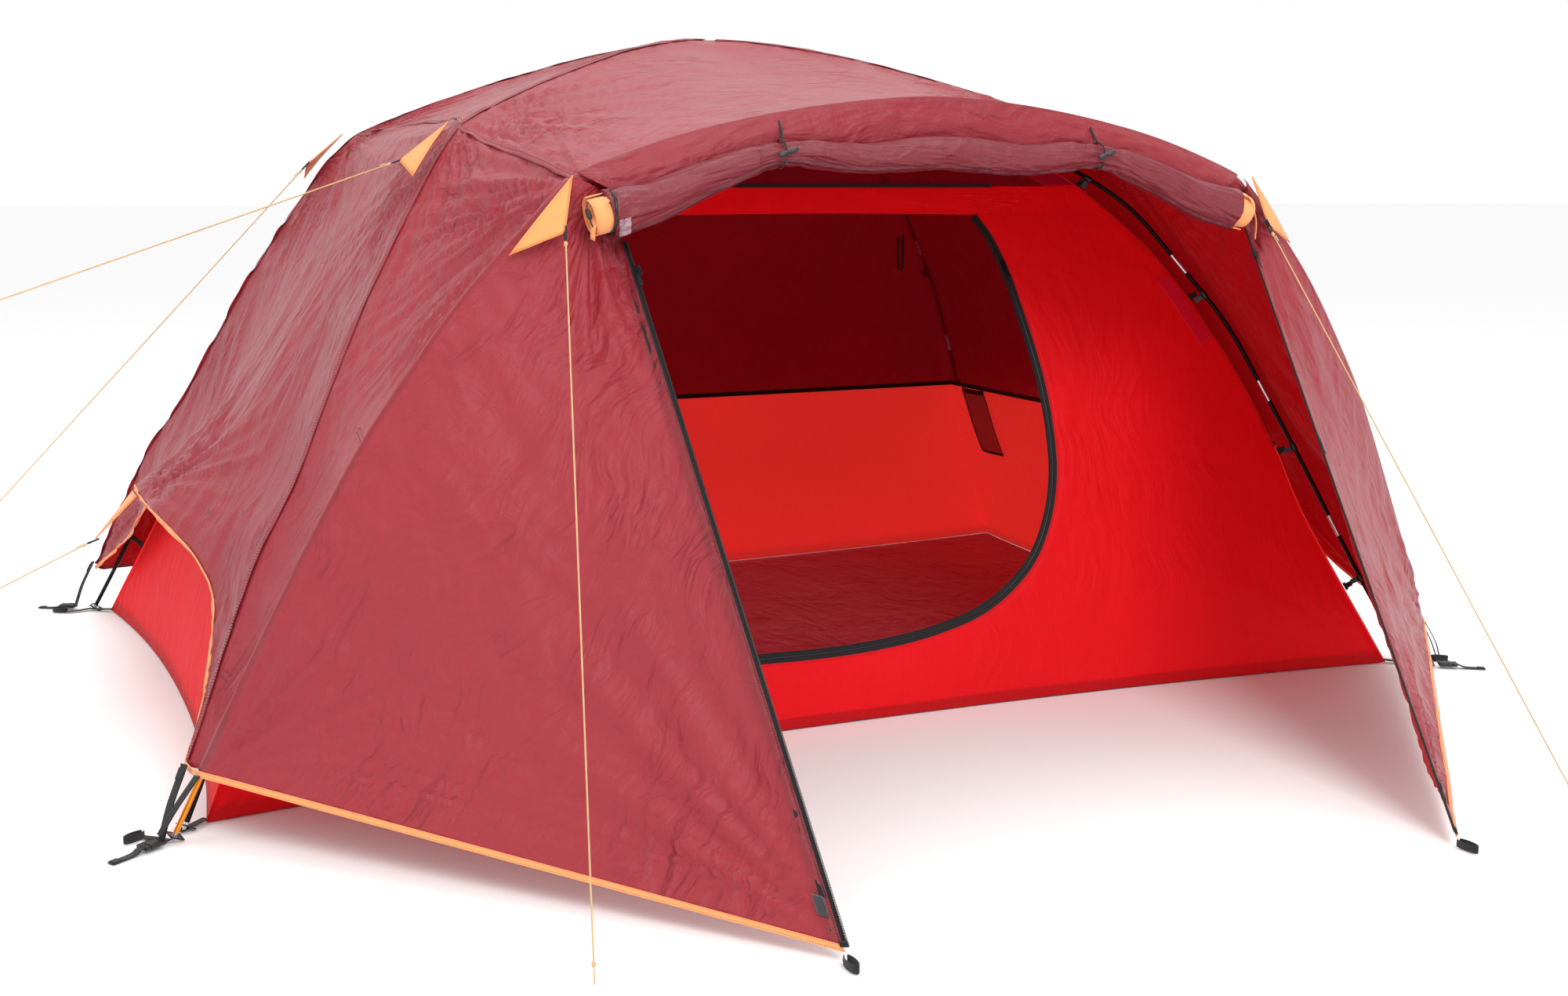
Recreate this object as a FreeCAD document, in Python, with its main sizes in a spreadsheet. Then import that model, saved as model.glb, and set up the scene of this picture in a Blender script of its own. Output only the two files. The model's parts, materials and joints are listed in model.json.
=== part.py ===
import FreeCAD, Part
import math, os
from FreeCAD import Vector as V, Placement, Rotation, Matrix

# Dome tent: two crossing poles, a front arch pole, an inner tent clipped to the
# poles and a fly with a rolled-up vestibule door.
# Frame: +X to the tent's right, +Y to the back, +Z up, millimetres.
# Origin: centre of the floor, on the ground, straight below the pole crossing.

doc = FreeCAD.newDocument("dome_tent")
sheet = doc.addObject("Spreadsheet::Sheet", "Dimensions")
DIMS = [
    ("floor_width", 2440.0), ("floor_depth", 1662.0), ("crossing_height", 1251.0),
    ("arch_height", 1100.0), ("arch_lean", 0.1075),
    ("pole_dia", 8.5), ("pole_wall", 0.7), ("pole_section", 317.0),
    ("ferrule_length", 47.0), ("ferrule_wall", 0.6), ("slip_gap", 0.1),
    ("shock_cord_dia", 2.8), ("tip_length", 26.0), ("tip_dia", 6.6),
    ("cloth_thickness", 1.0), ("floor_thickness", 1.2),
    ("guy_cord_dia", 2.4), ("webbing_width", 15.0), ("webbing_thick", 1.4),
    ("clip_length", 14.0), ("clip_wall", 1.8), ("clip_gap", 0.2), ("clip_leg", 20.0),
    ("buckle_width", 24.0), ("buckle_length", 26.0), ("buckle_thick", 8.0), ("buckle_wall", 1.4),
    ("buckle_travel", 22.0),
    ("grommet_bore", 4.0), ("grommet_outer", 8.0), ("grommet_thick", 1.6),
    ("slider_width", 10.0), ("slider_length", 15.0), ("slider_thick", 6.4),
    ("pull_length", 30.0), ("pull_width", 6.0), ("pull_thick", 1.4),
    ("zip_tape_width", 16.0), ("zip_tape_thick", 2.0), ("door_zip_width", 18.0),
    ("toggle_length", 34.0), ("toggle_dia", 7.0),
    ("sleeve_width", 44.0), ("sleeve_height", 18.0),
    ("roll_radius", 30.0), ("hub_dia", 30.0),
]
for i, (key, val) in enumerate(DIMS):
    sheet.set("A%d" % (i + 1), key)
    sheet.set("B%d" % (i + 1), "%.6g" % val)
    sheet.setAlias("B%d" % (i + 1), key)
doc.recompute()


def D(key):
    return float(getattr(sheet, key))


HALF_W = D("floor_width") / 2.0
HALF_D = D("floor_depth") / 2.0
DIAG = math.hypot(HALF_W, HALF_D)
NODES = []          # (label, object)


# ---------------------------------------------------------------- helpers
def node(obj, label):
    obj.Label = label
    NODES.append((label, obj))
    return obj


def solids_node(label, shapes):
    # one or several separate solids that share a node
    f = doc.addObject("Part::Feature", label)
    flat = []
    for sh in shapes:
        flat += sh.Solids
    f.Shape = flat[0] if len(flat) == 1 else Part.makeCompound(flat)
    return node(f, label)


def lerp(a, b, w):
    return a + (b - a) * w


def interp(table, x):
    # straight interpolation in a table of (x, value)
    if x <= table[0][0]:
        return table[0][1]
    for (x0, v0), (x1, v1) in zip(table, table[1:]):
        if x <= x1:
            return v0 + (v1 - v0) * (x - x0) / (x1 - x0)
    return table[-1][1]


def smooth(pts, n):
    # n + 1 evenly spaced points on a Catmull-Rom curve through pts
    ext = [pts[0] * 2 - pts[1]] + list(pts) + [pts[-1] * 2 - pts[-2]]
    dense = []
    for i in range(1, len(ext) - 2):
        p0, p1, p2, p3 = ext[i - 1], ext[i], ext[i + 1], ext[i + 2]
        for k in range(16):
            q = k / 16.0
            dense.append((p1 * 2 + (p2 - p0) * q + (p0 * 2 - p1 * 5 + p2 * 4 - p3) * (q * q)
                          + (p1 * 3 - p0 - p2 * 3 + p3) * (q ** 3)) * 0.5)
    dense.append(pts[-1])
    return even(dense, n)


def even(dense, n):
    acc = [0.0]
    for a, b in zip(dense, dense[1:]):
        acc.append(acc[-1] + (b - a).Length)
    out = []
    j = 0
    for k in range(n + 1):
        want = acc[-1] * k / n
        while j < len(acc) - 2 and acc[j + 1] < want:
            j += 1
        seg = acc[j + 1] - acc[j]
        out.append(lerp(dense[j], dense[j + 1], (want - acc[j]) / seg if seg else 0.0))
    return out


def span(a, b, n, inset=6.0):
    # n + 1 points from a to b, starting and ending a few mm inside the seams
    e = min(0.2, inset / max((b - a).Length, 1.0))
    return [(e + (1 - 2 * e) * j / n, lerp(a, b, e + (1 - 2 * e) * j / n)) for j in range(n + 1)]


def along(dense, dist):
    for a, b in zip(dense, dense[1:]):
        step = (b - a).Length
        if dist <= step:
            return lerp(a, b, dist / step)
        dist -= step
    return dense[-1]


def length(pts):
    return sum((b - a).Length for a, b in zip(pts, pts[1:]))


def cloth(points, quads, thick):
    # closed thin solid on both sides of a sheet given by points and quads
    tris = []
    for q in quads:
        if len(q) == 3:
            tris.append(tuple(q))
        else:
            a, b, c, d = q
            if (points[a] - points[c]).Length <= (points[b] - points[d]).Length:
                tris += [(a, b, c), (a, c, d)]
            else:
                tris += [(a, b, d), (b, c, d)]
    nrm = [V(0, 0, 0) for _ in points]
    edges = {}
    for t in tris:
        n = (points[t[1]] - points[t[0]]).cross(points[t[2]] - points[t[0]])
        for k in t:
            nrm[k] = nrm[k] + n
        for e in ((t[0], t[1]), (t[1], t[2]), (t[2], t[0])):
            edges[e] = True
    m = len(points)
    up, dn = [], []
    for p, n in zip(points, nrm):
        n = n * (thick * 0.5 / max(n.Length, 1e-9))
        up.append(p + n)
        dn.append(p - n)
    pts = up + dn
    faces = [t for t in tris] + [(t[0] + m, t[2] + m, t[1] + m) for t in tris]
    for (a, b) in list(edges):
        if (b, a) not in edges:
            faces += [(b, a, a + m), (b, a + m, b + m)]
    return closed(pts, faces)


def closed(pts, faces):
    sh = Part.Shape()
    sh.makeShapeFromMesh(([(p.x, p.y, p.z) for p in pts], faces), 0.001)
    solid = Part.makeSolid(Part.Shell(sh.Faces) if sh.ShapeType != "Shell" else sh)
    if solid.Volume < 0:
        solid.reverse()
    return solid


def grid(rows, thick):
    # sheet from rows of points, all rows the same length
    nc = len(rows[0])
    pts = [p for r in rows for p in r]
    quads = []
    for i in range(len(rows) - 1):
        for j in range(nc - 1):
            a = i * nc + j
            quads.append((a, a + 1, a + nc + 1, a + nc))
    return cloth(pts, quads, thick)


def ring_sheet(loops, thick):
    # sheet between closed loops of points, outermost first
    nc = len(loops[0])
    pts = [p for r in loops for p in r]
    quads = []
    for i in range(len(loops) - 1):
        for j in range(nc):
            a, b = i * nc + j, i * nc + (j + 1) % nc
            quads.append((a, b, b + nc, a + nc))
    return cloth(pts, quads, thick)


def frames(path, hint):
    out = []
    for i, p in enumerate(path):
        tan = path[min(i + 1, len(path) - 1)] - path[max(i - 1, 0)]
        tan = tan * (1.0 / tan.Length)
        side = tan.cross(hint)
        side = side * (1.0 / side.Length)
        out.append((p, tan, side, side.cross(tan)))
    return out


def bundle(path, hint, wide, high, n=10, bore=0.0):
    # closed solid lofted along a path; wide and high are lists of half sizes,
    # bore gives the wall thickness of an open-ended tube
    fr = frames(path, hint)
    loops, inner = [], []
    for i, (p, t, s, u) in enumerate(fr):
        ang = [2 * math.pi * k / n for k in range(n)]
        loops.append([p + s * (wide[i] * math.cos(a)) + u * (high[i] * math.sin(a)) for a in ang])
        if bore:
            inner.append([p + s * ((wide[i] - bore) * math.cos(a)) + u * ((high[i] - bore) * math.sin(a)) for a in ang])
    pts = [q for lp in loops for q in lp]
    faces = []
    L = len(loops)

    def band(base, flip):
        for i in range(L - 1):
            for j in range(n):
                a, b = base + i * n + j, base + i * n + (j + 1) % n
                c, d = b + n, a + n
                f = [(a, b, c), (a, c, d)]
                faces.extend([tuple(reversed(x)) for x in f] if flip else f)
    band(0, False)
    if bore:
        base = len(pts)
        pts += [q for lp in inner for q in lp]
        band(base, True)
        for j in range(n):
            k = (j + 1) % n
            faces.extend([(j, base + k, k), (j, base + j, base + k)])
            o = (L - 1) * n
            faces.extend([(o + j, o + k, base + o + k), (o + j, base + o + k, base + o + j)])
    else:
        c0 = len(pts)
        pts.append(fr[0][0])
        c1 = len(pts)
        pts.append(fr[-1][0])
        o = (L - 1) * n
        for j in range(n):
            k = (j + 1) % n
            faces.extend([(c0, k, j), (c1, o + j, o + k)])
    return closed(pts, faces)


def strap(path, hint, width, thick, twist=None):
    # flat webbing along a path; hint is the direction the flat side faces
    fr = frames(path, hint)
    rows = []
    for i, (p, t, s, u) in enumerate(fr):
        rows.append([p - s * (width / 2.0), p + s * (width / 2.0)])
    return grid(rows, thick)


def ribbon(path, widthdir, width, thick):
    w = widthdir * (1.0 / widthdir.Length)
    return grid([[p - w * (width / 2), p + w * (width / 2)] for p in path], thick)


def plane_of(body, role):
    for f in body.Origin.OriginFeatures:
        if f.Role == role:
            return f


def sketch(body, name, role):
    sk = body.newObject("Sketcher::SketchObject", name)
    sk.AttachmentSupport = [(plane_of(body, role), "")]
    sk.MapMode = "FlatFace"
    return sk


def rect(sk, w_expr, h_expr, cx=0.0, cy=0.0):
    # rectangle centred on (cx, cy) with its sides bound to the sheet
    import Sketcher
    w, h = 10.0, 10.0
    p = [V(cx - w / 2, cy - h / 2, 0), V(cx + w / 2, cy - h / 2, 0), V(cx + w / 2, cy + h / 2, 0), V(cx - w / 2, cy + h / 2, 0)]
    g = [sk.addGeometry(Part.LineSegment(p[i], p[(i + 1) % 4]), False) for i in range(4)]
    for i in range(4):
        sk.addConstraint(Sketcher.Constraint("Coincident", g[i], 2, g[(i + 1) % 4], 1))
    sk.addConstraint(Sketcher.Constraint("Horizontal", g[0]))
    sk.addConstraint(Sketcher.Constraint("Horizontal", g[2]))
    sk.addConstraint(Sketcher.Constraint("Vertical", g[1]))
    sk.addConstraint(Sketcher.Constraint("Vertical", g[3]))
    a = sk.addConstraint(Sketcher.Constraint("DistanceX", g[0], 1, g[0], 2, w))
    sk.setExpression("Constraints[%d]" % a, w_expr)
    b = sk.addConstraint(Sketcher.Constraint("DistanceY", g[1], 1, g[1], 2, h))
    sk.setExpression("Constraints[%d]" % b, h_expr)
    c = sk.addConstraint(Sketcher.Constraint("DistanceX", -1, 1, g[0], 1, cx - w / 2))
    sk.setExpression("Constraints[%d]" % c, "%.6g - (%s) / 2" % (cx, w_expr))
    d = sk.addConstraint(Sketcher.Constraint("DistanceY", -1, 1, g[0], 1, cy - h / 2))
    sk.setExpression("Constraints[%d]" % d, "%.6g - (%s) / 2" % (cy, h_expr))
    return g


def circle(sk, r_expr, cx=0.0, cy=0.0):
    import Sketcher
    g = sk.addGeometry(Part.Circle(V(cx, cy, 0), V(0, 0, 1), 5.0), False)
    if cx == 0.0 and cy == 0.0:
        sk.addConstraint(Sketcher.Constraint("Coincident", g, 3, -1, 1))
    else:
        sk.addConstraint(Sketcher.Constraint("DistanceX", -1, 1, g, 3, cx))
        sk.addConstraint(Sketcher.Constraint("DistanceY", -1, 1, g, 3, cy))
    c = sk.addConstraint(Sketcher.Constraint("Radius", g, 5.0))
    sk.setExpression("Constraints[%d]" % c, r_expr)
    return g


def pad(body, name, sk, len_expr, mid=False):
    p = body.newObject("PartDesign::Pad", name)
    p.Profile = sk
    p.Length = 5.0
    p.setExpression("Length", len_expr)
    if mid:
        try:
            p.SideType = "Symmetric"
        except Exception:
            p.Midplane = True
    return p


def pocket(body, name, sk, len_expr, mid=False, flip=False):
    p = body.newObject("PartDesign::Pocket", name)
    p.Profile = sk
    p.Length = 5.0
    p.setExpression("Length", len_expr)
    if mid:
        try:
            p.SideType = "Symmetric"
        except Exception:
            p.Midplane = True
    p.Reversed = flip
    return p


def placed(master, pos, rot):
    s = master.Shape.copy()
    s.Placement = Placement(pos, rot).multiply(s.Placement)
    return s


def rot_axes(x, z):
    # rotation whose local X is x and local Z is as near z as it can be
    x = x * (1.0 / x.Length)
    y = z.cross(x)
    y = y * (1.0 / y.Length)
    z = x.cross(y)
    return Rotation(x, y, z, "XYZ")


# ---------------------------------------------------------------- pole lines
# Height of the main pole over the distance from its foot, in its own plane.
POLE_SZ = [(22, 13.4), (120, 178), (208, 331), (261, 448), (315, 554), (361, 632), (411, 706), (450, 762), (493, 820),
           (557, 888), (606, 932), (660, 975), (715, 1014), (800, 1060), (910, 1110), (1050, 1160),
           (1200, 1205), (1340, 1235), (DIAG, D("crossing_height"))]
half = [V(s, 0, z) for s, z in POLE_SZ]
POLE_LINE = smooth(half + [V(2 * DIAG - s, 0, z) for s, z in reversed(POLE_SZ[:-1])], 400)
POLE_LEN = length(POLE_LINE)
# Height of the arch pole over its distance from the middle, before it leans.
ARCH_XZ = [(-1222, 13.4), (-1172, 120), (-1128, 212), (-1042, 385), (-945, 565), (-875, 672), (-780, 800),
           (-672, 918), (-630, 960), (-592, 985), (-445, 1035), (-300, 1068), (-150, 1090), (0, D("arch_height"))]
arch_half = [V(x, 0, z) for x, z in ARCH_XZ]
ARCH_LINE = smooth(arch_half + [V(-x, 0, z) for x, z in reversed(ARCH_XZ[:-1])], 400)
ARCH_LEN = length(ARCH_LINE)
ARCH_FOOT_Y = -26.0


def quad_xy(qx, qy, s):
    # point above the diagonal from foot (qx, qy) at distance s from that foot
    k = s / DIAG
    return qx * HALF_W * (1 - k), qy * HALF_D * (1 - k)


def pole_pt(qx, qy, s, z):
    x, y = quad_xy(qx, qy, s)
    return V(x, y, z)


def arch_pt(x, z):
    # the arch stands in a plane through its feet that leans to the front
    return V(x, -HALF_D + ARCH_FOOT_Y - D("arch_lean") * z, z)


def vertex_path(line, total, nsec, keep=None):
    # a corner in the middle of each section, a joint at each run's middle
    step = total / nsec
    return [line[0]] + [along(line, step * (k + 0.5)) for k in range(nsec)] + [line[-1]]


def section_paths(vtx):
    mids = [vtx[0]] + [(vtx[k] + vtx[k + 1]) * 0.5 for k in range(1, len(vtx) - 2)] + [vtx[-1]]
    out = []
    for k in range(1, len(vtx) - 1):
        out.append((mids[k - 1], vtx[k], mids[k]))
    return out, mids


def make_section(prefix, a, c, b, od_expr, bore_expr, frame_pl):
    # one pole section: straight, gentle bend, straight, as a hollow tube
    import Sketcher
    body = doc.addObject("PartDesign::Body", prefix)
    u = (c - a) * (1.0 / (c - a).Length)
    w = (b - c) * (1.0 / (b - c).Length)
    turn = u.getAngle(w)
    nrm = u.cross(w)
    nrm = nrm * (1.0 / nrm.Length) if nrm.Length > 1e-6 else V(0, 1, 0)
    gap = 0.5
    run1, run2 = (c - a).Length - gap, (b - c).Length - gap
    # local frame: Z along the first run, X to the side that the bend goes
    zl = u
    xl = (w - u * w.dot(u))
    xl = xl * (1.0 / xl.Length) if xl.Length > 1e-6 else nrm.cross(u)
    start = a + u * gap
    pl = Placement(start, Rotation(xl, zl.cross(xl), zl, "XYZ"))
    rad = 0.45 * min(run1, run2) / math.tan(turn / 2) if turn > 1e-4 else 0
    tl = 0.45 * min(run1, run2)
    path = sketch(body, prefix + "_path", "XZ_Plane")
    p0, p1 = V(0, 0, 0), V(0, run1 - tl, 0)
    ctr = V(rad, run1 - tl, 0)
    e = V(ctr.x - rad * math.cos(turn), ctr.y + rad * math.sin(turn), 0)
    mid = V(ctr.x - rad * math.cos(turn / 2), ctr.y + rad * math.sin(turn / 2), 0)
    q = V(e.x + math.sin(turn) * (run2 - tl), e.y + math.cos(turn) * (run2 - tl), 0)
    g0 = path.addGeometry(Part.LineSegment(p0, p1), False)
    g1 = path.addGeometry(Part.Arc(p1, mid, e), False)
    g2 = path.addGeometry(Part.LineSegment(e, q), False)
    prof = sketch(body, prefix + "_ring", "XY_Plane")
    circle(prof, od_expr)
    circle(prof, bore_expr)
    pipe = body.newObject("PartDesign::AdditivePipe", prefix + "_tube")
    pipe.Profile = prof
    pipe.Spine = (path, ["Edge1", "Edge2", "Edge3"])
    body.Tip = pipe
    body.Placement = frame_pl.multiply(pl)
    return body


def make_pole(label, line, total, nsec, frame_pl):
    vtx = vertex_path(line, total, nsec)
    secs, mids = section_paths(vtx)
    bodies = []
    for k, (a, c, b) in enumerate(secs):
        bodies.append(make_section("%s_s%02d" % (label, k + 1), a, c, b, "Dimensions.pole_dia / 2",
                                   "Dimensions.pole_dia / 2 - Dimensions.pole_wall", frame_pl))
    comp = doc.addObject("Part::Compound", label)
    comp.Links = bodies
    node(comp, label)
    return vtx, mids


def diag_frame(qx, qy):
    # placement that puts the pole plane's X along the diagonal from a front foot
    foot = V(qx * HALF_W, qy * HALF_D, 0)
    d = V(-qx * HALF_W, -qy * HALF_D, 0)
    d = d * (1.0 / d.Length)
    return Placement(foot, Rotation(d, V(0, 0, 1).cross(d), V(0, 0, 1), "XYZ"))


CROSS_DROP = 10.5   # the second pole runs just under the first at the crossing
frame_a = diag_frame(-1, -1)
frame_b = diag_frame(1, -1)
half_b = [V(s, 0, z - CROSS_DROP * max(0.0, (s - 700.0) / (DIAG - 700.0)) ** 1.5) for s, z in POLE_SZ]
LINE_B = smooth(half_b + [V(2 * DIAG - p.x, 0, p.z) for p in reversed(half_b[:-1])], 400)
vtx_a, mids_a = make_pole("main_pole_left_front_to_right_back", POLE_LINE, POLE_LEN, 13, frame_a)
vtx_b, mids_b = make_pole("main_pole_right_front_to_left_back", LINE_B, length(LINE_B), 13, frame_b)
lean = math.atan(D("arch_lean"))
frame_arch = Placement(V(0, -HALF_D + ARCH_FOOT_Y, 0), Rotation(V(1, 0, 0), math.degrees(lean)))
ARCH_FLAT = [V(p.x, 0, p.z / math.cos(lean)) for p in ARCH_LINE]
vtx_c, mids_c = make_pole("vestibule_arch_pole", ARCH_FLAT, length(ARCH_FLAT), 11, frame_arch)

# ---------------------------------------------------------------- ferrules, tips, shock cords
fer = doc.addObject("PartDesign::Body", "ferrule_pattern")
sk = sketch(fer, "ferrule_ring", "XY_Plane")
circle(sk, "Dimensions.pole_dia / 2 + Dimensions.slip_gap + Dimensions.ferrule_wall")
circle(sk, "Dimensions.pole_dia / 2 + Dimensions.slip_gap")
pad(fer, "ferrule_pad", sk, "Dimensions.ferrule_length", True)

tip = doc.addObject("PartDesign::Body", "tip_pattern")
sk = sketch(tip, "tip_stem", "XY_Plane")
circle(sk, "Dimensions.tip_dia / 2")
pad(tip, "tip_pad", sk, "Dimensions.tip_length / 2")
sk = sketch(tip, "tip_flange", "XY_Plane")
circle(sk, "Dimensions.pole_dia / 2")
f = pad(tip, "tip_flange_pad", sk, "3")
f.Reversed = True
sk = sketch(tip, "tip_nose", "XY_Plane")
circle(sk, "Dimensions.tip_dia / 2 - 0.4")
f = pad(tip, "tip_nose_pad", sk, "Dimensions.tip_length / 2")
f.Reversed = True
doc.recompute()


def joints_of(vtx, mids, pl):
    out = []
    for k in range(1, len(mids) - 1):
        d = vtx[k + 1] - vtx[k]
        out.append((pl.multVec(mids[k]), pl.Rotation.multVec(d)))
    return out


ALL_JOINTS = joints_of(vtx_a, mids_a, frame_a) + joints_of(vtx_b, mids_b, frame_b)
ARCH_JOINTS = joints_of(vtx_c, mids_c, frame_arch)
solids_node("pole_ferrules", [placed(fer, p, Rotation(V(0, 0, 1), d)) for p, d in ALL_JOINTS + ARCH_JOINTS])

tips = []
FEET = []
for vt, pl in ((vtx_a, frame_a), (vtx_b, frame_b), (vtx_c, frame_arch)):
    for end, nxt in ((vt[0], vt[1]), (vt[-1], vt[-2])):
        d = pl.Rotation.multVec(nxt - end)
        p = pl.multVec(end)
        d = d * (1.0 / d.Length)
        tips.append(placed(tip, p + d * 0.2, Rotation(V(0, 0, 1), d)))
        FEET.append((p, d))
# the two shafts of a tip sit in the tube's bore above and in the grommet below
solids_node("pole_tips", tips)


def cord_tube(path3, dia, halves):
    # round section along straight runs joined by tangent arcs, which are the
    # arcs of the pole sections round it
    edges = []
    cur = path3[0]
    for k in range(1, len(path3) - 1):
        a, c, b = path3[k - 1], path3[k], path3[k + 1]
        u = (a - c) * (1.0 / (a - c).Length)
        w = (b - c) * (1.0 / (b - c).Length)
        turn = math.pi - u.getAngle(w)
        tl = 0.45 * (min((halves[k - 1] - c).Length, (halves[k] - c).Length) - 0.5)
        if turn < 1e-4:
            continue
        rad = tl / math.tan(turn / 2)
        p, q = c + u * tl, c + w * tl
        bis = (u + w) * (1.0 / (u + w).Length)
        m = c + bis * (rad / math.cos(turn / 2) - rad)
        edges.append(Part.LineSegment(cur, p).toShape())
        edges.append(Part.Arc(p, m, q).toShape())
        cur = q
    edges.append(Part.LineSegment(cur, path3[-1]).toShape())
    wire = Part.Wire(edges)
    d0 = path3[1] - path3[0]
    c = Part.Wire([Part.Circle(path3[0], d0, dia / 2.0).toShape()])
    return wire.makePipeShell([c], True, False), wire.Length


cords = []
for vt, pl, md in ((vtx_a, frame_a, mids_a), (vtx_b, frame_b, mids_b), (vtx_c, frame_arch, mids_c)):
    pts = [pl.multVec(p) for p in vt]
    halves = [pl.multVec(p) for p in md]
    d0, d1 = pts[1] - pts[0], pts[-2] - pts[-1]
    pts[0] = pts[0] + d0 * (18.0 / d0.Length)
    pts[-1] = pts[-1] + d1 * (18.0 / d1.Length)
    sh, ln = cord_tube(pts, D("shock_cord_dia"), halves)
    cords.append(sh)
solids_node("shock_cords", cords)

# crossing clip: a flat hub with a saddle over each pole, on top of the inner tent
hub = doc.addObject("PartDesign::Body", "crossing_clip_pattern")
sk = sketch(hub, "hub_disc", "XY_Plane")
circle(sk, "Dimensions.hub_dia / 2")
pad(hub, "hub_pad", sk, "5")
doc.recompute()
def true_top(vt):
    # height of a tube's centre line over the middle of its middle section
    k = len(vt) // 2
    a, c, b = (vt[k - 1] + vt[k]) * 0.5, vt[k], (vt[k] + vt[k + 1]) * 0.5
    u, w = a - c, b - c
    tl = 0.45 * (min(u.Length, w.Length) - 0.5)
    half_turn = (math.pi - u.getAngle(w)) / 2
    rad = tl / math.tan(half_turn)
    return c.z - (rad / math.cos(half_turn) - rad)


ZC = true_top(vtx_b)
print("crossing", round(true_top(vtx_a), 2), round(ZC, 2), "joints at", [round(p.x) for p in mids_a])
disc = placed(hub, V(0, 0, ZC - D("pole_dia") / 2 - 7.0), Rotation())
dirs_a = V(HALF_W, HALF_D, 0) * (1.0 / DIAG)
dirs_b = V(-HALF_W, HALF_D, 0) * (1.0 / DIAG)
posts = []
for sgn in (-1, 1):
    # pair of ears that hold the lower pole
    c = dirs_a * 0 + (V(0, 0, 1).cross(dirs_b)) * (sgn * (D("pole_dia") / 2 + 1.2))
    bx = Part.makeBox(12, 1.6, 9, V(-6, -0.8, 0))
    bx.Placement = Placement(V(c.x, c.y, ZC - D("pole_dia") / 2 - 2.2), rot_axes(dirs_b, V(0, 0, 1)))
    posts.append(bx)
clip = disc
for bx in posts:
    clip = clip.fuse(bx)
solids_node("crossing_clip", [clip.removeSplitter()])

# ---------------------------------------------------------------- fly seams
SEAM = [(26, 102), (100, 240), (189, 398), (272, 502), (340, 614), (430, 756), (500, 852), (595, 972), (660, 1044),
        (700, 1076), (800, 1114), (920, 1154), (1050, 1192), (1200, 1230), (1340, 1255), (1440, 1265), (DIAG, 1266)]
CT = D("cloth_thickness")


def seam_z(s):
    return interp(SEAM, s)


def seam_pt(qx, qy, s, dz=0.0):
    return pole_pt(qx, qy, s, seam_z(s) + dz)


LOW_S = [26, 60, 100, 145, 189, 230, 272, 306, 340, 385, 430, 465, 500, 548, 595, 628, 660, 700]
TOP_S = [700, 750, 800, 860, 920, 985, 1050, 1125, 1200, 1270, 1340, 1390, 1436]


def hem_end(u):
    # bottom edge of an end panel: arched cut-out, drawn out at the middle guy
    y = -HALF_D + 2 * HALF_D * u
    a = abs(y) / HALF_D
    tab = [(0.0, (1171, 394)), (0.20, (1163, 388)), (0.36, (1138, 363)), (0.48, (1117, 337)), (0.60, (1107, 300)), (0.72, (1122, 238)), (0.84, (1150, 174)), (0.985, (1196, 104))]
    if a >= tab[-1][0]:
        x, z = tab[-1][1]
    else:
        for (a0, (x0, z0)), (a1, (x1, z1)) in zip(tab, tab[1:]):
            if a <= a1:
                w = (a - a0) / (a1 - a0)
                x, z = x0 + (x1 - x0) * w, z0 + (z1 - z0) * w
                break
    return x, z


def end_panel(sx):
    cols = []
    n, m = 20, 12
    us = [0.004 + 0.992 * j / n for j in range(n + 1)]
    for u in us:
        y = -HALF_D + 2 * HALF_D * u
        col = []
        x0, z0 = hem_end(u)
        # where the column starts on the seam's own height scale
        s0 = 26.0
        while seam_z(s0) < z0 and s0 < 690:
            s0 += 2.0
        for k in range(m + 1):
            w = k / float(m)
            s = s0 + (697.0 - s0) * w
            kk = s / DIAG
            z = seam_z(s)
            x = HALF_W * (1 - kk)
            edge = math.sin(math.pi * u)
            x -= 34.0 * edge * math.sin(math.pi * min(1.0, (z - 100.0) / 980.0))
            if k == 0:
                dx = x0 - x
            x += dx * (1 - w) ** 3
            yy = (2 * u - 1) * HALF_D * (1 - kk)
            if k == 0:
                dy = (2 * u - 1) * HALF_D * 0.985 - yy
            yy += dy * (1 - w) ** 3 * (1.0 if abs(2 * u - 1) < 0.9 else 0.0)
            col.append(V(sx * x, yy, z))
        cols.append(col)
    return grid(cols, CT)


def roof_side(sx):
    rows = []
    for s in [703] + TOP_S[1:]:
        f, b = seam_pt(sx, -1, s), seam_pt(sx, 1, s)
        row = []
        for u, p in span(f, b, 8):
            row.append(p - V(0, 0, 10.0 * math.sin(math.pi * u) * (1 - (s - 703) / 740.0)))
        rows.append(row)
    return grid(rows, CT)


node_end_left = solids_node("fly_left_end_panel", [end_panel(-1)])
solids_node("fly_right_end_panel", [end_panel(1)])
solids_node("fly_side_roof_panels", [roof_side(-1), roof_side(1)])


def back_panel():
    cols = []
    n, m = 24, 12
    for j in range(n + 1):
        u = 0.005 + 0.99 * j / n
        a = abs(2 * u - 1)
        z0 = 102.0 + 26.0 * (1 - a * a)
        col = []
        s0 = 26.0
        while seam_z(s0) < z0:
            s0 += 2.0
        for k in range(m + 1):
            s = s0 + (697.0 - s0) * k / float(m)
            kk = s / DIAG
            z = seam_z(s)
            y = HALF_D * (1 - kk) - 24.0 * math.sin(math.pi * u) * math.sin(math.pi * (z - 100.0) / 980.0)
            if k == 0:
                dy = HALF_D * 0.985 - 14 * (1 - a * a) - y
            y += dy * (1 - k / float(m)) ** 3
            col.append(V((2 * u - 1) * HALF_W * (1 - kk), y, z))
        cols.append(col)
    return grid(cols, CT)


def roof_back():
    rows = []
    for s in [703] + TOP_S[1:]:
        l, r = seam_pt(-1, 1, s), seam_pt(1, 1, s)
        row = []
        for u, p in span(l, r, 10):
            row.append(p - V(0, 0, 10.0 * math.sin(math.pi * u) * (1 - (s - 703) / 740.0)))
        rows.append(row)
    return grid(rows, CT)


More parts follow.
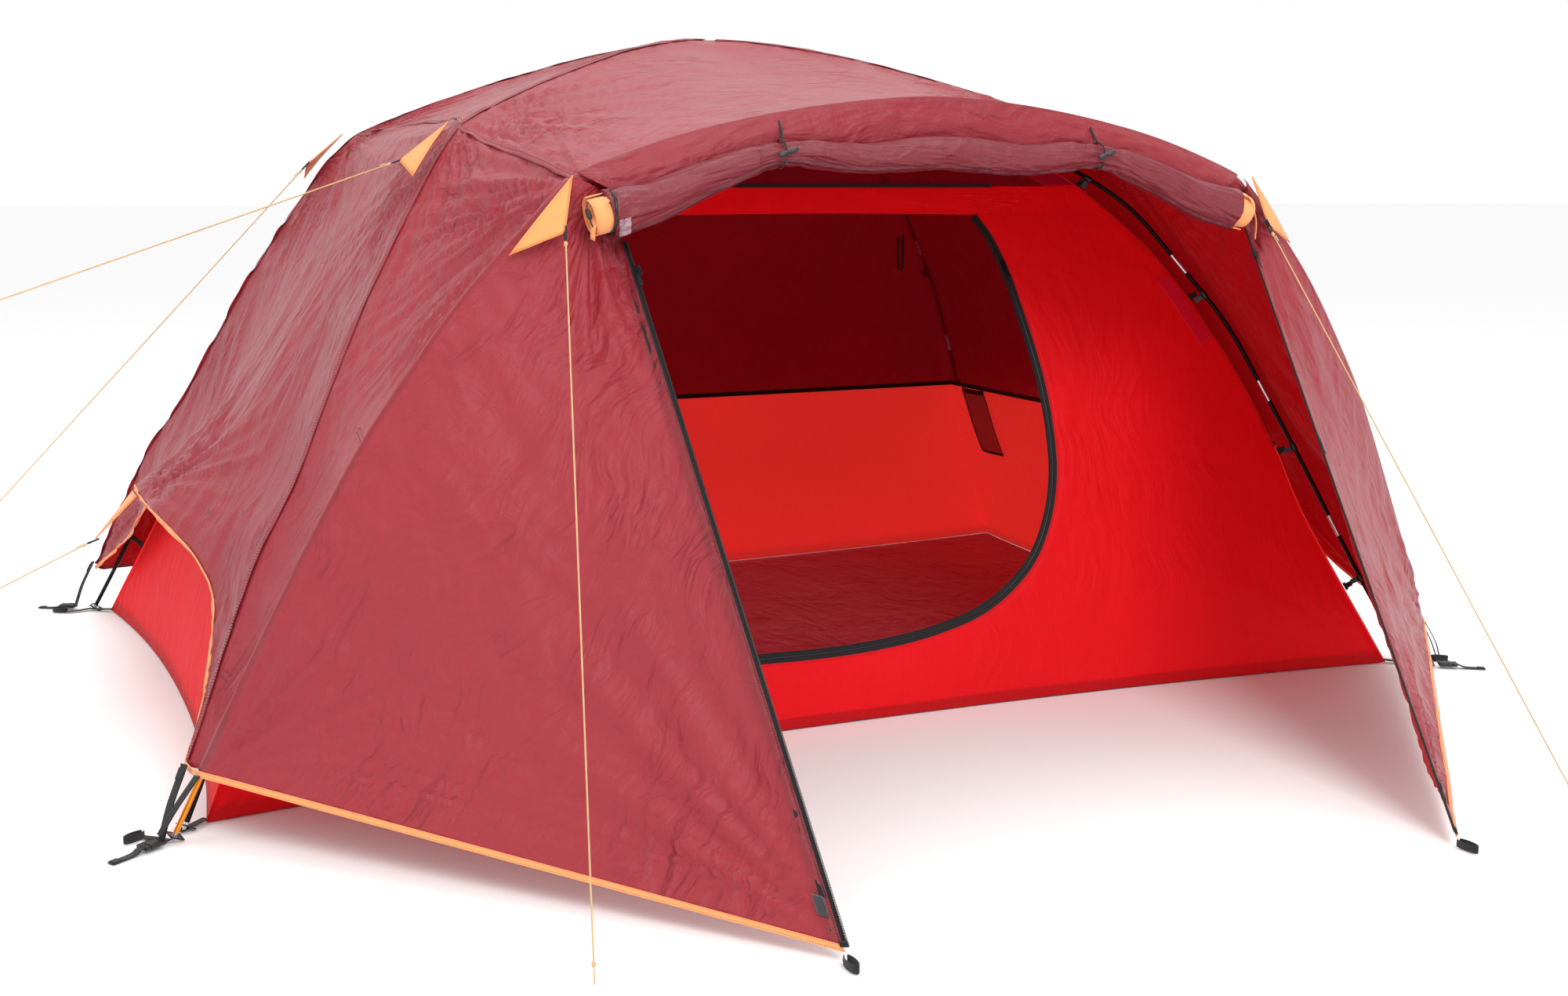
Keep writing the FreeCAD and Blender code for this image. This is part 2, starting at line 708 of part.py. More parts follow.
solids_node("fly_back_panel", [back_panel()])
solids_node("fly_back_roof_panel", [roof_back()])

# arch sleeve: a flat tube around the arch pole, from just over each foot
SL_W, SL_H = D("sleeve_width") / 2, D("sleeve_height") / 2
SLEEVE_LINE = [p for p in ARCH_LINE if p.z > 105]
arch3 = even([arch_pt(p.x, p.z) for p in SLEEVE_LINE], 56)
mid_out = V(0, -HALF_D + ARCH_FOOT_Y, 0)


def arch_in(p):
    # direction inside the arch's plane, from the pole towards the tent's middle
    i = min(range(len(arch3)), key=lambda k: (arch3[k] - p).Length)
    t = arch3[min(i + 1, len(arch3) - 1)] - arch3[max(i - 1, 0)]
    t = t * (1.0 / t.Length)
    nrm = V(0, math.cos(lean), math.sin(lean))
    return nrm.cross(t) * -1.0


sl_fr = []
PLANE_N = V(0, -math.cos(lean), -math.sin(lean))
ws = [SL_W * (0.62 + 0.38 * min(1.0, min(k, 56 - k) / 16.0)) for k in range(57)]
hs = [SL_H for k in range(57)]
inward = []
for k, p in enumerate(arch3):
    t = arch3[min(k + 1, 56)] - arch3[max(k - 1, 0)]
    t = t * (1.0 / t.Length)
    q = t.cross(PLANE_N)
    if q.dot(V(0, 0, 600) - V(p.x, 0, p.z)) < 0:
        q = q * -1.0
    inward.append(q)
sleeve_mid = [p + q * (w - 9.0) for p, q, w in zip(arch3, inward, ws)]
sleeve = bundle(sleeve_mid, PLANE_N, ws, hs, 10, 1.0)
solids_node("fly_arch_sleeve", [sleeve])
SL_IN = [p + q * (2 * w - 9.0 + 3.0) for p, q, w in zip(arch3, inward, ws)]      # seam on the tent's side
SL_OUT = [p - q * 12.0 for p, q in zip(arch3, inward)]


def arch_edge(pts, w):
    i = w * (len(pts) - 1)
    k = min(int(i), len(pts) - 2)
    return lerp(pts[k], pts[k + 1], i - k)


# shoulder of the sleeve, where the gussets end and the roof panel starts
SH = min(range(len(arch3)), key=lambda k: abs(arch3[k].x + 600.0) + (1000 if arch3[k].x > 0 else 0)) / 56.0
BACK_OFF = V(0, 4.0, 2.0)


def gusset(sx):
    rows = []
    for i in range(19):
        w = i / 18.0
        s = 30.0 + (694.0 - 30.0) * w
        a = seam_pt(sx, -1, s)
        wa = SH * w ** 0.95
        if sx > 0:
            wa = 1 - wa
        b = arch_edge(SL_IN, wa) + BACK_OFF
        row = []
        for u, p in span(a, b, 6, 4.0):
            sag = 16.0 * math.sin(math.pi * u) * math.sin(math.pi * w)
            row.append(p + V(-sx * sag * 0.7, sag * 0.7, 0))
        rows.append(row)
    return grid(rows, CT)


def front_roof():
    ss = [703, 760, 820, 890, 970, 1050, 1140, 1230, 1320, 1400, 1460]
    left = [seam_pt(-1, -1, s) for s in ss]
    right = [seam_pt(1, -1, s) for s in reversed(ss)]
    a = left + [V(0, -6, 1264.5)] + right
    rows = []
    n = len(a)
    for i, p in enumerate(a):
        w = i / float(n - 1)
        # match by the distance across
        wx = (p.x - a[0].x) / (a[-1].x - a[0].x)
        b = arch_edge(SL_IN, SH + 0.004 + (1 - 2 * SH - 0.008) * (0.5 + (wx - 0.5))) + BACK_OFF
        row = []
        for u, q in span(p, b, 7):
            row.append(q - V(0, 0, 22.0 * math.sin(math.pi * u) * math.sin(math.pi * wx)))
        rows.append(row)
    return grid(rows, CT)


solids_node("fly_front_gussets", [gusset(-1), gusset(1)])
solids_node("fly_front_roof_panel", [front_roof()])

# vestibule wings: arch edge, straight zip edge, hem from the corner to the stake point
TIP = {-1: V(-508, -HALF_D - 838, 20), 1: V(508, -HALF_D - 840, 20)}
ZTOP = {-1: V(-535, -HALF_D - 116, 892), 1: V(630, -HALF_D - 138, 900)}
FLY_CORNER_Y = -HALF_D - 8


def wing_rows(sx, n=22, m=9):
    rows = []
    for i in range(n + 1):
        w = i / float(n)
        wa = SH * 0.985 * w
        if sx > 0:
            wa = 1 - wa
        a = arch_edge(SL_OUT, wa) + V(0, -11.0, -2.0)
        zt = ZTOP[sx]
        top = V(zt.x * 0.985, zt.y - 8, zt.z + 52)
        zl = (zt - TIP[sx]).Length
        z = lerp(TIP[sx], zt, w / 0.93) if w <= 0.93 else lerp(zt, top, (w - 0.93) / 0.07)
        row = []
        for u, p in span(a, z, m, 3.0):
            bow = 20.0 * math.sin(math.pi * u) * math.sin(math.pi * min(1.0, w * 1.1))
            # the upper part passes in front of the sleeve
            fwd = 11.0 * math.sin(math.pi * min(1.0, (u + 0.12) / 0.8)) * min(1.0, max(0.0, (w - 0.3) / 0.4))
            row.append(p + V(sx * -0.35 * bow, 0.9 * bow - fwd, 0))
        rows.append(row)
    return rows


solids_node("fly_left_wing", [grid(wing_rows(-1), CT)])
solids_node("fly_right_wing", [grid(wing_rows(1), CT)])

# rolled-up door under the arch, held by two toggles
ry = -HALF_D - 172.0
ROLL = smooth([V(-575, ry, 929), V(-500, ry, 947), V(-400, ry, 986), V(-291, ry, 1018), V(-150, ry, 1012), V(0, ry, 1022),
               V(150, ry, 1012), V(291, ry, 1018), V(400, ry, 986), V(500, ry, 947), V(575, ry, 929)], 44)
rr = []
for p in ROLL:
    a = abs(p.x)
    r = D("roll_radius")
    if a < 250:
        q = 0.86 + 0.10 * math.cos(p.x / 250.0 * math.pi)
    elif a < 330:
        q = 0.62
    else:
        q = 0.74 + 0.40 * (a - 330.0) / 245.0
    rr.append(r * q)
solids_node("fly_door_roll", [bundle(ROLL, V(0, -1, 0), [r * 0.98 for r in rr], rr, 12)])
# end caps: the door's zip guard, rolled up with it
caps = []
for sgn in (-1, 1):
    e = ROLL[0] if sgn < 0 else ROLL[-1]
    nx = ROLL[1] if sgn < 0 else ROLL[-2]
    d = (e - nx) * (1.0 / (e - nx).Length)
    caps.append(bundle([e + d * 1.5, e + d * 14, e + d * 31], V(0, -1, 0), [31, 31, 26], [31, 31, 26], 12))

# ---------------------------------------------------------------- inner tent
INNER_IN = 34.0      # the inner tent hangs this far inside the poles


def inner_pt(qx, qy, s):
    i = min(range(len(POLE_LINE) // 2 + 2), key=lambda k: abs(POLE_LINE[k].x - s))
    a, b = POLE_LINE[max(i - 2, 0)], POLE_LINE[i + 2]
    t = (b - a) * (1.0 / (b - a).Length)
    n = V(t.z, 0, -t.x)
    p = V(s, 0, interp([(q.x, q.z) for q in POLE_LINE], s)) + n * INNER_IN
    return pole_pt(qx, qy, p.x, p.z)


def inner_at(qx, qy, z):
    lo, hi = 0.0, DIAG - 10
    for _ in range(40):
        mid = (lo + hi) / 2
        if inner_pt(qx, qy, mid).z < z:
            lo = mid
        else:
            hi = mid
    return inner_pt(qx, qy, (lo + hi) / 2)


IN_TOP = 0.0
SOLID_Z = 450.0
BAND_Z = 968.0
FOOT_IN = 46.0       # inner corner, inboard of the pole foot


def inner_corner(qx, qy, z):
    # below 80 mm the inner corner runs down to the floor corner
    p = inner_at(qx, qy, max(z, 80.0))
    if z < 80.0:
        c = V(qx * (HALF_W - FOOT_IN), qy * (HALF_D - FOOT_IN * 0.7), 0)
        w = (80.0 - z) / 80.0
        p = V(p.x + (c.x - p.x) * w, p.y + (c.y - p.y) * w, z)
    return p


def bow_front(x):
    a = min(1.0, abs(x) / 1190.0)
    return 78.0 * (1 - a ** 2.2)


def bow_side(y):
    a = min(1.0, abs(y) / 810.0)
    return 58.0 * (1 - a ** 2.2)


def fall(z):
    return math.exp(-z / 170.0)


def wall_rows(q0, q1, z0, z1, n, m, bow, sag):
    rows = []
    for i in range(n + 1):
        z = z0 + (z1 - z0) * i / n
        a, b = inner_corner(q0[0], q0[1], z), inner_corner(q1[0], q1[1], z)
        row = []
        for u, p in span(a, b, m, 5.0):
            p = V(p.x, p.y, z)
            k = math.sin(math.pi * u)
            inw = bow(p.x if q0[0] != q1[0] else p.y) * fall(z) + sag * k * math.sin(math.pi * min(1, z / 1000.0))
            if q0[0] == q1[0]:
                p.x -= q0[0] * inw
            else:
                p.y -= q0[1] * inw
            row.append(p)
        rows.append(row)
    return rows


W0 = 2.2
solids_node("inner_left_wall", [grid(wall_rows((-1, -1), (-1, 1), W0, SOLID_Z - 2, 9, 14, bow_side, 10), CT)])
solids_node("inner_right_wall", [grid(wall_rows((1, -1), (1, 1), W0, SOLID_Z - 2, 9, 14, bow_side, 10), CT)])
solids_node("inner_back_wall", [grid(wall_rows((-1, 1), (1, 1), W0, SOLID_Z - 2, 9, 18, bow_front, 10), CT)])


def mesh_rows(q0, q1, z0, m, sag):
    rows = []
    s0 = None
    lo = inner_at(q0[0], q0[1], z0)
    s_lo = DIAG * (1 - abs(lo.x) / HALF_W)
    ss = [s_lo + (1430.0 - s_lo) * i / 16.0 for i in range(17)]
    for s in ss:
        zt = interp([(DIAG * (1 - abs(inner_pt(q0[0], q0[1], k).x) / HALF_W), inner_pt(q0[0], q0[1], k).z) for k in range(60, 1470, 30)], s)
        a, b = pole_pt(q0[0], q0[1], s, zt), pole_pt(q1[0], q1[1], s, zt)
        row = []
        for u, p in span(a, b, m, 5.0):
            k = math.sin(math.pi * u) * math.sin(math.pi * min(1.0, zt / 1230.0)) * sag
            if q0[0] == q1[0]:
                p = V(p.x - q0[0] * k, p.y, p.z)
            else:
                p = V(p.x, p.y - q0[1] * k, p.z)
            row.append(p)
        rows.append(row)
    return rows


solids_node("inner_side_meshes", [grid(mesh_rows((-1, -1), (-1, 1), SOLID_Z + 2, 10, 10), CT),
                                  grid(mesh_rows((1, -1), (1, 1), SOLID_Z + 2, 10, 10), CT)])
solids_node("inner_back_mesh", [grid(mesh_rows((-1, 1), (1, 1), SOLID_Z + 2, 12, 10), CT)])
solids_node("inner_front_mesh", [grid(mesh_rows((-1, -1), (1, -1), BAND_Z + 3, 12, 6), CT)])

# front wall: a sheet with the D-shaped doorway left open
DOOR = [(372, 914), (390, 880), (408, 820), (424, 740), (438, 660), (448, 580), (452, 500), (448, 420), (428, 340),
        (388, 268), (330, 214), (255, 172), (160, 146), (60, 132), (-60, 126), (-200, 128), (-340, 132), (-480, 138),
        (-610, 150), (-700, 178), (-752, 232), (-768, 300), (-760, 380), (-738, 470), (-710, 560), (-676, 650),
        (-640, 740), (-600, 820), (-566, 880), (-548, 914), (-420, 916), (-260, 917), (-90, 918), (80, 918), (230, 916)]


def front_map(x, z, off=0.0):
    p = inner_corner(-1, -1, z)
    ax = abs(p.x)
    u = min(1.0, abs(x) / ax)
    return V(x, p.y + bow_front(x) * fall(z) - off, z)


def outer_match():
    # points on the wall's outline, one for each door point
    zt = BAND_Z
    out = []
    zb = W0
    n = len(DOOR)
    for k, (x, z) in enumerate(DOOR):
        if k >= 29 or k == 0:                      # top band
            x0 = 372.0 if k == 0 else x
            xt = inner_corner(1, -1, zt).x - 6
            f = {0: 1.0, 29: -1.0}.get(k, x0 / 440.0)
            xx = max(-1.0, min(1.0, f)) * xt
            out.append((xx, zt))
        elif k <= 9:                               # right side
            zz = zt + (zb - zt) * (k / 10.0) ** 0.9
            out.append((inner_corner(1, -1, zz).x - 6, zz))
        elif k <= 18:                              # bottom
            w = (k - 10) / 8.0
            xb = inner_corner(1, -1, zb).x - 6
            out.append((xb * (1 - 2 * w), zb))
        else:                                      # left side
            w = (k - 18) / 11.0
            zz = zb + (zt - zb) * w
            out.append((-(inner_corner(1, -1, zz).x - 6), zz))
    return out


outl = outer_match()
loops = []
for lev in range(5):
    w = (lev / 4.0) ** 0.8
    loops.append([front_map(a[0] + (b[0] - a[0]) * w, a[1] + (b[1] - a[1]) * w) for a, b in zip(outl, DOOR)])
solids_node("inner_front_wall", [ring_sheet(loops, CT)])


# doorway zip: a flat track round the doorway, just inside its edge
def door_center():
    return sum(x for x, z in DOOR) / len(DOOR), sum(z for x, z in DOOR) / len(DOOR)


DWID = D("door_zip_width")
ZIP_SIDE = DOOR[:30]
zin, zout = [], []
for k, (x, z) in enumerate(ZIP_SIDE):
    x0, z0 = ZIP_SIDE[max(k - 1, 0)]
    x1, z1 = ZIP_SIDE[min(k + 1, len(ZIP_SIDE) - 1)]
    tx, tz = x1 - x0, z1 - z0
    ln = math.hypot(tx, tz)
    nx, nz = tz / ln, -tx / ln            # towards the doorway's middle
    if (nx * (-150 - x) + nz * (500 - z)) < 0:
        nx, nz = -nx, -nz
    zout.append(front_map(x + nx * 1.0, z + nz * 1.0))
    zin.append(front_map(x + nx * (1.0 + DWID), z + nz * (1.0 + DWID)))
solids_node("inner_door_zip", [grid([[a, b] for a, b in zip(zout, zin)], D("zip_tape_thick"))])

# opened door, gathered along its hinge side inside the tent
gp = [front_map(-560, 850, -42), front_map(-600, 760, -46), front_map(-650, 640, -48), front_map(-690, 520, -50), front_map(-722, 400, -52),
      front_map(-738, 290, -56), front_map(-728, 190, -58), front_map(-700, 110, -58)]
GATH = smooth(gp, 22)
gw = [18 + 12 * math.sin(math.pi * min(1.0, (k + 1) / 15.0)) + 4 * math.sin(k * 1.3) for k in range(23)]
gw[10] = 16.0
gw[11] = 15.0
gw[12] = 16.0
solids_node("inner_door_gathered", [bundle(GATH, V(0, 1, 0), gw, [g * 0.9 for g in gw], 10)])
# tie-back loop round the gathered door
tiec = GATH[11]
tied = GATH[12] - GATH[10]
tied = tied * (1.0 / tied.Length)
tie = doc.addObject("Part::Torus", "door_tie_ring")
tie.Radius1 = 21.0
tie.Radius2 = 2.0
doc.recompute()
tie_shape = tie.Shape.copy()
tie_shape.Placement = Placement(tiec, Rotation(V(0, 0, 1), tied))
solids_node("inner_door_tie", [tie_shape])

# gear pocket on the right wall near the back corner
prow = []
for z in (272, 320, 370, 420, 438):
    a = inner_corner(1, -1, z)
    r = []
    for y in (1312 - 831, 1340 - 831, 1368 - 831, 1396 - 831, 1424 - 831):
        inw = bow_side(y) * fall(z) + 10 * math.sin(math.pi * min(1, z / 1000.0))
        w = (y - 481) / 112.0
        belly = 3.0 + 9.0 * math.sin(math.pi * w) * (0.55 + 0.45 * (z - 272) / 166.0)
        r.append(V(a.x - inw * math.sin(math.pi * (y + 831) / 1662.0) - belly - 3, y, z))
    prow.append(r)
solids_node("inner_gear_pocket", [grid(prow, 1.2)])

# gear loops that hang from the inner tent's back corners
hl = []
for sx in (-1, 1):
    c = inner_at(sx, 1, 850)
    c = V(c.x - sx * 22, c.y - 16, 846)
    pts = [c + V(0, 0, 0), c + V(-sx * 1, -2, -40), c + V(-sx * 2, -3, -78), c + V(-sx * 8, -4, -86), c + V(-sx * 14, -3, -78), c + V(-sx * 14, -2, -40), c + V(-sx * 12, 0, -4)]
    hl.append(ribbon(pts, V(0, 1, 0), 10, 1.2))

# floor: waterproof sheet, its sides drawn in between the four corners
floor = doc.addObject("PartDesign::Body", "tub_floor")
import Sketcher
fs = sketch(floor, "floor_outline", "XY_Plane")
cx, cy = HALF_W - FOOT_IN - 6, HALF_D - FOOT_IN * 0.7 - 6
cor = [V(-cx, -cy, 0), V(cx, -cy, 0), V(cx, cy, 0), V(-cx, cy, 0)]
mids = [V(0, -cy + 76, 0), V(cx - 58, 0, 0), V(0, cy - 76, 0), V(-cx + 58, 0, 0)]     # middle of each drawn-in side
for k in range(4):
    fs.addGeometry(Part.Arc(cor[k], mids[k], cor[(k + 1) % 4]), False)
pad(floor, "floor_pad", fs, "Dimensions.floor_thickness")
node(floor, "inner_floor")

# ---------------------------------------------------------------- pole clips
# hook that snaps over the pole, with a leg and a flat eye for its tape
clipb = doc.addObject("PartDesign::Body", "clip_pattern")
sk = sketch(clipb, "clip_ring", "XY_Plane")
circle(sk, "Dimensions.pole_dia / 2 + Dimensions.clip_gap + Dimensions.clip_wall")
circle(sk, "Dimensions.pole_dia / 2 + Dimensions.clip_gap")
pad(clipb, "clip_ring_pad", sk, "Dimensions.clip_length", True)
sk = sketch(clipb, "clip_leg", "XY_Plane")
rect(sk, "Dimensions.clip_leg - 5", "3", 6.0 + 7.5, 0)
pad(clipb, "clip_leg_pad", sk, "Dimensions.clip_length - 4", True)
sk = sketch(clipb, "clip_mouth", "XY_Plane")
rect(sk, "6", "5.6", -6.0, 0)
pocket(clipb, "clip_mouth_cut", sk, "30", True)
doc.recompute()
CLIP_S = [118, 262, 452, 690, 955, 1250]
doc.recompute()


def true_point(vt, pl, ss):
    # point and direction on the tube's centre line, arcs included
    best = None
    for k in range(1, len(vt) - 1):
        a, c, b = vt[k - 1], vt[k], vt[k + 1]
        a2 = a if k == 1 else (a + c) * 0.5
        b2 = b if k == len(vt) - 2 else (c + b) * 0.5
        if not (a2.x <= ss <= b2.x):
            continue
        u, w = (a2 - c), (b2 - c)
        tl = 0.45 * (min(u.Length, w.Length) - 0.5)
        u = u * (1.0 / u.Length)
        w = w * (1.0 / w.Length)
        turn = math.pi - u.getAngle(w)
        rad = tl / math.tan(turn / 2)
        bis = (u + w) * (1.0 / (u + w).Length)
        o = c + bis * (rad / math.cos(turn / 2))
        p, q = c + u * tl, c + w * tl
        if ss < p.x:
            f = (ss - a2.x) / (c.x - a2.x)
            return pl.multVec(lerp(a2, c, f)), pl.Rotation.multVec(u * -1.0)
        if ss > q.x:
            f = (ss - c.x) / (b2.x - c.x)
            return pl.multVec(lerp(c, b2, f)), pl.Rotation.multVec(w)
        # on the arc
        lo, hi = 0.0, 1.0
        for _ in range(40):
            m = (lo + hi) / 2
            r = (p - o) * (1 - m) + (q - o) * m
            r = r * (rad / r.Length)
            if (o + r).x < ss:
                lo = m
            else:
                hi = m
        pt = o + r
        tn = V(-r.z, 0, r.x)
        if tn.x < 0:
            tn = tn * -1.0
        return pl.multVec(pt), pl.Rotation.multVec(tn * (1.0 / tn.Length))
    return None


shapes, tapes = [], []
CLIP_POS = []
for qx in (-1, 1):
    for qy in (-1, 1):
        on_a = (qx * qy > 0)
        vt = vtx_a if on_a else vtx_b
        pl = frame_a if on_a else frame_b
        for s in CLIP_S:
            ss = s if qy < 0 else 2 * DIAG - s
            P, T = true_point(vt, pl, ss)
            T = T * (1.0 / T.Length)
            side = V(0, 0, 1).cross(T)
            inn = T.cross(side)
            inn = inn * (1.0 / inn.Length)
            if inn.z > 0:
                inn = inn * -1.0
            shapes.append(placed(clipb, P, rot_axes(inn, T)))
            CLIP_POS.append((P, inn, T))
            a = P + inn * 21.6
            b = P + inn * 32.0
            tapes.append(ribbon([a, b], T, 10.0, 1.2))
solids_node("pole_clips", shapes)
solids_node("inner_webbing_tapes", tapes + hl)

# ---------------------------------------------------------------- corners
# eyelets, webbing, straps, buckles and stake loops at the four corners
grom = doc.addObject("PartDesign::Body", "grommet_pattern")
sk = sketch(grom, "grommet_ring", "XY_Plane")
circle(sk, "Dimensions.grommet_outer")
circle(sk, "Dimensions.grommet_bore")
pad(grom, "grommet_pad", sk, "Dimensions.grommet_thick", True)
doc.recompute()
grommets, feet_web = [], []
for P, d in FEET:
    c = P - d * 5.0
    grommets.append(placed(grom, c, Rotation(V(0, 0, 1), d)))
solids_node("pole_grommets", grommets)

WW, WT = D("webbing_width"), D("webbing_thick")


def tape_with_hole(c, d, along_dir, l0, l1, w, bore):
    # flat webbing square to the pole end d, with a round hole at c
    x = along_dir - d * along_dir.dot(d)
    x = x * (1.0 / x.Length)
    pl = Placement(c, rot_axes(x, d))
    bx = Part.makeBox(l0 + l1, w, WT, V(-l0, -w / 2, -WT / 2))
    hole = Part.makeCylinder(bore, 10, V(0, 0, -5))
    s = bx.cut(hole)
    s.Placement = pl
    return s


for k, (P, d) in enumerate(FEET):
    qx = 1 if P.x > 0 else -1
    qy = 1 if P.y > 0 else -1
    c = P - d * 5.0
    inwd = V(-qx, -qy * 0.55, 0) if k < 4 else V(-qx, 0.25, 0)
    feet_web.append(tape_with_hole(c, d, inwd, 10.5, 15.0 if k < 4 else 13.0, 21.0, D("grommet_outer") + 0.15))
solids_node("corner_foot_webbings", feet_web)

# side-release buckle, socket: a flat box open at one end, local X out of its mouth
sock = doc.addObject("PartDesign::Body", "buckle_socket_pattern")
sk = sketch(sock, "socket_outline", "XY_Plane")
rect(sk, "Dimensions.buckle_length", "Dimensions.buckle_width")
pad(sock, "socket_pad", sk, "Dimensions.buckle_thick", True)
doc.recompute()
sk = sketch(sock, "socket_mouth", "YZ_Plane")
rect(sk, "Dimensions.buckle_width - 2 * Dimensions.buckle_wall", "Dimensions.buckle_thick - 2 * Dimensions.buckle_wall")
pk = pocket(sock, "socket_cavity", sk, "Dimensions.buckle_length / 2 + 1", False, True)
sk = sketch(sock, "socket_deep", "YZ_Plane")
rect(sk, "Dimensions.buckle_width - 2 * Dimensions.buckle_wall", "Dimensions.buckle_thick - 2 * Dimensions.buckle_wall")
pk2 = pocket(sock, "socket_cavity_back", sk, "Dimensions.buckle_length / 2 - 4", False, False)
doc.recompute()
plug = doc.addObject("PartDesign::Body", "buckle_plug_pattern")
sk = sketch(plug, "plug_base", "XY_Plane")
rect(sk, "8", "Dimensions.buckle_width", 18.0, 0)
pad(plug, "plug_base_pad", sk, "Dimensions.buckle_thick - 1", True)
sk = sketch(plug, "plug_prongs", "XY_Plane")
for yy in (-7.4, 0.0, 7.4):
    rect(sk, "20", "3.2", 5.0, yy)
pad(plug, "plug_prongs_pad", sk, "3.6", True)
doc.recompute()
sv0 = 26.0 * 24.0 * 8.0
print("socket volume", round(sock.Shape.Volume, 1), "plug volume", round(plug.Shape.Volume, 1), sv0)


CORNER = {"front_left": (-1, -1), "front_right": (1, -1), "back_left": (-1, 1), "back_right": (1, 1)}
sockets, fly_straps = [], []
PLUGS = {}
for name, (qx, qy) in CORNER.items():
    # the buckle lies by the foot, socket towards the tent, plug pointing out
    out = V(qx * 0.83, qy * 0.56, 0)
    out = out * (1.0 / out.Length)
    up = V(0, 0, 1)
    c = V(qx * (HALF_W + 36), qy * (HALF_D + (46 if qy < 0 else 26)), 8.0)
    rot = rot_axes(out, up)
    sockets.append(placed(sock, c, rot))
    # fly corner strap: from the fly's corner down to the socket
    topc = V(qx * 1206, qy * (HALF_D + (16 if qy < 0 else -4)), 107)
    end = c - out * (D("buckle_length") / 2 + 0.9)
    fly_straps.append(ribbon([topc + out * 9, lerp(topc + out * 9, end, 0.5) + out * 1.0, end + V(0, 0, 3) - out * 1.5, end], out.cross(up), WW, WT))
    # the plug's tail runs out along the ground
    s0 = c + out * 23.0
    tpts = [s0, s0 + out * 6 - up * 1.5, s0 + out * 14 - up * 5.4, s0 + out * 30 - up * 6.6, s0 + out * 56 - up * 6.6]
    tail = ribbon(tpts, out.cross(up), WW, WT)
    PLUGS[name] = ([placed(plug, c, rot), tail], out, c)

solids_node("buckle_sockets", sockets)
for name in CORNER:
    solids_node("buckle_plug_" + name, PLUGS[name][0])
solids_node("fly_corner_straps", fly_straps)


# stake loops: webbing loops lying on the ground at the vestibule tips and the corners
def loop_strap(root, out, ln, gap, width):
    # a loop of webbing standing on edge: the stake goes down through it
    out = out * (1.0 / out.Length)
    sd = V(0, 0, 1).cross(out)
    # plain oval, open at the root
    pts = []
    for k in range(17):
        a = -0.88 * math.pi + 1.76 * math.pi * k / 16.0
        pts.append(root + out * (ln * 0.5 + ln * 0.5 * math.cos(a)) + sd * (gap * 0.5 * math.sin(a)))
    return grid([[p + V(0, 0, 0), p + V(0, 0, width)] for p in pts], 1.4)


stake = []
STAKES = []
for sx in (-1, 1):
    t = TIP[sx]
    dirn = V(sx * 0.05, -1, 0)
    STAKES.append(V(t.x, t.y - 5, 0) + dirn * 19)
    stake.append(loop_strap(V(t.x, t.y - 5, 1.2), dirn, 38, 13, 12))
for name, (qx, qy) in CORNER.items():
    out = V(qx * 0.83, qy * 0.56, 0)
    out = out * (1.0 / out.Length)
    sd = V(0, 0, 1).cross(out)
    r = V(qx * (HALF_W + 30), qy * (HALF_D + (14 if qy < 0 else 6)), 1.2) + sd * (-26.0 * qx * qy)
    STAKES.append(r + out * 18)
    stake.append(loop_strap(r, out, 36, 13, 12))
solids_node("stake_loops", stake)

# ---------------------------------------------------------------- fly zips
zipn = {}
for sx, side in ((-1, "left"), (1, "right")):
    a, b = TIP[sx], ZTOP[sx]
    ax = (b - a) * (1.0 / (b - a).Length)
    rows = wing_rows(sx)
    # the wing's own edge direction, so the tape lies in the wing's plane
    r = rows[8]
    inwd = r[-2] - r[-1]
    inwd = inwd - ax * inwd.dot(ax)
    inwd = inwd * (1.0 / inwd.Length)
    nrm = ax.cross(inwd)
    if nrm.y > 0:
        nrm = nrm * -1.0
    L = (b - a).Length
    # coil tape along the edge, outside the wing cloth's edge
    st = a + ax * 30 - inwd * 2.0
    zipn[sx] = (st, ax, inwd, nrm, L - 40)

tapes = []
for sx in (-1, 1):
    st, ax, inwd, nrm, L = zipn[sx]
    bx = Part.makeBox(L, 7.0, 1.6, V(0, -7.0, -0.8))
    coil = Part.makeBox(L, 2.4, 3.2, V(0, -7.0 - 2.4, -1.6))
    s = bx.fuse(coil).removeSplitter()
    s.Placement = Placement(st, Rotation(ax, inwd, ax.cross(inwd), "XYZ"))
    tapes.append(s)
solids_node("fly_zip_tapes", tapes)

# slider: two wings joined by a bridge, so it wraps the coil; a lug on top
sl = doc.addObject("PartDesign::Body", "slider_pattern")
sk = sketch(sl, "slider_outline", "XY_Plane")
rect(sk, "Dimensions.slider_length", "Dimensions.slider_width", 0, -1.0)
pad(sl, "slider_block", sk, "Dimensions.slider_thick", True)
sk = sketch(sl, "slider_slot", "YZ_Plane")
rect(sk, "Dimensions.slider_width - 2.4", "3.8", 1.6, 0)
pocket(sl, "slider_slot_cut", sk, "40", True)
sk = sketch(sl, "slider_lug", "XZ_Plane")
rect(sk, "7.2", "4.6", 0.0, 5.5)
pad(sl, "slider_bridge", sk, "2.0", True)
sk = sketch(sl, "slider_tunnel", "XZ_Plane")
rect(sk, "4.8", "3.4", 0.0, 4.9)
pocket(sl, "slider_tunnel_cut", sk, "8", True)
doc.recompute()
print("slider volume", round(sl.Shape.Volume, 1))
pu = doc.addObject("PartDesign::Body", "pull_pattern")
sk = sketch(pu, "pull_outline", "XY_Plane")
rect(sk, "Dimensions.pull_length - 0.7", "Dimensions.pull_width", -14.65, 0)
pad(pu, "pull_pad", sk, "Dimensions.pull_thick", True)
sk = sketch(pu, "pull_slot", "XY_Plane")
rect(sk, "5.8", "3.2", -2.7, 0)
pocket(pu, "pull_slot_cut", sk, "10", True)
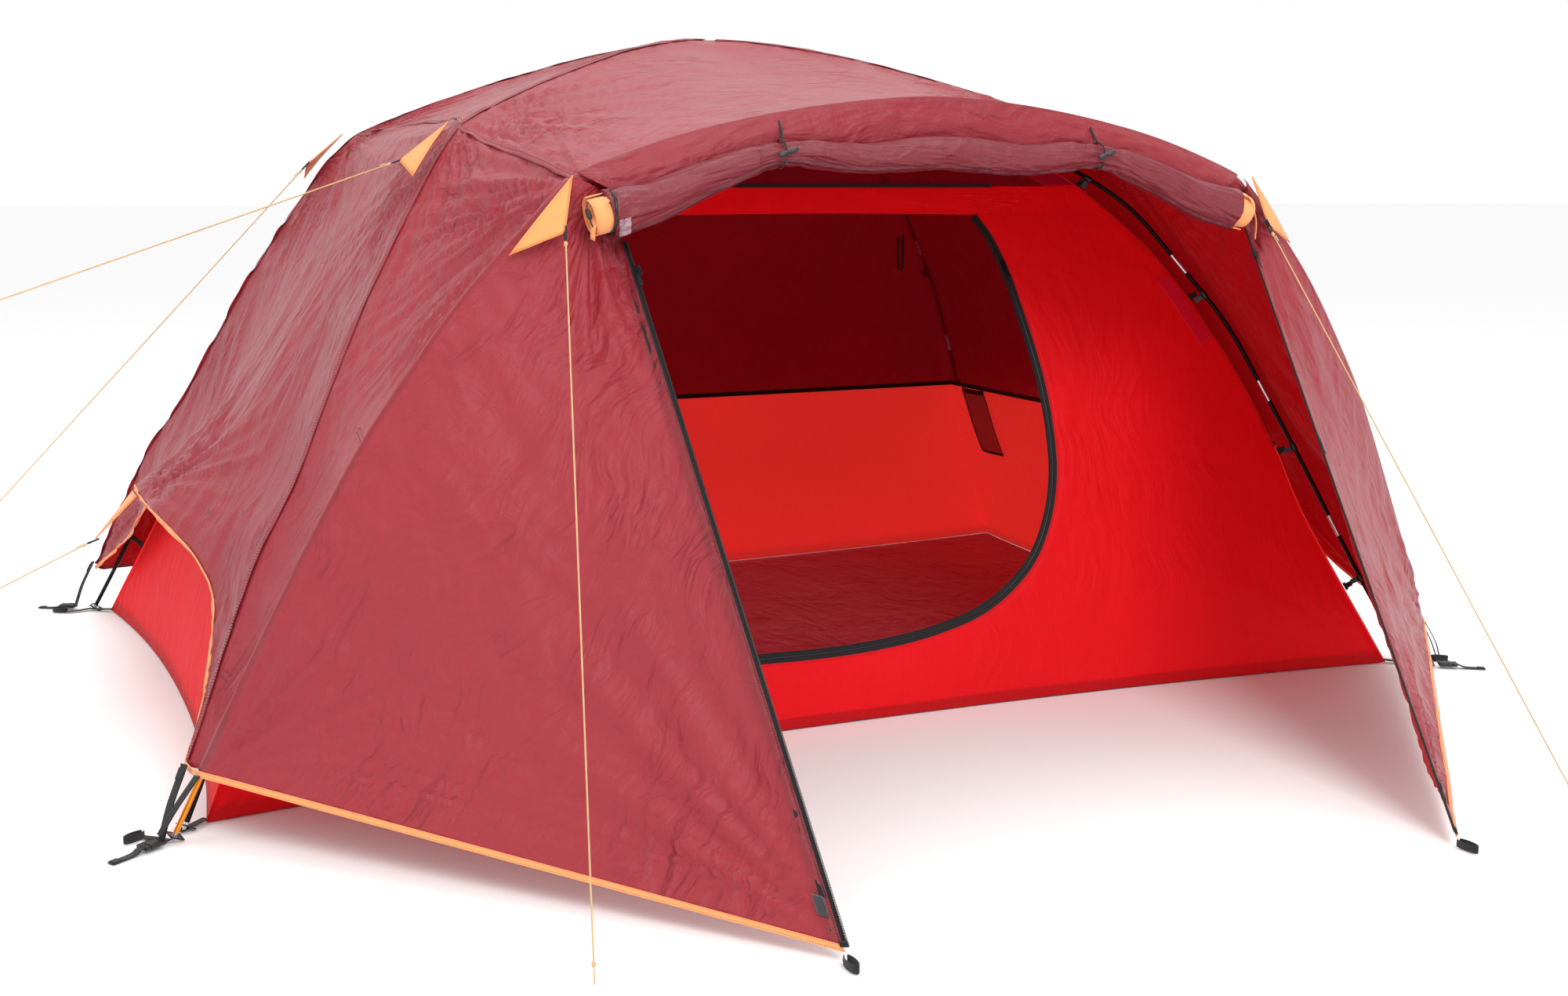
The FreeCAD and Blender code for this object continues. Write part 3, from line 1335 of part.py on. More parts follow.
# round bar that hangs in the slider's bridge
sk = sketch(pu, "pull_bar", "XZ_Plane")
circle(sk, "Dimensions.pull_thick / 2")
pad(pu, "pull_bar_pad", sk, "Dimensions.pull_width", True)
doc.recompute()

JOINTS = {}
for sx, side in ((-1, "left"), (1, "right")):
    st, ax, inwd, nrm, L = zipn[sx]
    zc = L - 60.0
    q = Rotation(ax, inwd, ax.cross(inwd), "XYZ")
    pos = st + ax * zc - inwd * 7.6
    ysgn = 1.0
    # the slider's slot opens towards the tape; its lug faces outwards
    top = ax.cross(inwd)
    if top.dot(nrm) < 0:
        q = Rotation(ax * -1.0, inwd, (ax * -1.0).cross(inwd), "XYZ")
    solids_node("fly_zip_slider_" + side, [placed(sl, pos, q)])
    zl = q.multVec(V(0, 0, 1))
    pivot = pos + zl * 4.9
    # pull hangs down the track from its lug
    q2 = rot_axes(ax, zl)
    solids_node("fly_zip_pull_" + side, [placed(pu, pivot, q2)])
    JOINTS["zip_" + side] = (pos, ax, pivot, inwd)

# inner door slider at the top of the doorway zip, with its pull
k0 = 2
za, zb = zout[1], zout[4]
ax = (zb - za) * (1.0 / (zb - za).Length)
c = (zout[2] + zin[2]) * 0.5
w = zin[2] - zout[2]
w = w * (1.0 / w.Length)
nrm = ax.cross(w)
if nrm.y > 0:
    nrm = nrm * -1.0
JOINTS["door"] = (c, ax, w, nrm)
dsl = Part.makeBox(16, 9, 2.0, V(-8, -4.5, 2.4))
lug = Part.makeBox(7.2, 2.0, 4.6, V(-3.6, -1.0, 4.4)).cut(Part.makeBox(4.8, 4.0, 3.4, V(-2.4, -2.0, 4.4)))
dsl = dsl.fuse(lug).removeSplitter()
dsl.Placement = Placement(c, Rotation(ax, nrm.cross(ax), nrm, "XYZ"))
solids_node("inner_door_zip_slider", [dsl])
piv = c + nrm * 6.1
solids_node("inner_door_zip_pull", [placed(pu, piv, rot_axes(ax * -1.0, nrm))])
JOINTS["door_pull"] = (piv, nrm.cross(ax))

# ---------------------------------------------------------------- door toggles
tog = doc.addObject("PartDesign::Body", "toggle_pattern")
sk = sketch(tog, "toggle_round", "YZ_Plane")
circle(sk, "Dimensions.toggle_dia / 2")
pad(tog, "toggle_pad", sk, "Dimensions.toggle_length", True)
sk = sketch(tog, "toggle_waist", "XZ_Plane")
rect(sk, "5", "3", 0, 4.0)
pocket(tog, "toggle_waist_cut", sk, "20", True)
# hole for the loop's cord, which the toggle turns about
sk = sketch(tog, "toggle_hole", "XY_Plane")
circle(sk, "1.3")
pocket(tog, "toggle_hole_cut", sk, "20", True)
doc.recompute()
tloops = []
for sx, side in ((-1, "left"), (1, "right")):
    c = V(sx * 291, ry - 29.5, 1020)
    solids_node("door_toggle_" + side, [placed(tog, c, rot_axes(V(1, 0, 0.35), V(0, -1, 0)))])
    JOINTS["toggle_" + side] = (c, V(0, -1, 0))
    # loop: from the sleeve's front, round the roll, to the toggle
    pts = [V(sx * 291, ry - 24.6, 1008), V(sx * 291, ry - 22, 998), V(sx * 291, ry - 8, 992), V(sx * 291, ry + 8, 992), V(sx * 291, ry + 22, 1000),
           V(sx * 291, ry + 27, 1018), V(sx * 291, ry + 24, 1036), V(sx * 291, ry + 8, 1046), V(sx * 291, ry - 10, 1046), V(sx * 291, ry - 22, 1038), V(sx * 291, ry - 24.6, 1030)]
    tloops.append(ribbon(pts, V(1, 0, 0), 9.0, 1.2))
solids_node("door_toggle_loops", tloops)

# ---------------------------------------------------------------- bindings and guy tabs
def edge_binding(path, hint, w=8.0, th=1.6):
    return strap(path, hint, w, th)


def offset_path(path, off):
    return [p + off for p in path]


binds = []
for sx in (-1, 1):
    rows = wing_rows(sx)
    hem = [p + V(0, 0, 0) for p in rows[0]]
    nxt = rows[1]
    dn = []
    for p, q in zip(hem, nxt):
        d = (p - q) * (1.0 / (p - q).Length)
        dn.append((p + d * 1.6, p + d * 9.4))
    binds.append(grid([[a, b] for a, b in dn], 1.6))
for sx in (-1, 1):
    pts = []
    for j in range(25):
        u = 0.02 + 0.96 * j / 24.0
        x, z = hem_end(u)
        y = (2 * u - 1) * HALF_D * 0.985
        pts.append(V(sx * (x + 1.0), y, z - 2.6))
    binds.append(grid([[p, p + V(sx * 1.0, 0, -9.0)] for p in pts], 1.6))
solids_node("fly_bindings_and_roll_ends", binds + caps)


def tri(a, b, c, th=1.2, n=6):
    rows = []
    for i in range(n + 1):
        w = i / float(n)
        l, r = lerp(a, c, w * 0.94), lerp(b, c, w * 0.94)
        rows.append([lerp(l, r, j / 3.0) for j in range(4)])
    return grid(rows, th)


guys = []
RING = {}
for sx in (-1, 1):
    # arch guy: triangle on the front of the sleeve
    tipp = V(sx * 645, -HALF_D - 184 + 0, 901)
    a = V(sx * 624, -HALF_D - 160, 985)
    b = V(sx * 722, -HALF_D - 151, 868)
    guys.append(tri(a, b, tipp))
    RING[("arch", sx)] = tipp
    for qy in (-1, 1):
        # elbow guy: triangle on the main pole's seam, at the elbow
        t = V(sx * 752, qy * 431, 1012)
        a = V(sx * 668, qy * 448, 1079)
        b = V(sx * 745, qy * 497, 985)
        guys.append(tri(a, b, t))
        RING[("elbow", sx, qy)] = t
    # side guy: triangle across the middle of the end panel's cut-out
    t = V(sx * 1253, 0, 311)
    guys.append(tri(V(sx * 1184, -34, 397), V(sx * 1184, 34, 397), t))
    RING[("side", sx)] = t
t = V(0, HALF_D * 0.985 + 60, 116)
guys.append(tri(V(-30, HALF_D * 0.985 + 6, 124), V(30, HALF_D * 0.985 + 6, 124), t))
RING[("back", 0)] = t
solids_node("fly_guy_tabs", guys)

rings = []
OUTD = {}
for key, t in RING.items():
    if key[0] == "arch":
        d = V(key[1] * 0.15, -0.55, -0.83)
    elif key[0] == "elbow":
        d = V(key[1] * 0.94, 0, -0.34)
        if key[1] < 0 and key[2] > 0:
            d = V(-0.6, 0.24, -0.66)
    elif key[0] == "side":
        d = V(key[1] * 0.94, 0, -0.34)
    else:
        d = V(0, 0.9, -0.35)
    d = d * (1.0 / d.Length)
    OUTD[key] = d
    tor = Part.makeTorus(5.2, 1.3)
    sd = d.cross(V(0, 1, 0)) if abs(d.y) < 0.7 else d.cross(V(1, 0, 0))
    tor.Placement = Placement(t + d * 7.8, Rotation(V(0, 0, 1), sd))
    rings.append(tor)
solids_node("guy_loops", rings)

# ---------------------------------------------------------------- guy lines
# each is one straight pull from its loop to a small end loop that a stake would hold
GUYS = {
    "guy_line_left_front_elbow": (("elbow", -1, -1), V(-1440, -431, 776)),
    "guy_line_left_back_elbow": (("elbow", -1, 1), V(-1440, 669, 245)),
    "guy_line_left_side": (("side", -1), V(-1452, 0, 221)),
    "guy_line_front_left": (("arch", -1), V(-817, -HALF_D - 771, 22)),
    "guy_line_front_right": (("arch", 1), V(817, -HALF_D - 771, 22)),
}
end_loops = []
for label, (key, end) in GUYS.items():
    t = RING[key]
    start = t + OUTD[key] * 14.6
    d = end - start
    L = d.Length
    d = d * (1.0 / L)
    cyl = doc.addObject("Part::Cylinder", label + "_run")
    cyl.Radius = 1.0
    cyl.setExpression("Radius", "Dimensions.guy_cord_dia / 2")
    cyl.Height = L
    cyl.Placement = Placement(start, Rotation(V(0, 0, 1), d))
    node(cyl, label)
    tor = Part.makeTorus(9.0, 1.2)
    sd = d.cross(V(0, 0, 1))
    tor.Placement = Placement(end + d * 10.3, Rotation(V(0, 0, 1), sd))
    end_loops.append(tor)
    print(label, "length", round(L, 1), "radius none, one straight run")
solids_node("guy_line_end_loops", end_loops)

doc.recompute()

# ---------------------------------------------------------------- checks and export
for o in doc.Objects:
    for st in o.State:
        if st in ("Invalid", "Error"):
            raise RuntimeError("%s is %s" % (o.Name, st))
os.makedirs("parts", exist_ok=True)
for old in os.listdir("parts"):
    if old.endswith(".step"):
        os.remove(os.path.join("parts", old))
assert len(NODES) <= 60, len(NODES)
total = 0.0
for label, o in NODES:
    s = o.Shape
    if s.isNull() or not s.isValid():
        raise RuntimeError("bad shape: " + label)
    for k, sd in enumerate(s.Solids):
        if sd.Volume <= 0:
            raise RuntimeError("inside out: %s %d" % (label, k))
    total += s.Volume
    s.exportStep(os.path.join("parts", label + ".step"))
bb = FreeCAD.BoundBox()
for label, o in NODES:
    bb.add(o.Shape.BoundBox)
print(len(NODES), "nodes", "box", [round(v, 1) for v in (bb.XMin, bb.YMin, bb.ZMin, bb.XMax, bb.YMax, bb.ZMax)], "volume cm3", round(total / 1000, 1))
# reference points: joint positions and axes, stake centres and guy line ends
REF = {"joint": {}, "plug": {}, "pullaxis": {}, "stake": [], "guyends": {}, "guydirs": {}}
for k, v in JOINTS.items():
    REF["joint"][k] = [[float(c) for c in u] for u in v]
for n, (s, axis, c) in PLUGS.items():
    REF["plug"][n] = [[float(q) for q in axis], [float(q) for q in c]]
for sx, side in ((-1, "left"), (1, "right")):
    st, ax, inwd, nrm, L = zipn[sx]
    # turning about this axis lifts the pull's free end away from the cloth
    REF["pullaxis"][side] = [float(c) for c in (ax * -1.0).cross(nrm)]
c, ax, w, nrm = JOINTS["door"]
REF["pullaxis"]["door"] = [float(q) for q in ax.cross(nrm)]
REF["stake"] = [[p.x / 1000.0, p.y / 1000.0] for p in STAKES]
for label, (key, end) in GUYS.items():
    start = RING[key] + OUTD[key] * 14.6
    d = (end - start) * (1.0 / (end - start).Length)
    e = end + d * 10.3
    REF["guyends"][label] = [e.x, e.y, e.z]
    REF["guydirs"][label] = [d.x, d.y, d.z]
print("REF", REF)
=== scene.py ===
import bpy, bmesh, json, math
import numpy as np
from mathutils import Vector, Matrix
from mathutils.bvhtree import BVHTree
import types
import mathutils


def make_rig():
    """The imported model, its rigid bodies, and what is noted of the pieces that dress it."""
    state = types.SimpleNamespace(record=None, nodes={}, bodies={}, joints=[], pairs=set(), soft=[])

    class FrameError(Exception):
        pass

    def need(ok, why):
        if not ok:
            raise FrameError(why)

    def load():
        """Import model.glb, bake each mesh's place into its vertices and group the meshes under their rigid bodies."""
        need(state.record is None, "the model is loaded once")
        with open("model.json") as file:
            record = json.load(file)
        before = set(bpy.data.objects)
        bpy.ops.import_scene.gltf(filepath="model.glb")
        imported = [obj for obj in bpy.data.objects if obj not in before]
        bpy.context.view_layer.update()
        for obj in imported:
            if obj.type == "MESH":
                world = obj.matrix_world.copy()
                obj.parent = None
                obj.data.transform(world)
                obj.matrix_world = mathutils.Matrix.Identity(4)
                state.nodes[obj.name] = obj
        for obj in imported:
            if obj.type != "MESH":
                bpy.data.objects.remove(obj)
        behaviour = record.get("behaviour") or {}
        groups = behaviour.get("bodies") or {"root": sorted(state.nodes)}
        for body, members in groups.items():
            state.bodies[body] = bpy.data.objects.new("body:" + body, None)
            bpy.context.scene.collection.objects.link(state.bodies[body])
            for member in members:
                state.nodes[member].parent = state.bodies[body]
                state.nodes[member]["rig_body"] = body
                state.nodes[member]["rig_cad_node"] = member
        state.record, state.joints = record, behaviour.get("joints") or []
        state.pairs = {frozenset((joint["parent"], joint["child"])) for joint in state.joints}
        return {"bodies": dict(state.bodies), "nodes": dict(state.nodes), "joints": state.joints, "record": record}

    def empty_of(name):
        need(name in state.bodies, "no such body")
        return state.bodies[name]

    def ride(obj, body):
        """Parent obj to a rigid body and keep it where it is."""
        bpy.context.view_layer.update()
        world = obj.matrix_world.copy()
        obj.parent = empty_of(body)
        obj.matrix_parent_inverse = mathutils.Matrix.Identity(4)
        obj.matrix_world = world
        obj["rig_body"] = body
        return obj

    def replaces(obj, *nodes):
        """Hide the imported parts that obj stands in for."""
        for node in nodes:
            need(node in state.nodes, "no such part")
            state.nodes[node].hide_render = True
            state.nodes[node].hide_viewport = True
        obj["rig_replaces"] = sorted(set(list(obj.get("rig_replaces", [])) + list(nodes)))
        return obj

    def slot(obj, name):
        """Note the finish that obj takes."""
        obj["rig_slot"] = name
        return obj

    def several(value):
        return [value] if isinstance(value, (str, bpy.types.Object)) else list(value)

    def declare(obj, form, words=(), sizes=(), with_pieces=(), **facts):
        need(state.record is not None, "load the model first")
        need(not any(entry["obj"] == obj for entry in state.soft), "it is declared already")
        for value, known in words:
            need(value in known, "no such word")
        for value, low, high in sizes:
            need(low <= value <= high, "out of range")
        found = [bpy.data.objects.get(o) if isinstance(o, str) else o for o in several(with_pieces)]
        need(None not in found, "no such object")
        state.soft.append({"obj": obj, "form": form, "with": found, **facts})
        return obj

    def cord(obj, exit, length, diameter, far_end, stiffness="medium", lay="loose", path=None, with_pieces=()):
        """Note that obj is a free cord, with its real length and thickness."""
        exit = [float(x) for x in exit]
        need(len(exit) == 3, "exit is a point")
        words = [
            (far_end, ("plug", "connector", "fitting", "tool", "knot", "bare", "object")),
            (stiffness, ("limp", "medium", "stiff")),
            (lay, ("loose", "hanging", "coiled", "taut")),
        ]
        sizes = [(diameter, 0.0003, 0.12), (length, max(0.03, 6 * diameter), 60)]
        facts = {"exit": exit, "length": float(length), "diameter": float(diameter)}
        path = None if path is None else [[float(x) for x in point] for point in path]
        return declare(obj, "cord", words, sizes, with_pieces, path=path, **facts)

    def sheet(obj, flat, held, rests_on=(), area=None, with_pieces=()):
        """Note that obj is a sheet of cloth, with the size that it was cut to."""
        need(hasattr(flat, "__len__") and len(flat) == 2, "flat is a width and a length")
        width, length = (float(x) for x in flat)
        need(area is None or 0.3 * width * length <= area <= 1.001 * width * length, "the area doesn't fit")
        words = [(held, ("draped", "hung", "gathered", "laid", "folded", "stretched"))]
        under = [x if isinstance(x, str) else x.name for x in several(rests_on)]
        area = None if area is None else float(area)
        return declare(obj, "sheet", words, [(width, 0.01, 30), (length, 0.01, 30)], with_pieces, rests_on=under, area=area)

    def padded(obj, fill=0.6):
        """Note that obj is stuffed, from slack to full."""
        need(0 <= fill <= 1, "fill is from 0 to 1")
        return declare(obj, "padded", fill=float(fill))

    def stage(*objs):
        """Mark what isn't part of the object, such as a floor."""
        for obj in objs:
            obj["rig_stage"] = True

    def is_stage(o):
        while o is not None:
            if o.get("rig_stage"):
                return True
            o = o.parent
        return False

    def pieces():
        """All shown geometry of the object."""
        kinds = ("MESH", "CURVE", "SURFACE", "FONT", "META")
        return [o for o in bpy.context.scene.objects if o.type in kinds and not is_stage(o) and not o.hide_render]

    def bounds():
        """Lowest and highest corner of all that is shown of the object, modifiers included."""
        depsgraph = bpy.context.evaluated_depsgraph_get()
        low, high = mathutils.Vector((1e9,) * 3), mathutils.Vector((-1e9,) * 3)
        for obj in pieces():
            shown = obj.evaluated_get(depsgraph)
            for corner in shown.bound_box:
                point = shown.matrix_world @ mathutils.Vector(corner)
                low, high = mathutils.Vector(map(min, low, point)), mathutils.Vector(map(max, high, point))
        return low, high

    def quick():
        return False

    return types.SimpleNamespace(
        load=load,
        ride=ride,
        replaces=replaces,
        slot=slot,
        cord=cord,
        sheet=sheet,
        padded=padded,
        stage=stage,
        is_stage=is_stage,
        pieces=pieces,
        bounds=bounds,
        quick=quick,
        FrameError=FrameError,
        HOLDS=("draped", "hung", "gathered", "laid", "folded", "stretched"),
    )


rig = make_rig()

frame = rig.load()
CAD_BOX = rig.bounds()
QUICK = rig.quick()

# All tables below are in millimetres, in the frame of the CAD model; meshes
# are made in metres.
MM = 0.001
HALF_W, HALF_D = 1220.0, 831.0
DIAG = math.hypot(HALF_W, HALF_D)
LEAN = math.atan(0.1075)
BODY = "tent"


def A(*c):
    return np.array(c, float)


def unit(v):
    v = np.asarray(v, float)
    return v / np.maximum(np.linalg.norm(v, axis=-1, keepdims=True), 1e-12)


def sstep(a, b, x):
    t = np.clip((x - a) / (b - a), 0, 1)
    return t * t * (3 - 2 * t)


class Curve1:
    """Smooth curve through a table of (x, value) that never overshoots."""

    def __init__(self, tab):
        self.x, self.y = np.array(tab, float).T
        h = np.diff(self.x)
        d = np.diff(self.y) / h
        m = np.zeros(len(self.x))
        m[1:-1] = np.where(d[:-1] * d[1:] > 0, 2 * d[:-1] * d[1:] / (d[:-1] + d[1:] + 1e-12), 0)
        m[0], m[-1] = d[0], d[-1]
        self.h, self.m = h, m

    def __call__(self, q):
        q = np.clip(np.asarray(q, float), self.x[0], self.x[-1])
        i = np.clip(np.searchsorted(self.x, q, side="right") - 1, 0, len(self.x) - 2)
        t = (q - self.x[i]) / self.h[i]
        y0, y1, m0, m1 = self.y[i], self.y[i + 1], self.m[i] * self.h[i], self.m[i + 1] * self.h[i]
        return (2 * t**3 - 3 * t**2 + 1) * y0 + (t**3 - 2 * t**2 + t) * m0 + (-2 * t**3 + 3 * t**2) * y1 + (t**3 - t**2) * m1


def arclen(P):
    return np.concatenate([[0], np.cumsum(np.linalg.norm(np.diff(P, axis=0), axis=1))])


def resample(P, n=None, step=None):
    P = np.asarray(P, float)
    L = arclen(P)
    if n is None:
        n = max(2, int(round(L[-1] / step)) + 1)
    at = np.linspace(0, L[-1], n)
    return np.stack([np.interp(at, L, P[:, k]) for k in range(3)], 1)


def smooth_path(pts, n=None, step=None):
    """Even points on a Catmull-Rom curve through pts."""
    P = np.asarray(pts, float)
    E = np.vstack([2 * P[0] - P[1], P, 2 * P[-1] - P[-2]])
    out = []
    q = np.arange(0, 1, 1 / 16.0)[:, None]
    for i in range(1, len(E) - 2):
        p0, p1, p2, p3 = E[i - 1], E[i], E[i + 1], E[i + 2]
        out.append(0.5 * (2 * p1 + (p2 - p0) * q + (2 * p0 - 5 * p1 + 4 * p2 - p3) * q**2 + (3 * p1 - p0 - 3 * p2 + p3) * q**3))
    out.append(P[-1][None])
    return resample(np.vstack(out), n, step)


def at_len(P, frac):
    """Points at fractions of a polyline's length."""
    L = arclen(P)
    q = np.asarray(frac, float) * L[-1]
    return np.stack([np.interp(q, L, P[:, k]) for k in range(3)], -1)


# ------------------------------------------------------------------ noise
def _grad(ix, iy, seed):
    h = (ix * 374761393 + iy * 668265263 + seed * 974711) & 0xFFFFFFFF
    h = ((h ^ (h >> 13)) * 1274126177) & 0xFFFFFFFF
    h = h ^ (h >> 16)
    a = (h & 0xFFFF) / 65536.0 * 2 * math.pi
    return np.cos(a), np.sin(a)


def noise2(x, y, seed=1):
    """Gradient noise, about -0.7 to 0.7, the same on each run."""
    x, y = np.broadcast_arrays(np.asarray(x, float), np.asarray(y, float))
    xi, yi = np.floor(x).astype(np.int64), np.floor(y).astype(np.int64)
    xf, yf = x - xi, y - yi
    u, v = xf**3 * (xf * (xf * 6 - 15) + 10), yf**3 * (yf * (yf * 6 - 15) + 10)
    out = 0
    for dx in (0, 1):
        for dy in (0, 1):
            gx, gy = _grad(xi + dx, yi + dy, seed)
            w = (u if dx else 1 - u) * (v if dy else 1 - v)
            out = out + w * (gx * (xf - dx) + gy * (yf - dy))
    return out


def fbm(x, y, octaves=3, seed=1, gain=0.5):
    out, a, f = 0, 1.0, 1.0
    for k in range(octaves):
        out = out + a * noise2(x * f, y * f, seed + 17 * k)
        a *= gain
        f *= 2.03
    return out


def ridge(x, y, octaves=2, seed=1):
    """Creases: sharp lines where the noise crosses zero."""
    out, a, f = 0, 1.0, 1.0
    for k in range(octaves):
        out = out + a * (0.35 - np.abs(noise2(x * f, y * f, seed + 31 * k)) * 1.9)
        a *= 0.5
        f *= 2.1
    return out


# ------------------------------------------------------------------ meshes
def normals_of(P, close_v=False):
    """Unit normals of a grid of points."""
    du = np.gradient(P, axis=0)
    if close_v:
        dv = (np.roll(P, -1, 1) - np.roll(P, 1, 1)) / 2
    else:
        dv = np.gradient(P, axis=1)
    return unit(np.cross(du, dv))


def grid_faces(n, m, close_v=False, base=0):
    i, j = np.meshgrid(np.arange(n - 1), np.arange(m if close_v else m - 1), indexing="ij")
    jn = (j + 1) % m
    return (np.stack([i * m + j, i * m + jn, (i + 1) * m + jn, (i + 1) * m + j], -1) + base).reshape(-1, 4)


def make_object(name, verts, faces, mats, uv=None, smooth=True, mat_index=None, attrs=None):
    """A mesh object in metres from points in millimetres."""
    me = bpy.data.meshes.new(name)
    me.from_pydata([tuple(p) for p in (np.asarray(verts, float) * MM).tolist()], [], [tuple(int(k) for k in f) for f in faces])
    for m in (mats if isinstance(mats, (list, tuple)) else [mats]):
        me.materials.append(m)
    if smooth:
        me.polygons.foreach_set("use_smooth", np.ones(len(me.polygons), bool))
    if mat_index is not None:
        me.polygons.foreach_set("material_index", np.asarray(mat_index, np.int32))
    if uv is not None:
        layer = me.uv_layers.new(name="UVMap")
        vi = np.zeros(len(me.loops), np.int32)
        me.loops.foreach_get("vertex_index", vi)
        layer.data.foreach_set("uv", np.asarray(uv, np.float32)[vi].ravel())
    for key, val in (attrs or {}).items():
        a = me.attributes.new(key, "FLOAT", "POINT")
        a.data.foreach_set("value", np.asarray(val, np.float32).ravel())
    me.validate(verbose=False)
    ob = bpy.data.objects.new(name, me)
    bpy.context.scene.collection.objects.link(ob)
    return ob


def piece(ob, slot=None, replaces=(), body=BODY):
    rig.ride(ob, body)
    if slot:
        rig.slot(ob, slot)
    if replaces:
        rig.replaces(ob, *replaces)
    return ob


def shell(ob, thick, inner=1, offset=-1.0):
    """Gives a sheet its real two faces, the inner one with its own material."""
    m = ob.modifiers.new("thickness", "SOLIDIFY")
    m.thickness = thick * MM
    m.offset = offset
    m.use_even_offset = False
    m.material_offset = inner
    m.material_offset_rim = 0
    return ob


def grid_uv(P):
    """Arc length coordinates of a grid, in metres."""
    du = np.concatenate([np.zeros((1, P.shape[1])), np.cumsum(np.linalg.norm(np.diff(P, axis=0), axis=2), 0)])
    dv = np.concatenate([np.zeros((P.shape[0], 1)), np.cumsum(np.linalg.norm(np.diff(P, axis=1), axis=2), 1)], 1)
    return np.stack([dv, du], -1) * MM


def face_out(P, centre):
    """Flips a grid so that its normals look away from centre."""
    n = normals_of(P)
    if ((P - np.asarray(centre, float)) * n).sum() < 0:
        return P[:, ::-1]
    return P


def frames_along(path, hint):
    t = unit(np.gradient(path, axis=0))
    hint = np.broadcast_to(np.asarray(hint, float), path.shape)
    s = unit(np.cross(t, hint))
    return t, s, np.cross(s, t)


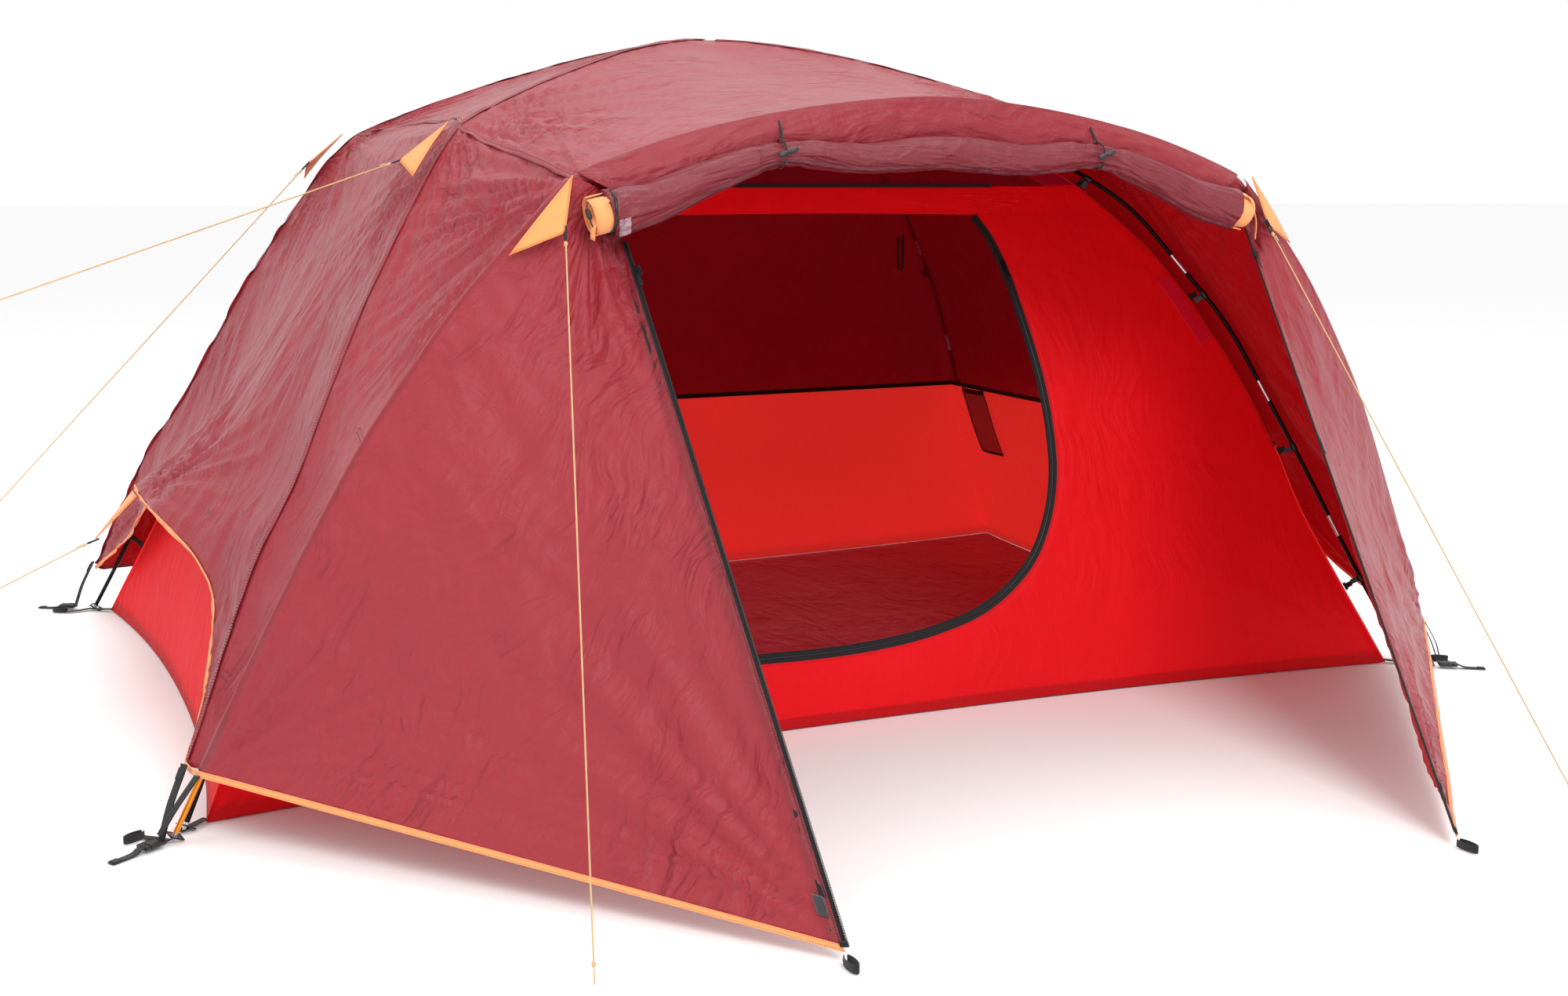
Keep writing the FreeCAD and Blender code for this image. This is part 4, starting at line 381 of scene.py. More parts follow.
class Parts:
    """Collects many small closed shapes into one mesh."""

    def __init__(self):
        self.v, self.f, self.m, self.uv, self.n = [], [], [], [], 0

    def add(self, verts, faces, mat=0, uv=None):
        verts = np.asarray(verts, float).reshape(-1, 3)
        self.v.append(verts)
        self.f += [tuple(int(k) + self.n for k in f) for f in faces]
        self.m += [mat] * len(faces)
        self.uv.append(np.zeros((len(verts), 2)) if uv is None else np.asarray(uv, float).reshape(-1, 2))
        self.n += len(verts)

    def tube(self, path, rx, ry=None, hint=(0, 0, 1), n=10, mat=0, cap=True, power=1.0):
        path = np.asarray(path, float)
        rx = np.broadcast_to(np.asarray(rx, float), (len(path),))
        ry = rx if ry is None else np.broadcast_to(np.asarray(ry, float), (len(path),))
        t, s, u = frames_along(path, hint)
        a = np.arange(n) / n * 2 * np.pi
        ca, sa = np.cos(a), np.sin(a)
        if power != 1.0:
            ca, sa = np.sign(ca) * np.abs(ca) ** power, np.sign(sa) * np.abs(sa) ** power
        P = path[:, None] + s[:, None] * (rx[:, None] * ca)[..., None] + u[:, None] * (ry[:, None] * sa)[..., None]
        f = [tuple(q[::-1]) for q in grid_faces(len(path), n, True).tolist()]
        L = arclen(path)
        uv = np.stack([np.broadcast_to(a / (2 * np.pi) * 0.02, (len(path), n)), np.broadcast_to(L[:, None] * MM, (len(path), n))], -1)
        verts = P.reshape(-1, 3)
        if cap:
            verts = np.vstack([verts, path[0] - t[0] * min(rx[0], ry[0]) * 0.35, path[-1] + t[-1] * min(rx[-1], ry[-1]) * 0.35])
            uv = np.vstack([uv.reshape(-1, 2), [0, 0], [0, L[-1] * MM]])
            c0, c1, o = len(verts) - 2, len(verts) - 1, (len(path) - 1) * n
            for j in range(n):
                k = (j + 1) % n
                f.append((c0, k, j)[::-1])
                f.append((c1, o + j, o + k)[::-1])
            f = [tuple(q) for q in f]
        self.add(verts, f, mat, uv.reshape(-1, 2))

    def strap(self, path, across, width, thick, mat=0, ribs=0.0, edge=0.35):
        """Flat webbing with soft edges along a path; across is the direction of its width."""
        path = np.asarray(path, float)
        across = unit(np.broadcast_to(np.asarray(across, float), path.shape))
        t = unit(np.gradient(path, axis=0))
        up = unit(np.cross(across, t))
        width = np.broadcast_to(np.asarray(width, float), (len(path),))
        w = np.array([-0.5, -0.46, -0.3, 0, 0.3, 0.46, 0.5, 0.46, 0.3, 0, -0.3, -0.46])
        h = np.array([0, 0.42, 0.5, 0.5, 0.5, 0.42, 0, -0.42, -0.5, -0.5, -0.5, -0.42]) * thick
        P = path[:, None] + across[:, None] * (width[:, None] * w)[..., None] + up[:, None] * h[None, :, None]
        if ribs:
            L = arclen(path)
            P += up[:, None] * (ribs * np.sin(L * 2 * np.pi / 2.6)[:, None] * np.sign(h)[None])[..., None]
        n = len(w)
        f = grid_faces(len(path), n, True).tolist()
        L = arclen(path)
        uv = np.stack([np.broadcast_to(w * MM * 15, (len(path), n)), np.broadcast_to(L[:, None] * MM, (len(path), n))], -1)
        f.append(list(range(n))[::-1])
        f.append([(len(path) - 1) * n + k for k in range(n)])
        self.add(P.reshape(-1, 3), f, mat, uv.reshape(-1, 2))

    def stitches(self, path, normal, pitch=4.0, length=2.6, r=0.42, mat=0, lift=0.35):
        """Short threads along a path, lying on the cloth."""
        path = np.asarray(path, float)
        L = arclen(path)
        if L[-1] < pitch:
            return
        n = int(L[-1] / pitch)
        c = (np.arange(n) + 0.5) * (L[-1] / n)
        nr = np.broadcast_to(np.asarray(normal, float), path.shape)

        def at(q, X):
            return np.stack([np.interp(q, L, X[:, k]) for k in range(3)], 1)

        a, b, m = at(c - length / 2, path), at(c + length / 2, path), at(c, path)
        nn = unit(at(c, nr))
        t = unit(b - a)
        s = np.cross(t, nn)
        rings = []
        for q, rr, up in ((a, 0.35, 0.0), (a + (b - a) * 0.25, 1.0, 0.9), (m, 1.0, 1.15), (a + (b - a) * 0.75, 1.0, 0.9), (b, 0.35, 0.0)):
            ctr = q + nn * (lift * up)
            rings.append(np.stack([ctr + s * r * rr, ctr + nn * r * rr * 0.8, ctr - s * r * rr, ctr - nn * r * rr * 0.8], 1))
        P = np.stack(rings, 1)          # n, 5, 4, 3
        base = grid_faces(5, 4, True)
        caps = np.array([[3, 2, 1, 0], [16, 17, 18, 19]])
        one = np.vstack([base[:, ::-1], caps[:, ::-1]])
        f = (one[None] + (np.arange(n) * 20)[:, None, None]).reshape(-1, 4)
        self.add(P.reshape(-1, 3), f.tolist(), mat)

    def build(self, name, mats, smooth=True):
        return make_object(name, np.vstack(self.v), self.f, mats, uv=np.vstack(self.uv), smooth=smooth, mat_index=self.m)


def simulate(ob, pins, frames=14, extra=0.004, gravity=1.0, bend=0.4, tension=40.0, cap=14.0, mass=0.15, quality=6, pressure=0.0):
    """Cloth simulation of a sheet held at its pinned points; the result goes into the mesh."""
    if QUICK:
        return
    g = ob.vertex_groups.new(name="held")
    pins = np.asarray(pins, float)
    for k in np.nonzero(pins > 0.001)[0]:
        g.add([int(k)], float(min(1.0, pins[k])), "REPLACE")
    rest = np.zeros(len(ob.data.vertices) * 3, np.float32)
    ob.data.vertices.foreach_get("co", rest)
    rest = rest.reshape(-1, 3)
    m = ob.modifiers.new("cloth", "CLOTH")
    ob.modifiers.move(len(ob.modifiers) - 1, 0)
    c = m.settings
    c.vertex_group_mass = "held"
    c.quality = quality
    c.mass = mass
    c.tension_stiffness = tension
    c.compression_stiffness = tension
    c.shear_stiffness = tension * 0.4
    c.bending_stiffness = bend
    c.tension_damping = 8
    c.compression_damping = 8
    c.shear_damping = 8
    c.bending_damping = 1.0
    c.air_damping = 4
    c.shrink_min = -extra
    c.shrink_max = -extra
    c.pin_stiffness = 1.0
    c.effector_weights.gravity = gravity
    if pressure:
        c.use_pressure = True
        c.uniform_pressure_force = pressure
    m.collision_settings.use_collision = False
    m.collision_settings.use_self_collision = False
    m.point_cache.frame_start = 1
    m.point_cache.frame_end = frames
    sc = bpy.context.scene
    hidden = [(x, x.show_viewport) for x in ob.modifiers if x != m]
    for x, _ in hidden:
        x.show_viewport = False
    for fr in range(1, frames + 1):
        sc.frame_set(fr)
    ev = ob.evaluated_get(bpy.context.evaluated_depsgraph_get())
    me = ev.to_mesh()
    co = np.zeros(len(me.vertices) * 3, np.float32)
    me.vertices.foreach_get("co", co)
    ev.to_mesh_clear()
    co = co.reshape(-1, 3)
    ob.modifiers.remove(m)
    for x, v in hidden:
        x.show_viewport = v
    sc.frame_set(1)
    if len(co) == len(rest) and np.isfinite(co).all():
        d = co - rest
        ln = np.linalg.norm(d, axis=1, keepdims=True)
        lim = cap * MM
        d = d * (lim * np.tanh(ln / lim) / np.maximum(ln, 1e-9))
        ob.data.vertices.foreach_set("co", (rest + d).astype(np.float32).ravel())
        ob.data.update()
    ob.vertex_groups.remove(g)

# ------------------------------------------------------------------ materials
def srgb(r, g, b):
    def f(c):
        c /= 255.0
        return c / 12.92 if c <= 0.04045 else ((c + 0.055) / 1.055) ** 2.4
    return (f(r), f(g), f(b), 1.0)


class Net:
    """Short hand for building a material's nodes."""

    def __init__(self, name):
        self.mat = bpy.data.materials.new(name)
        self.mat.use_nodes = True
        self.t = self.mat.node_tree
        self.t.nodes.clear()
        self.out = self.t.nodes.new("ShaderNodeOutputMaterial")

    def n(self, kind, **kw):
        nd = self.t.nodes.new("ShaderNode" + kind)
        for k, v in kw.items():
            if k.startswith("_"):
                setattr(nd, k[1:], v)
            else:
                self.put(nd.inputs[k.replace("__", " ")], v)
        return nd

    def put(self, sock, v):
        if isinstance(v, bpy.types.NodeSocket):
            self.t.links.new(v, sock)
        else:
            sock.default_value = v

    def math(self, op, a, b=0.0, c=0.0):
        nd = self.t.nodes.new("ShaderNodeMath")
        nd.operation = op
        for s, v in zip(nd.inputs, (a, b, c)):
            self.put(s, v)
        return nd.outputs[0]

    def mix(self, a, b, fac, kind="MIX"):
        nd = self.t.nodes.new("ShaderNodeMix")
        nd.data_type = "RGBA"
        nd.blend_type = kind
        self.put(nd.inputs[0], fac)
        self.put(nd.inputs[6], a)
        self.put(nd.inputs[7], b)
        return nd.outputs[2]

    def noise(self, vec, scale, detail=3.0, rough=0.5, dist=0.0):
        return self.n("TexNoise", Vector=vec, Scale=scale, Detail=detail, Roughness=rough, Distortion=dist).outputs["Fac"]

    def ramp(self, v, lo, hi, a=0.0, b=1.0):
        nd = self.t.nodes.new("ShaderNodeMapRange")
        self.put(nd.inputs[0], v)
        for k, x in zip((1, 2, 3, 4), (lo, hi, a, b)):
            nd.inputs[k].default_value = x
        return nd.outputs[0]

    def bump(self, height, dist, strength=1.0, normal=None):
        nd = self.n("Bump", Height=height, Distance=dist, Strength=strength)
        if normal is not None:
            self.put(nd.inputs["Normal"], normal)
        return nd.outputs[0]

    def coords(self):
        tc = self.t.nodes.new("ShaderNodeTexCoord")
        return tc.outputs["Object"], tc.outputs["UV"]

    def done(self, shader):
        self.t.links.new(shader, self.out.inputs[0])
        return self.mat


def weave(net, uv, pitch):
    """Height of a plain weave with that thread pitch in metres."""
    sep = net.n("SeparateXYZ", Vector=uv)
    k = 2 * math.pi / pitch
    a = net.math("SINE", net.math("MULTIPLY", sep.outputs[0], k))
    b = net.math("SINE", net.math("MULTIPLY", sep.outputs[1], k))
    return net.math("ADD", net.math("MULTIPLY", a, b), net.math("MULTIPLY", net.math("ADD", a, b), 0.35))


def cloth_mat(name, base, rough=0.42, spec=0.5, sheen=0.25, lit=None, through=0.0, painted_glow=0.0, crinkle=1.0, pitch=0.0008,
              weave_h=0.00006, var=0.10, dust=None):
    """Coated nylon: weave, small crinkles, uneven tone, light through the cloth, and a painted glow of emission in the
    lit colour.
    """
    net = Net(name)
    obj, uv = net.coords()
    base = srgb(*base)
    lit = srgb(*(lit or (200, 20, 30)))
    big = net.noise(obj, 2.4, 4, 0.55)
    fine = net.noise(obj, 46.0, 4, 0.6)
    # the mesh attribute shade changes the colour: painted shade by seams, edges, creases and under the sleeve; on the
    # inner walls also the floor fabric's darker band at the base, and a lighter band atop the front wall
    shade = net.n("Attribute", _attribute_name="shade").outputs["Fac"]
    tone = net.ramp(big, 0.25, 0.75, 1 - var, 1 + var)
    tone = net.math("MULTIPLY", tone, net.ramp(fine, 0.2, 0.8, 0.96, 1.04))
    tone = net.math("MULTIPLY", tone, net.math("ADD", shade, 1.0))
    col = net.mix((0, 0, 0, 1), base, 1.0)
    vec = net.n("VectorMath", _operation="SCALE")
    net.put(vec.inputs[0], base[:3])
    net.put(vec.inputs[3], tone)
    col = vec.outputs[0]
    # crinkles
    warp = net.n("TexNoise", Vector=obj, Scale=5.0, Detail=2.0)
    wv = net.n("VectorMath", _operation="MULTIPLY_ADD")
    net.put(wv.inputs[0], warp.outputs["Color"])
    net.put(wv.inputs[1], (0.10, 0.10, 0.10))
    net.put(wv.inputs[2], obj)
    vor = net.n("TexVoronoi", _feature="DISTANCE_TO_EDGE", Vector=wv.outputs[0], Scale=9.0).outputs["Distance"]
    crease = net.ramp(vor, 0.0, 0.10, -1.0, 0.0)
    soft = net.noise(wv.outputs[0], 15.0, 5, 0.62, 0.8)
    long = net.n("VectorMath", _operation="MULTIPLY")
    net.put(long.inputs[0], uv)
    net.put(long.inputs[1], (26.0, 4.2, 1.0))
    lw = net.n("TexNoise", Vector=uv, Scale=3.0, Detail=2.0)
    lv = net.n("VectorMath", _operation="MULTIPLY_ADD")
    net.put(lv.inputs[0], lw.outputs["Color"])
    net.put(lv.inputs[1], (4.5, 0.8, 0.0))
    net.put(lv.inputs[2], long.outputs[0])
    runs = net.noise(lv.outputs[0], 1.0, 4, 0.6, 0.3)
    h = net.math("ADD", net.math("MULTIPLY", soft, 0.50), net.math("MULTIPLY", crease, 0.05))
    h = net.math("ADD", h, net.math("MULTIPLY", runs, 0.62))
    # crisp creases that run in two slanting directions
    for turn, sc_, seed_ in ((0.35, (17.0, 3.4, 1.0), 3.1), (-0.45, (13.0, 2.8, 1.0), 7.7)):
        mp = net.n("Mapping", Vector=uv)
        mp.inputs["Location"].default_value = (seed_, seed_ * 0.7, 0)
        mp.inputs["Rotation"].default_value = (0, 0, turn)
        mp.inputs["Scale"].default_value = sc_
        dv = net.n("VectorMath", _operation="MULTIPLY_ADD")
        net.put(dv.inputs[0], lw.outputs["Color"])
        net.put(dv.inputs[1], (5.0, 1.2, 0.0))
        net.put(dv.inputs[2], mp.outputs[0])
        nz = net.noise(dv.outputs[0], 1.0, 3, 0.5)
        rg = net.math("SUBTRACT", 1.0, net.math("MULTIPLY", net.math("ABSOLUTE", net.math("SUBTRACT", nz, 0.5)), 9.0))
        rg = net.math("MAXIMUM", rg, 0.0)
        gate = net.ramp(net.noise(obj, 5.0 + seed_ * 0.3, 2, 0.5), 0.46, 0.62)
        h = net.math("ADD", h, net.math("MULTIPLY", net.math("MULTIPLY", rg, gate), 0.36))
    nrm = net.bump(h, 0.0085 * crinkle, 1.0)
    if weave_h:
        nrm = net.bump(weave(net, uv, pitch), weave_h, 0.7, nrm)
    rr = net.ramp(fine, 0.2, 0.8, rough - 0.05, rough + 0.07)
    b = net.n("BsdfPrincipled", Roughness=rr, Normal=nrm)
    net.put(b.inputs["Base Color"], col)
    b.inputs["Specular IOR Level"].default_value = spec
    b.inputs["Sheen Weight"].default_value = sheen
    b.inputs["Sheen Roughness"].default_value = 0.45
    b.inputs["Sheen Tint"].default_value = (1.0, 0.80, 0.84, 1)
    # painted glow: emission in the lit colour makes the cloth shine by itself, though it is no lamp
    if painted_glow:
        net.put(b.inputs["Emission Color"], lit)
        b.inputs["Emission Strength"].default_value = painted_glow
    sh = b.outputs[0]
    if through:
        tr = net.n("BsdfTranslucent", Normal=nrm)
        tr.inputs["Color"].default_value = lit
        mx = net.n("MixShader", Fac=through)
        net.t.links.new(sh, mx.inputs[1])
        net.t.links.new(tr.outputs[0], mx.inputs[2])
        sh = mx.outputs[0]
    return net.done(sh)


def net_mat(name, base, cover=0.62, pitch=0.0016):
    """Fine insect netting: threads with open cells between them."""
    net = Net(name)
    obj, uv = net.coords()
    sep = net.n("SeparateXYZ", Vector=uv)
    k = math.pi / pitch
    a = net.math("ABSOLUTE", net.math("SINE", net.math("MULTIPLY", sep.outputs[0], k)))
    b = net.math("ABSOLUTE", net.math("SINE", net.math("MULTIPLY", sep.outputs[1], k)))
    hole = net.math("MULTIPLY", net.ramp(a, 0.25, 0.55), net.ramp(b, 0.25, 0.55))
    big = net.noise(obj, 4.0, 3, 0.5)
    op = net.math("ADD", net.math("MULTIPLY", hole, -0.42), cover + 0.22)
    op = net.math("ADD", op, net.ramp(big, 0.3, 0.7, -0.05, 0.05))
    p = net.n("BsdfPrincipled", Roughness=0.8)
    p.inputs["Base Color"].default_value = srgb(*base)
    # painted glow: the threads give off a little light in their own colour, though no lamp is there
    p.inputs["Emission Color"].default_value = srgb(*base)
    p.inputs["Emission Strength"].default_value = 0.22
    p.inputs["Specular IOR Level"].default_value = 0.15
    tr = net.n("BsdfTransparent")
    tr.inputs["Color"].default_value = (1, 1, 1, 1)
    mx = net.n("MixShader", Fac=op)
    net.t.links.new(tr.outputs[0], mx.inputs[1])
    net.t.links.new(p.outputs[0], mx.inputs[2])
    return net.done(mx.outputs[0])


def webbing_mat(name, base, rough=0.72, pitch=0.0022, spec=0.3, height=0.00035, var=0.10, sheen=0.15):
    """Woven tape: diagonal ribs across, small threads along."""
    net = Net(name)
    obj, uv = net.coords()
    sep = net.n("SeparateXYZ", Vector=uv)
    k = 2 * math.pi / pitch
    rib = net.math("SINE", net.math("MULTIPLY", net.math("ADD", sep.outputs[1], net.math("MULTIPLY", sep.outputs[0], 0.5)), k))
    thr = net.math("SINE", net.math("MULTIPLY", sep.outputs[0], k * 1.6))
    h = net.math("ADD", rib, net.math("MULTIPLY", thr, 0.5))
    n1 = net.noise(obj, 55.0, 4, 0.6)
    tone = net.math("ADD", net.ramp(n1, 0.25, 0.75, 1 - var, 1 + var), net.math("MULTIPLY", rib, 0.05))
    vec = net.n("VectorMath", _operation="SCALE")
    net.put(vec.inputs[0], srgb(*base)[:3])
    net.put(vec.inputs[3], tone)
    nrm = net.bump(h, height, 0.8)
    p = net.n("BsdfPrincipled", Roughness=net.ramp(n1, 0.2, 0.8, rough - 0.08, rough + 0.08), Normal=nrm)
    net.put(p.inputs["Base Color"], vec.outputs[0])
    p.inputs["Specular IOR Level"].default_value = spec
    p.inputs["Sheen Weight"].default_value = sheen
    return net.done(p.outputs[0])


def hard_mat(name, base, rough=0.4, metal=0.0, spec=0.5, grain=40.0, bump=0.00008, var=0.08, wear=None, coat=0.0, brushed=False):
    """Moulded plastic or anodised metal with fine grain and lighter worn spots."""
    net = Net(name)
    obj, uv = net.coords()
    vec0 = obj
    if brushed:
        sc = net.n("VectorMath", _operation="MULTIPLY")
        net.put(sc.inputs[0], obj)
        net.put(sc.inputs[1], (6.0, 6.0, 1.0))
        vec0 = sc.outputs[0]
    g = net.noise(vec0, grain, 5, 0.65)
    big = net.noise(obj, 9.0, 3, 0.5)
    tone = net.ramp(g, 0.2, 0.8, 1 - var, 1 + var)
    vec = net.n("VectorMath", _operation="SCALE")
    net.put(vec.inputs[0], srgb(*base)[:3])
    net.put(vec.inputs[3], tone)
    col = vec.outputs[0]
    if wear is not None:
        spots = net.ramp(net.noise(obj, 120.0, 6, 0.75), 0.62, 0.74)
        col = net.mix(col, srgb(*wear), net.math("MULTIPLY", spots, 0.35))
    p = net.n("BsdfPrincipled", Roughness=net.ramp(big, 0.2, 0.8, max(0.05, rough - 0.06), rough + 0.08), Normal=net.bump(g, bump, 0.6))
    net.put(p.inputs["Base Color"], col)
    p.inputs["Metallic"].default_value = metal
    p.inputs["Specular IOR Level"].default_value = spec
    p.inputs["Coat Weight"].default_value = coat
    p.inputs["Coat Roughness"].default_value = 0.15
    return net.done(p.outputs[0])


def thread_mat(name, base, rough=0.6):
    net = Net(name)
    obj, uv = net.coords()
    g = net.noise(obj, 700.0, 3, 0.6)
    vec = net.n("VectorMath", _operation="SCALE")
    net.put(vec.inputs[0], srgb(*base)[:3])
    net.put(vec.inputs[3], net.ramp(g, 0.2, 0.8, 0.75, 1.25))
    p = net.n("BsdfPrincipled", Roughness=rough, Normal=net.bump(g, 0.0002, 0.5))
    net.put(p.inputs["Base Color"], vec.outputs[0])
    return net.done(p.outputs[0])


M = {}
M["fly"] = cloth_mat("fly_outside", (152, 30, 44), rough=0.34, spec=0.46, sheen=0.08, lit=(215, 24, 36), through=0.12, crinkle=1.30, var=0.06)
# fly_in, inner, inner_in, floor_in and crimson take a painted glow: they shine by emission though no lamp is there
M["fly_in"] = cloth_mat("fly_inside", (176, 12, 24), rough=0.5, spec=0.3, sheen=0.05, lit=(205, 10, 20), through=0.30, painted_glow=0.20, crinkle=0.8, weave_h=0)
M["sleeve"] = cloth_mat("sleeve_outside", (146, 28, 40), rough=0.36, spec=0.42, sheen=0.08, lit=(170, 25, 35), through=0.05, crinkle=0.6, var=0.06)
M["inner"] = cloth_mat("inner_outside", (212, 10, 24), rough=0.62, spec=0.22, sheen=0.08, lit=(245, 14, 24), through=0.25, painted_glow=0.12, crinkle=0.6, pitch=0.001, var=0.05)
M["inner_in"] = cloth_mat("inner_inside", (212, 14, 26), rough=0.65, spec=0.2, sheen=0.08, lit=(255, 62, 56), through=0.25, painted_glow=0.46, crinkle=0.6, weave_h=0, var=0.05)
M["floor_in"] = cloth_mat("floor_inside", (120, 14, 30), rough=0.36, spec=0.5, sheen=0.1, lit=(130, 14, 26), through=0.0, painted_glow=0.30, crinkle=1.3, var=0.12)
M["roll"] = cloth_mat("roll_outside", (116, 22, 36), rough=0.30, spec=0.48, sheen=0.03, lit=(150, 30, 40), through=0.0, crinkle=1.2, var=0.08)
M["mesh"] = net_mat("inner_mesh", (106, 10, 22), cover=0.60)
M["pocket"] = net_mat("pocket_mesh", (26, 8, 14), cover=0.72, pitch=0.0026)
M["black_web"] = webbing_mat("black_webbing", (24, 24, 27))
M["black_tape"] = webbing_mat("black_zip_tape", (20, 20, 24), rough=0.8, pitch=0.0014, height=0.0002)
M["orange"] = webbing_mat("orange_tape", (250, 160, 96), rough=0.7, pitch=0.0013, height=0.00015, var=0.05, sheen=0.3)
M["orange_cloth"] = cloth_mat("orange_cloth", (250, 164, 98), rough=0.55, spec=0.3, sheen=0.25, lit=(255, 160, 80), through=0.12, crinkle=0.35, pitch=0.0009, var=0.05)
M["crimson"] = cloth_mat("crimson_cloth", (196, 8, 40), rough=0.55, spec=0.25, sheen=0.15, lit=(220, 8, 46), through=0.2, painted_glow=0.22, crinkle=0.4, var=0.05)
M["coil"] = hard_mat("zip_coil", (16, 16, 19), rough=0.35, spec=0.5)
M["black_plastic"] = hard_mat("black_acetal", (20, 20, 22), rough=0.36, wear=(70, 70, 74))
M["grey_plastic"] = hard_mat("grey_plastic", (34, 35, 39), rough=0.4, wear=(110, 112, 118))
M["velcro"] = webbing_mat("hook_and_loop", (26, 27, 34), rough=0.95, pitch=0.0015, height=0.0006, spec=0.15, sheen=0.5)
M["pole_black"] = hard_mat("black_anodised", (17, 17, 19), rough=0.30, metal=0.75, spec=0.5, grain=150, var=0.10, wear=(120, 120, 124), brushed=True)
M["pole_gold"] = hard_mat("gold_anodised", (238, 142, 38), rough=0.30, metal=0.8, spec=0.5, grain=150, var=0.06, wear=(250, 200, 130), brushed=True)
M["silver"] = hard_mat("silver_metal", (208, 208, 212), rough=0.28, metal=1.0, grain=180, var=0.08, wear=(120, 120, 124), brushed=True)
M["zip_metal"] = hard_mat("painted_zip_metal", (40, 40, 44), rough=0.34, metal=0.6, wear=(170, 170, 175))
M["elastic"] = webbing_mat("shock_cord_cover", (60, 60, 64), rough=0.8)
M["cord"] = webbing_mat("guy_cord_cover", (252, 205, 140), rough=0.65, pitch=0.0016, height=0.00025, var=0.12, sheen=0.3)
M["thread_dark"] = thread_mat("dark_thread", (66, 14, 24))
M["thread_orange"] = thread_mat("brown_thread", (196, 104, 60))
M["thread_black"] = thread_mat("black_thread", (12, 12, 14))
M["thread_red"] = thread_mat("red_thread", (120, 4, 14))


def clear_mat(name):
    """Clear window film, slightly pink and creased."""
    net = Net(name)
    obj, uv = net.coords()
    h = net.noise(obj, 38.0, 5, 0.6, 1.2)
    p = net.n("BsdfPrincipled", Roughness=0.08, Normal=net.bump(h, 0.004, 1.0))
    p.inputs["Base Color"].default_value = srgb(205, 170, 185)
    p.inputs["Specular IOR Level"].default_value = 0.9
    p.inputs["Coat Weight"].default_value = 0.6
    tr = net.n("BsdfTransparent")
    tr.inputs["Color"].default_value = (0.92, 0.85, 0.88, 1)
    mx = net.n("MixShader", Fac=net.ramp(h, 0.35, 0.65, 0.10, 0.60))
    net.t.links.new(tr.outputs[0], mx.inputs[1])
    net.t.links.new(p.outputs[0], mx.inputs[2])
    return net.done(mx.outputs[0])


M["clear"] = clear_mat("window_film")

# ------------------------------------------------------------------ lines of the frame
SEAM = Curve1([(26, 102), (100, 240), (189, 398), (272, 502), (340, 614), (430, 756), (500, 852), (595, 972), (660, 1044),
               (700, 1076), (800, 1114), (920, 1154), (1050, 1192), (1200, 1230), (1340, 1255), (1440, 1265), (DIAG, 1266)])
POLE_SZ = [(22, 13.4), (120, 178), (208, 331), (261, 448), (315, 554), (361, 632), (411, 706), (450, 762), (493, 820),
           (557, 888), (606, 932), (660, 975), (715, 1014), (800, 1060), (910, 1110), (1050, 1160),
           (1200, 1205), (1340, 1235), (DIAG, 1251)]
ARCH_XZ = [(-1222, 13.4), (-1172, 120), (-1128, 212), (-1042, 385), (-945, 565), (-875, 672), (-780, 800),
           (-672, 918), (-630, 960), (-592, 985), (-445, 1035), (-300, 1068), (-150, 1090), (0, 1100)]
half = [A(x, 0, z) for x, z in ARCH_XZ]
ARCH_ALL = smooth_path(half + [A(-p[0], 0, p[2]) for p in half[-2::-1]], 1601)


def arch_plane(x, z):
    return np.stack([x, -HALF_D - 26.0 - 0.1075 * z, z], -1)


ARCH3 = arch_plane(ARCH_ALL[:, 0], ARCH_ALL[:, 2])
ARCH3 = resample(ARCH3[ARCH3[:, 2] > 105], 401)       # the stretch inside the sleeve
FRONT_N = A(0, -math.cos(LEAN), -math.sin(LEAN))      # out of the arch's plane, to the front
at_ = unit(np.gradient(ARCH3, axis=0))
ARCH_Q = np.cross(at_, FRONT_N)                       # in the plane, towards the inside of the arch
ARCH_Q *= np.where((ARCH_Q * (A(0, 0, 600) - ARCH3 * A(1, 0, 1))).sum(1) < 0, -1, 1)[:, None]
k_ = np.minimum(np.arange(401), 400 - np.arange(401)) / 400.0 * 56
SL_WID = 22.0 * (0.62 + 0.38 * np.minimum(1, k_ / 16.0))
SL_OUT = ARCH3 - ARCH_Q * 9.0
SL_ATT = ARCH3 + ARCH_Q * 6.0 - FRONT_N * 8.0         # where the roof and the gussets are sewn on
LA = arclen(ARCH3)
SH = LA[np.argmin(np.abs(ARCH3[:, 0] + 600) + (ARCH3[:, 0] > 0) * 1000)] / LA[-1]


def seam_pt(qx, qy, s):
    s = np.asarray(s, float)
    k = s / DIAG
    return np.stack([qx * HALF_W * (1 - k), qy * HALF_D * (1 - k), SEAM(s)], -1)


STEP = 14.0 if QUICK else 9.5
ss_ = np.linspace(26, DIAG, 1200)
S = np.interp(np.linspace(0, 1, int(2020 / STEP)), arclen(seam_pt(1, 1, ss_)) / arclen(seam_pt(1, 1, ss_))[-1], ss_)
S_OF_Z = (SEAM(ss_), ss_)
HEM_X = Curve1([(0, 1171), (0.20, 1163), (0.36, 1138), (0.48, 1117), (0.60, 1107), (0.72, 1122), (0.84, 1150), (1.0, 1199)])
HEM_Z = Curve1([(0, 394), (0.20, 388), (0.36, 363), (0.48, 337), (0.60, 300), (0.72, 238), (0.84, 174), (1.0, 102)])


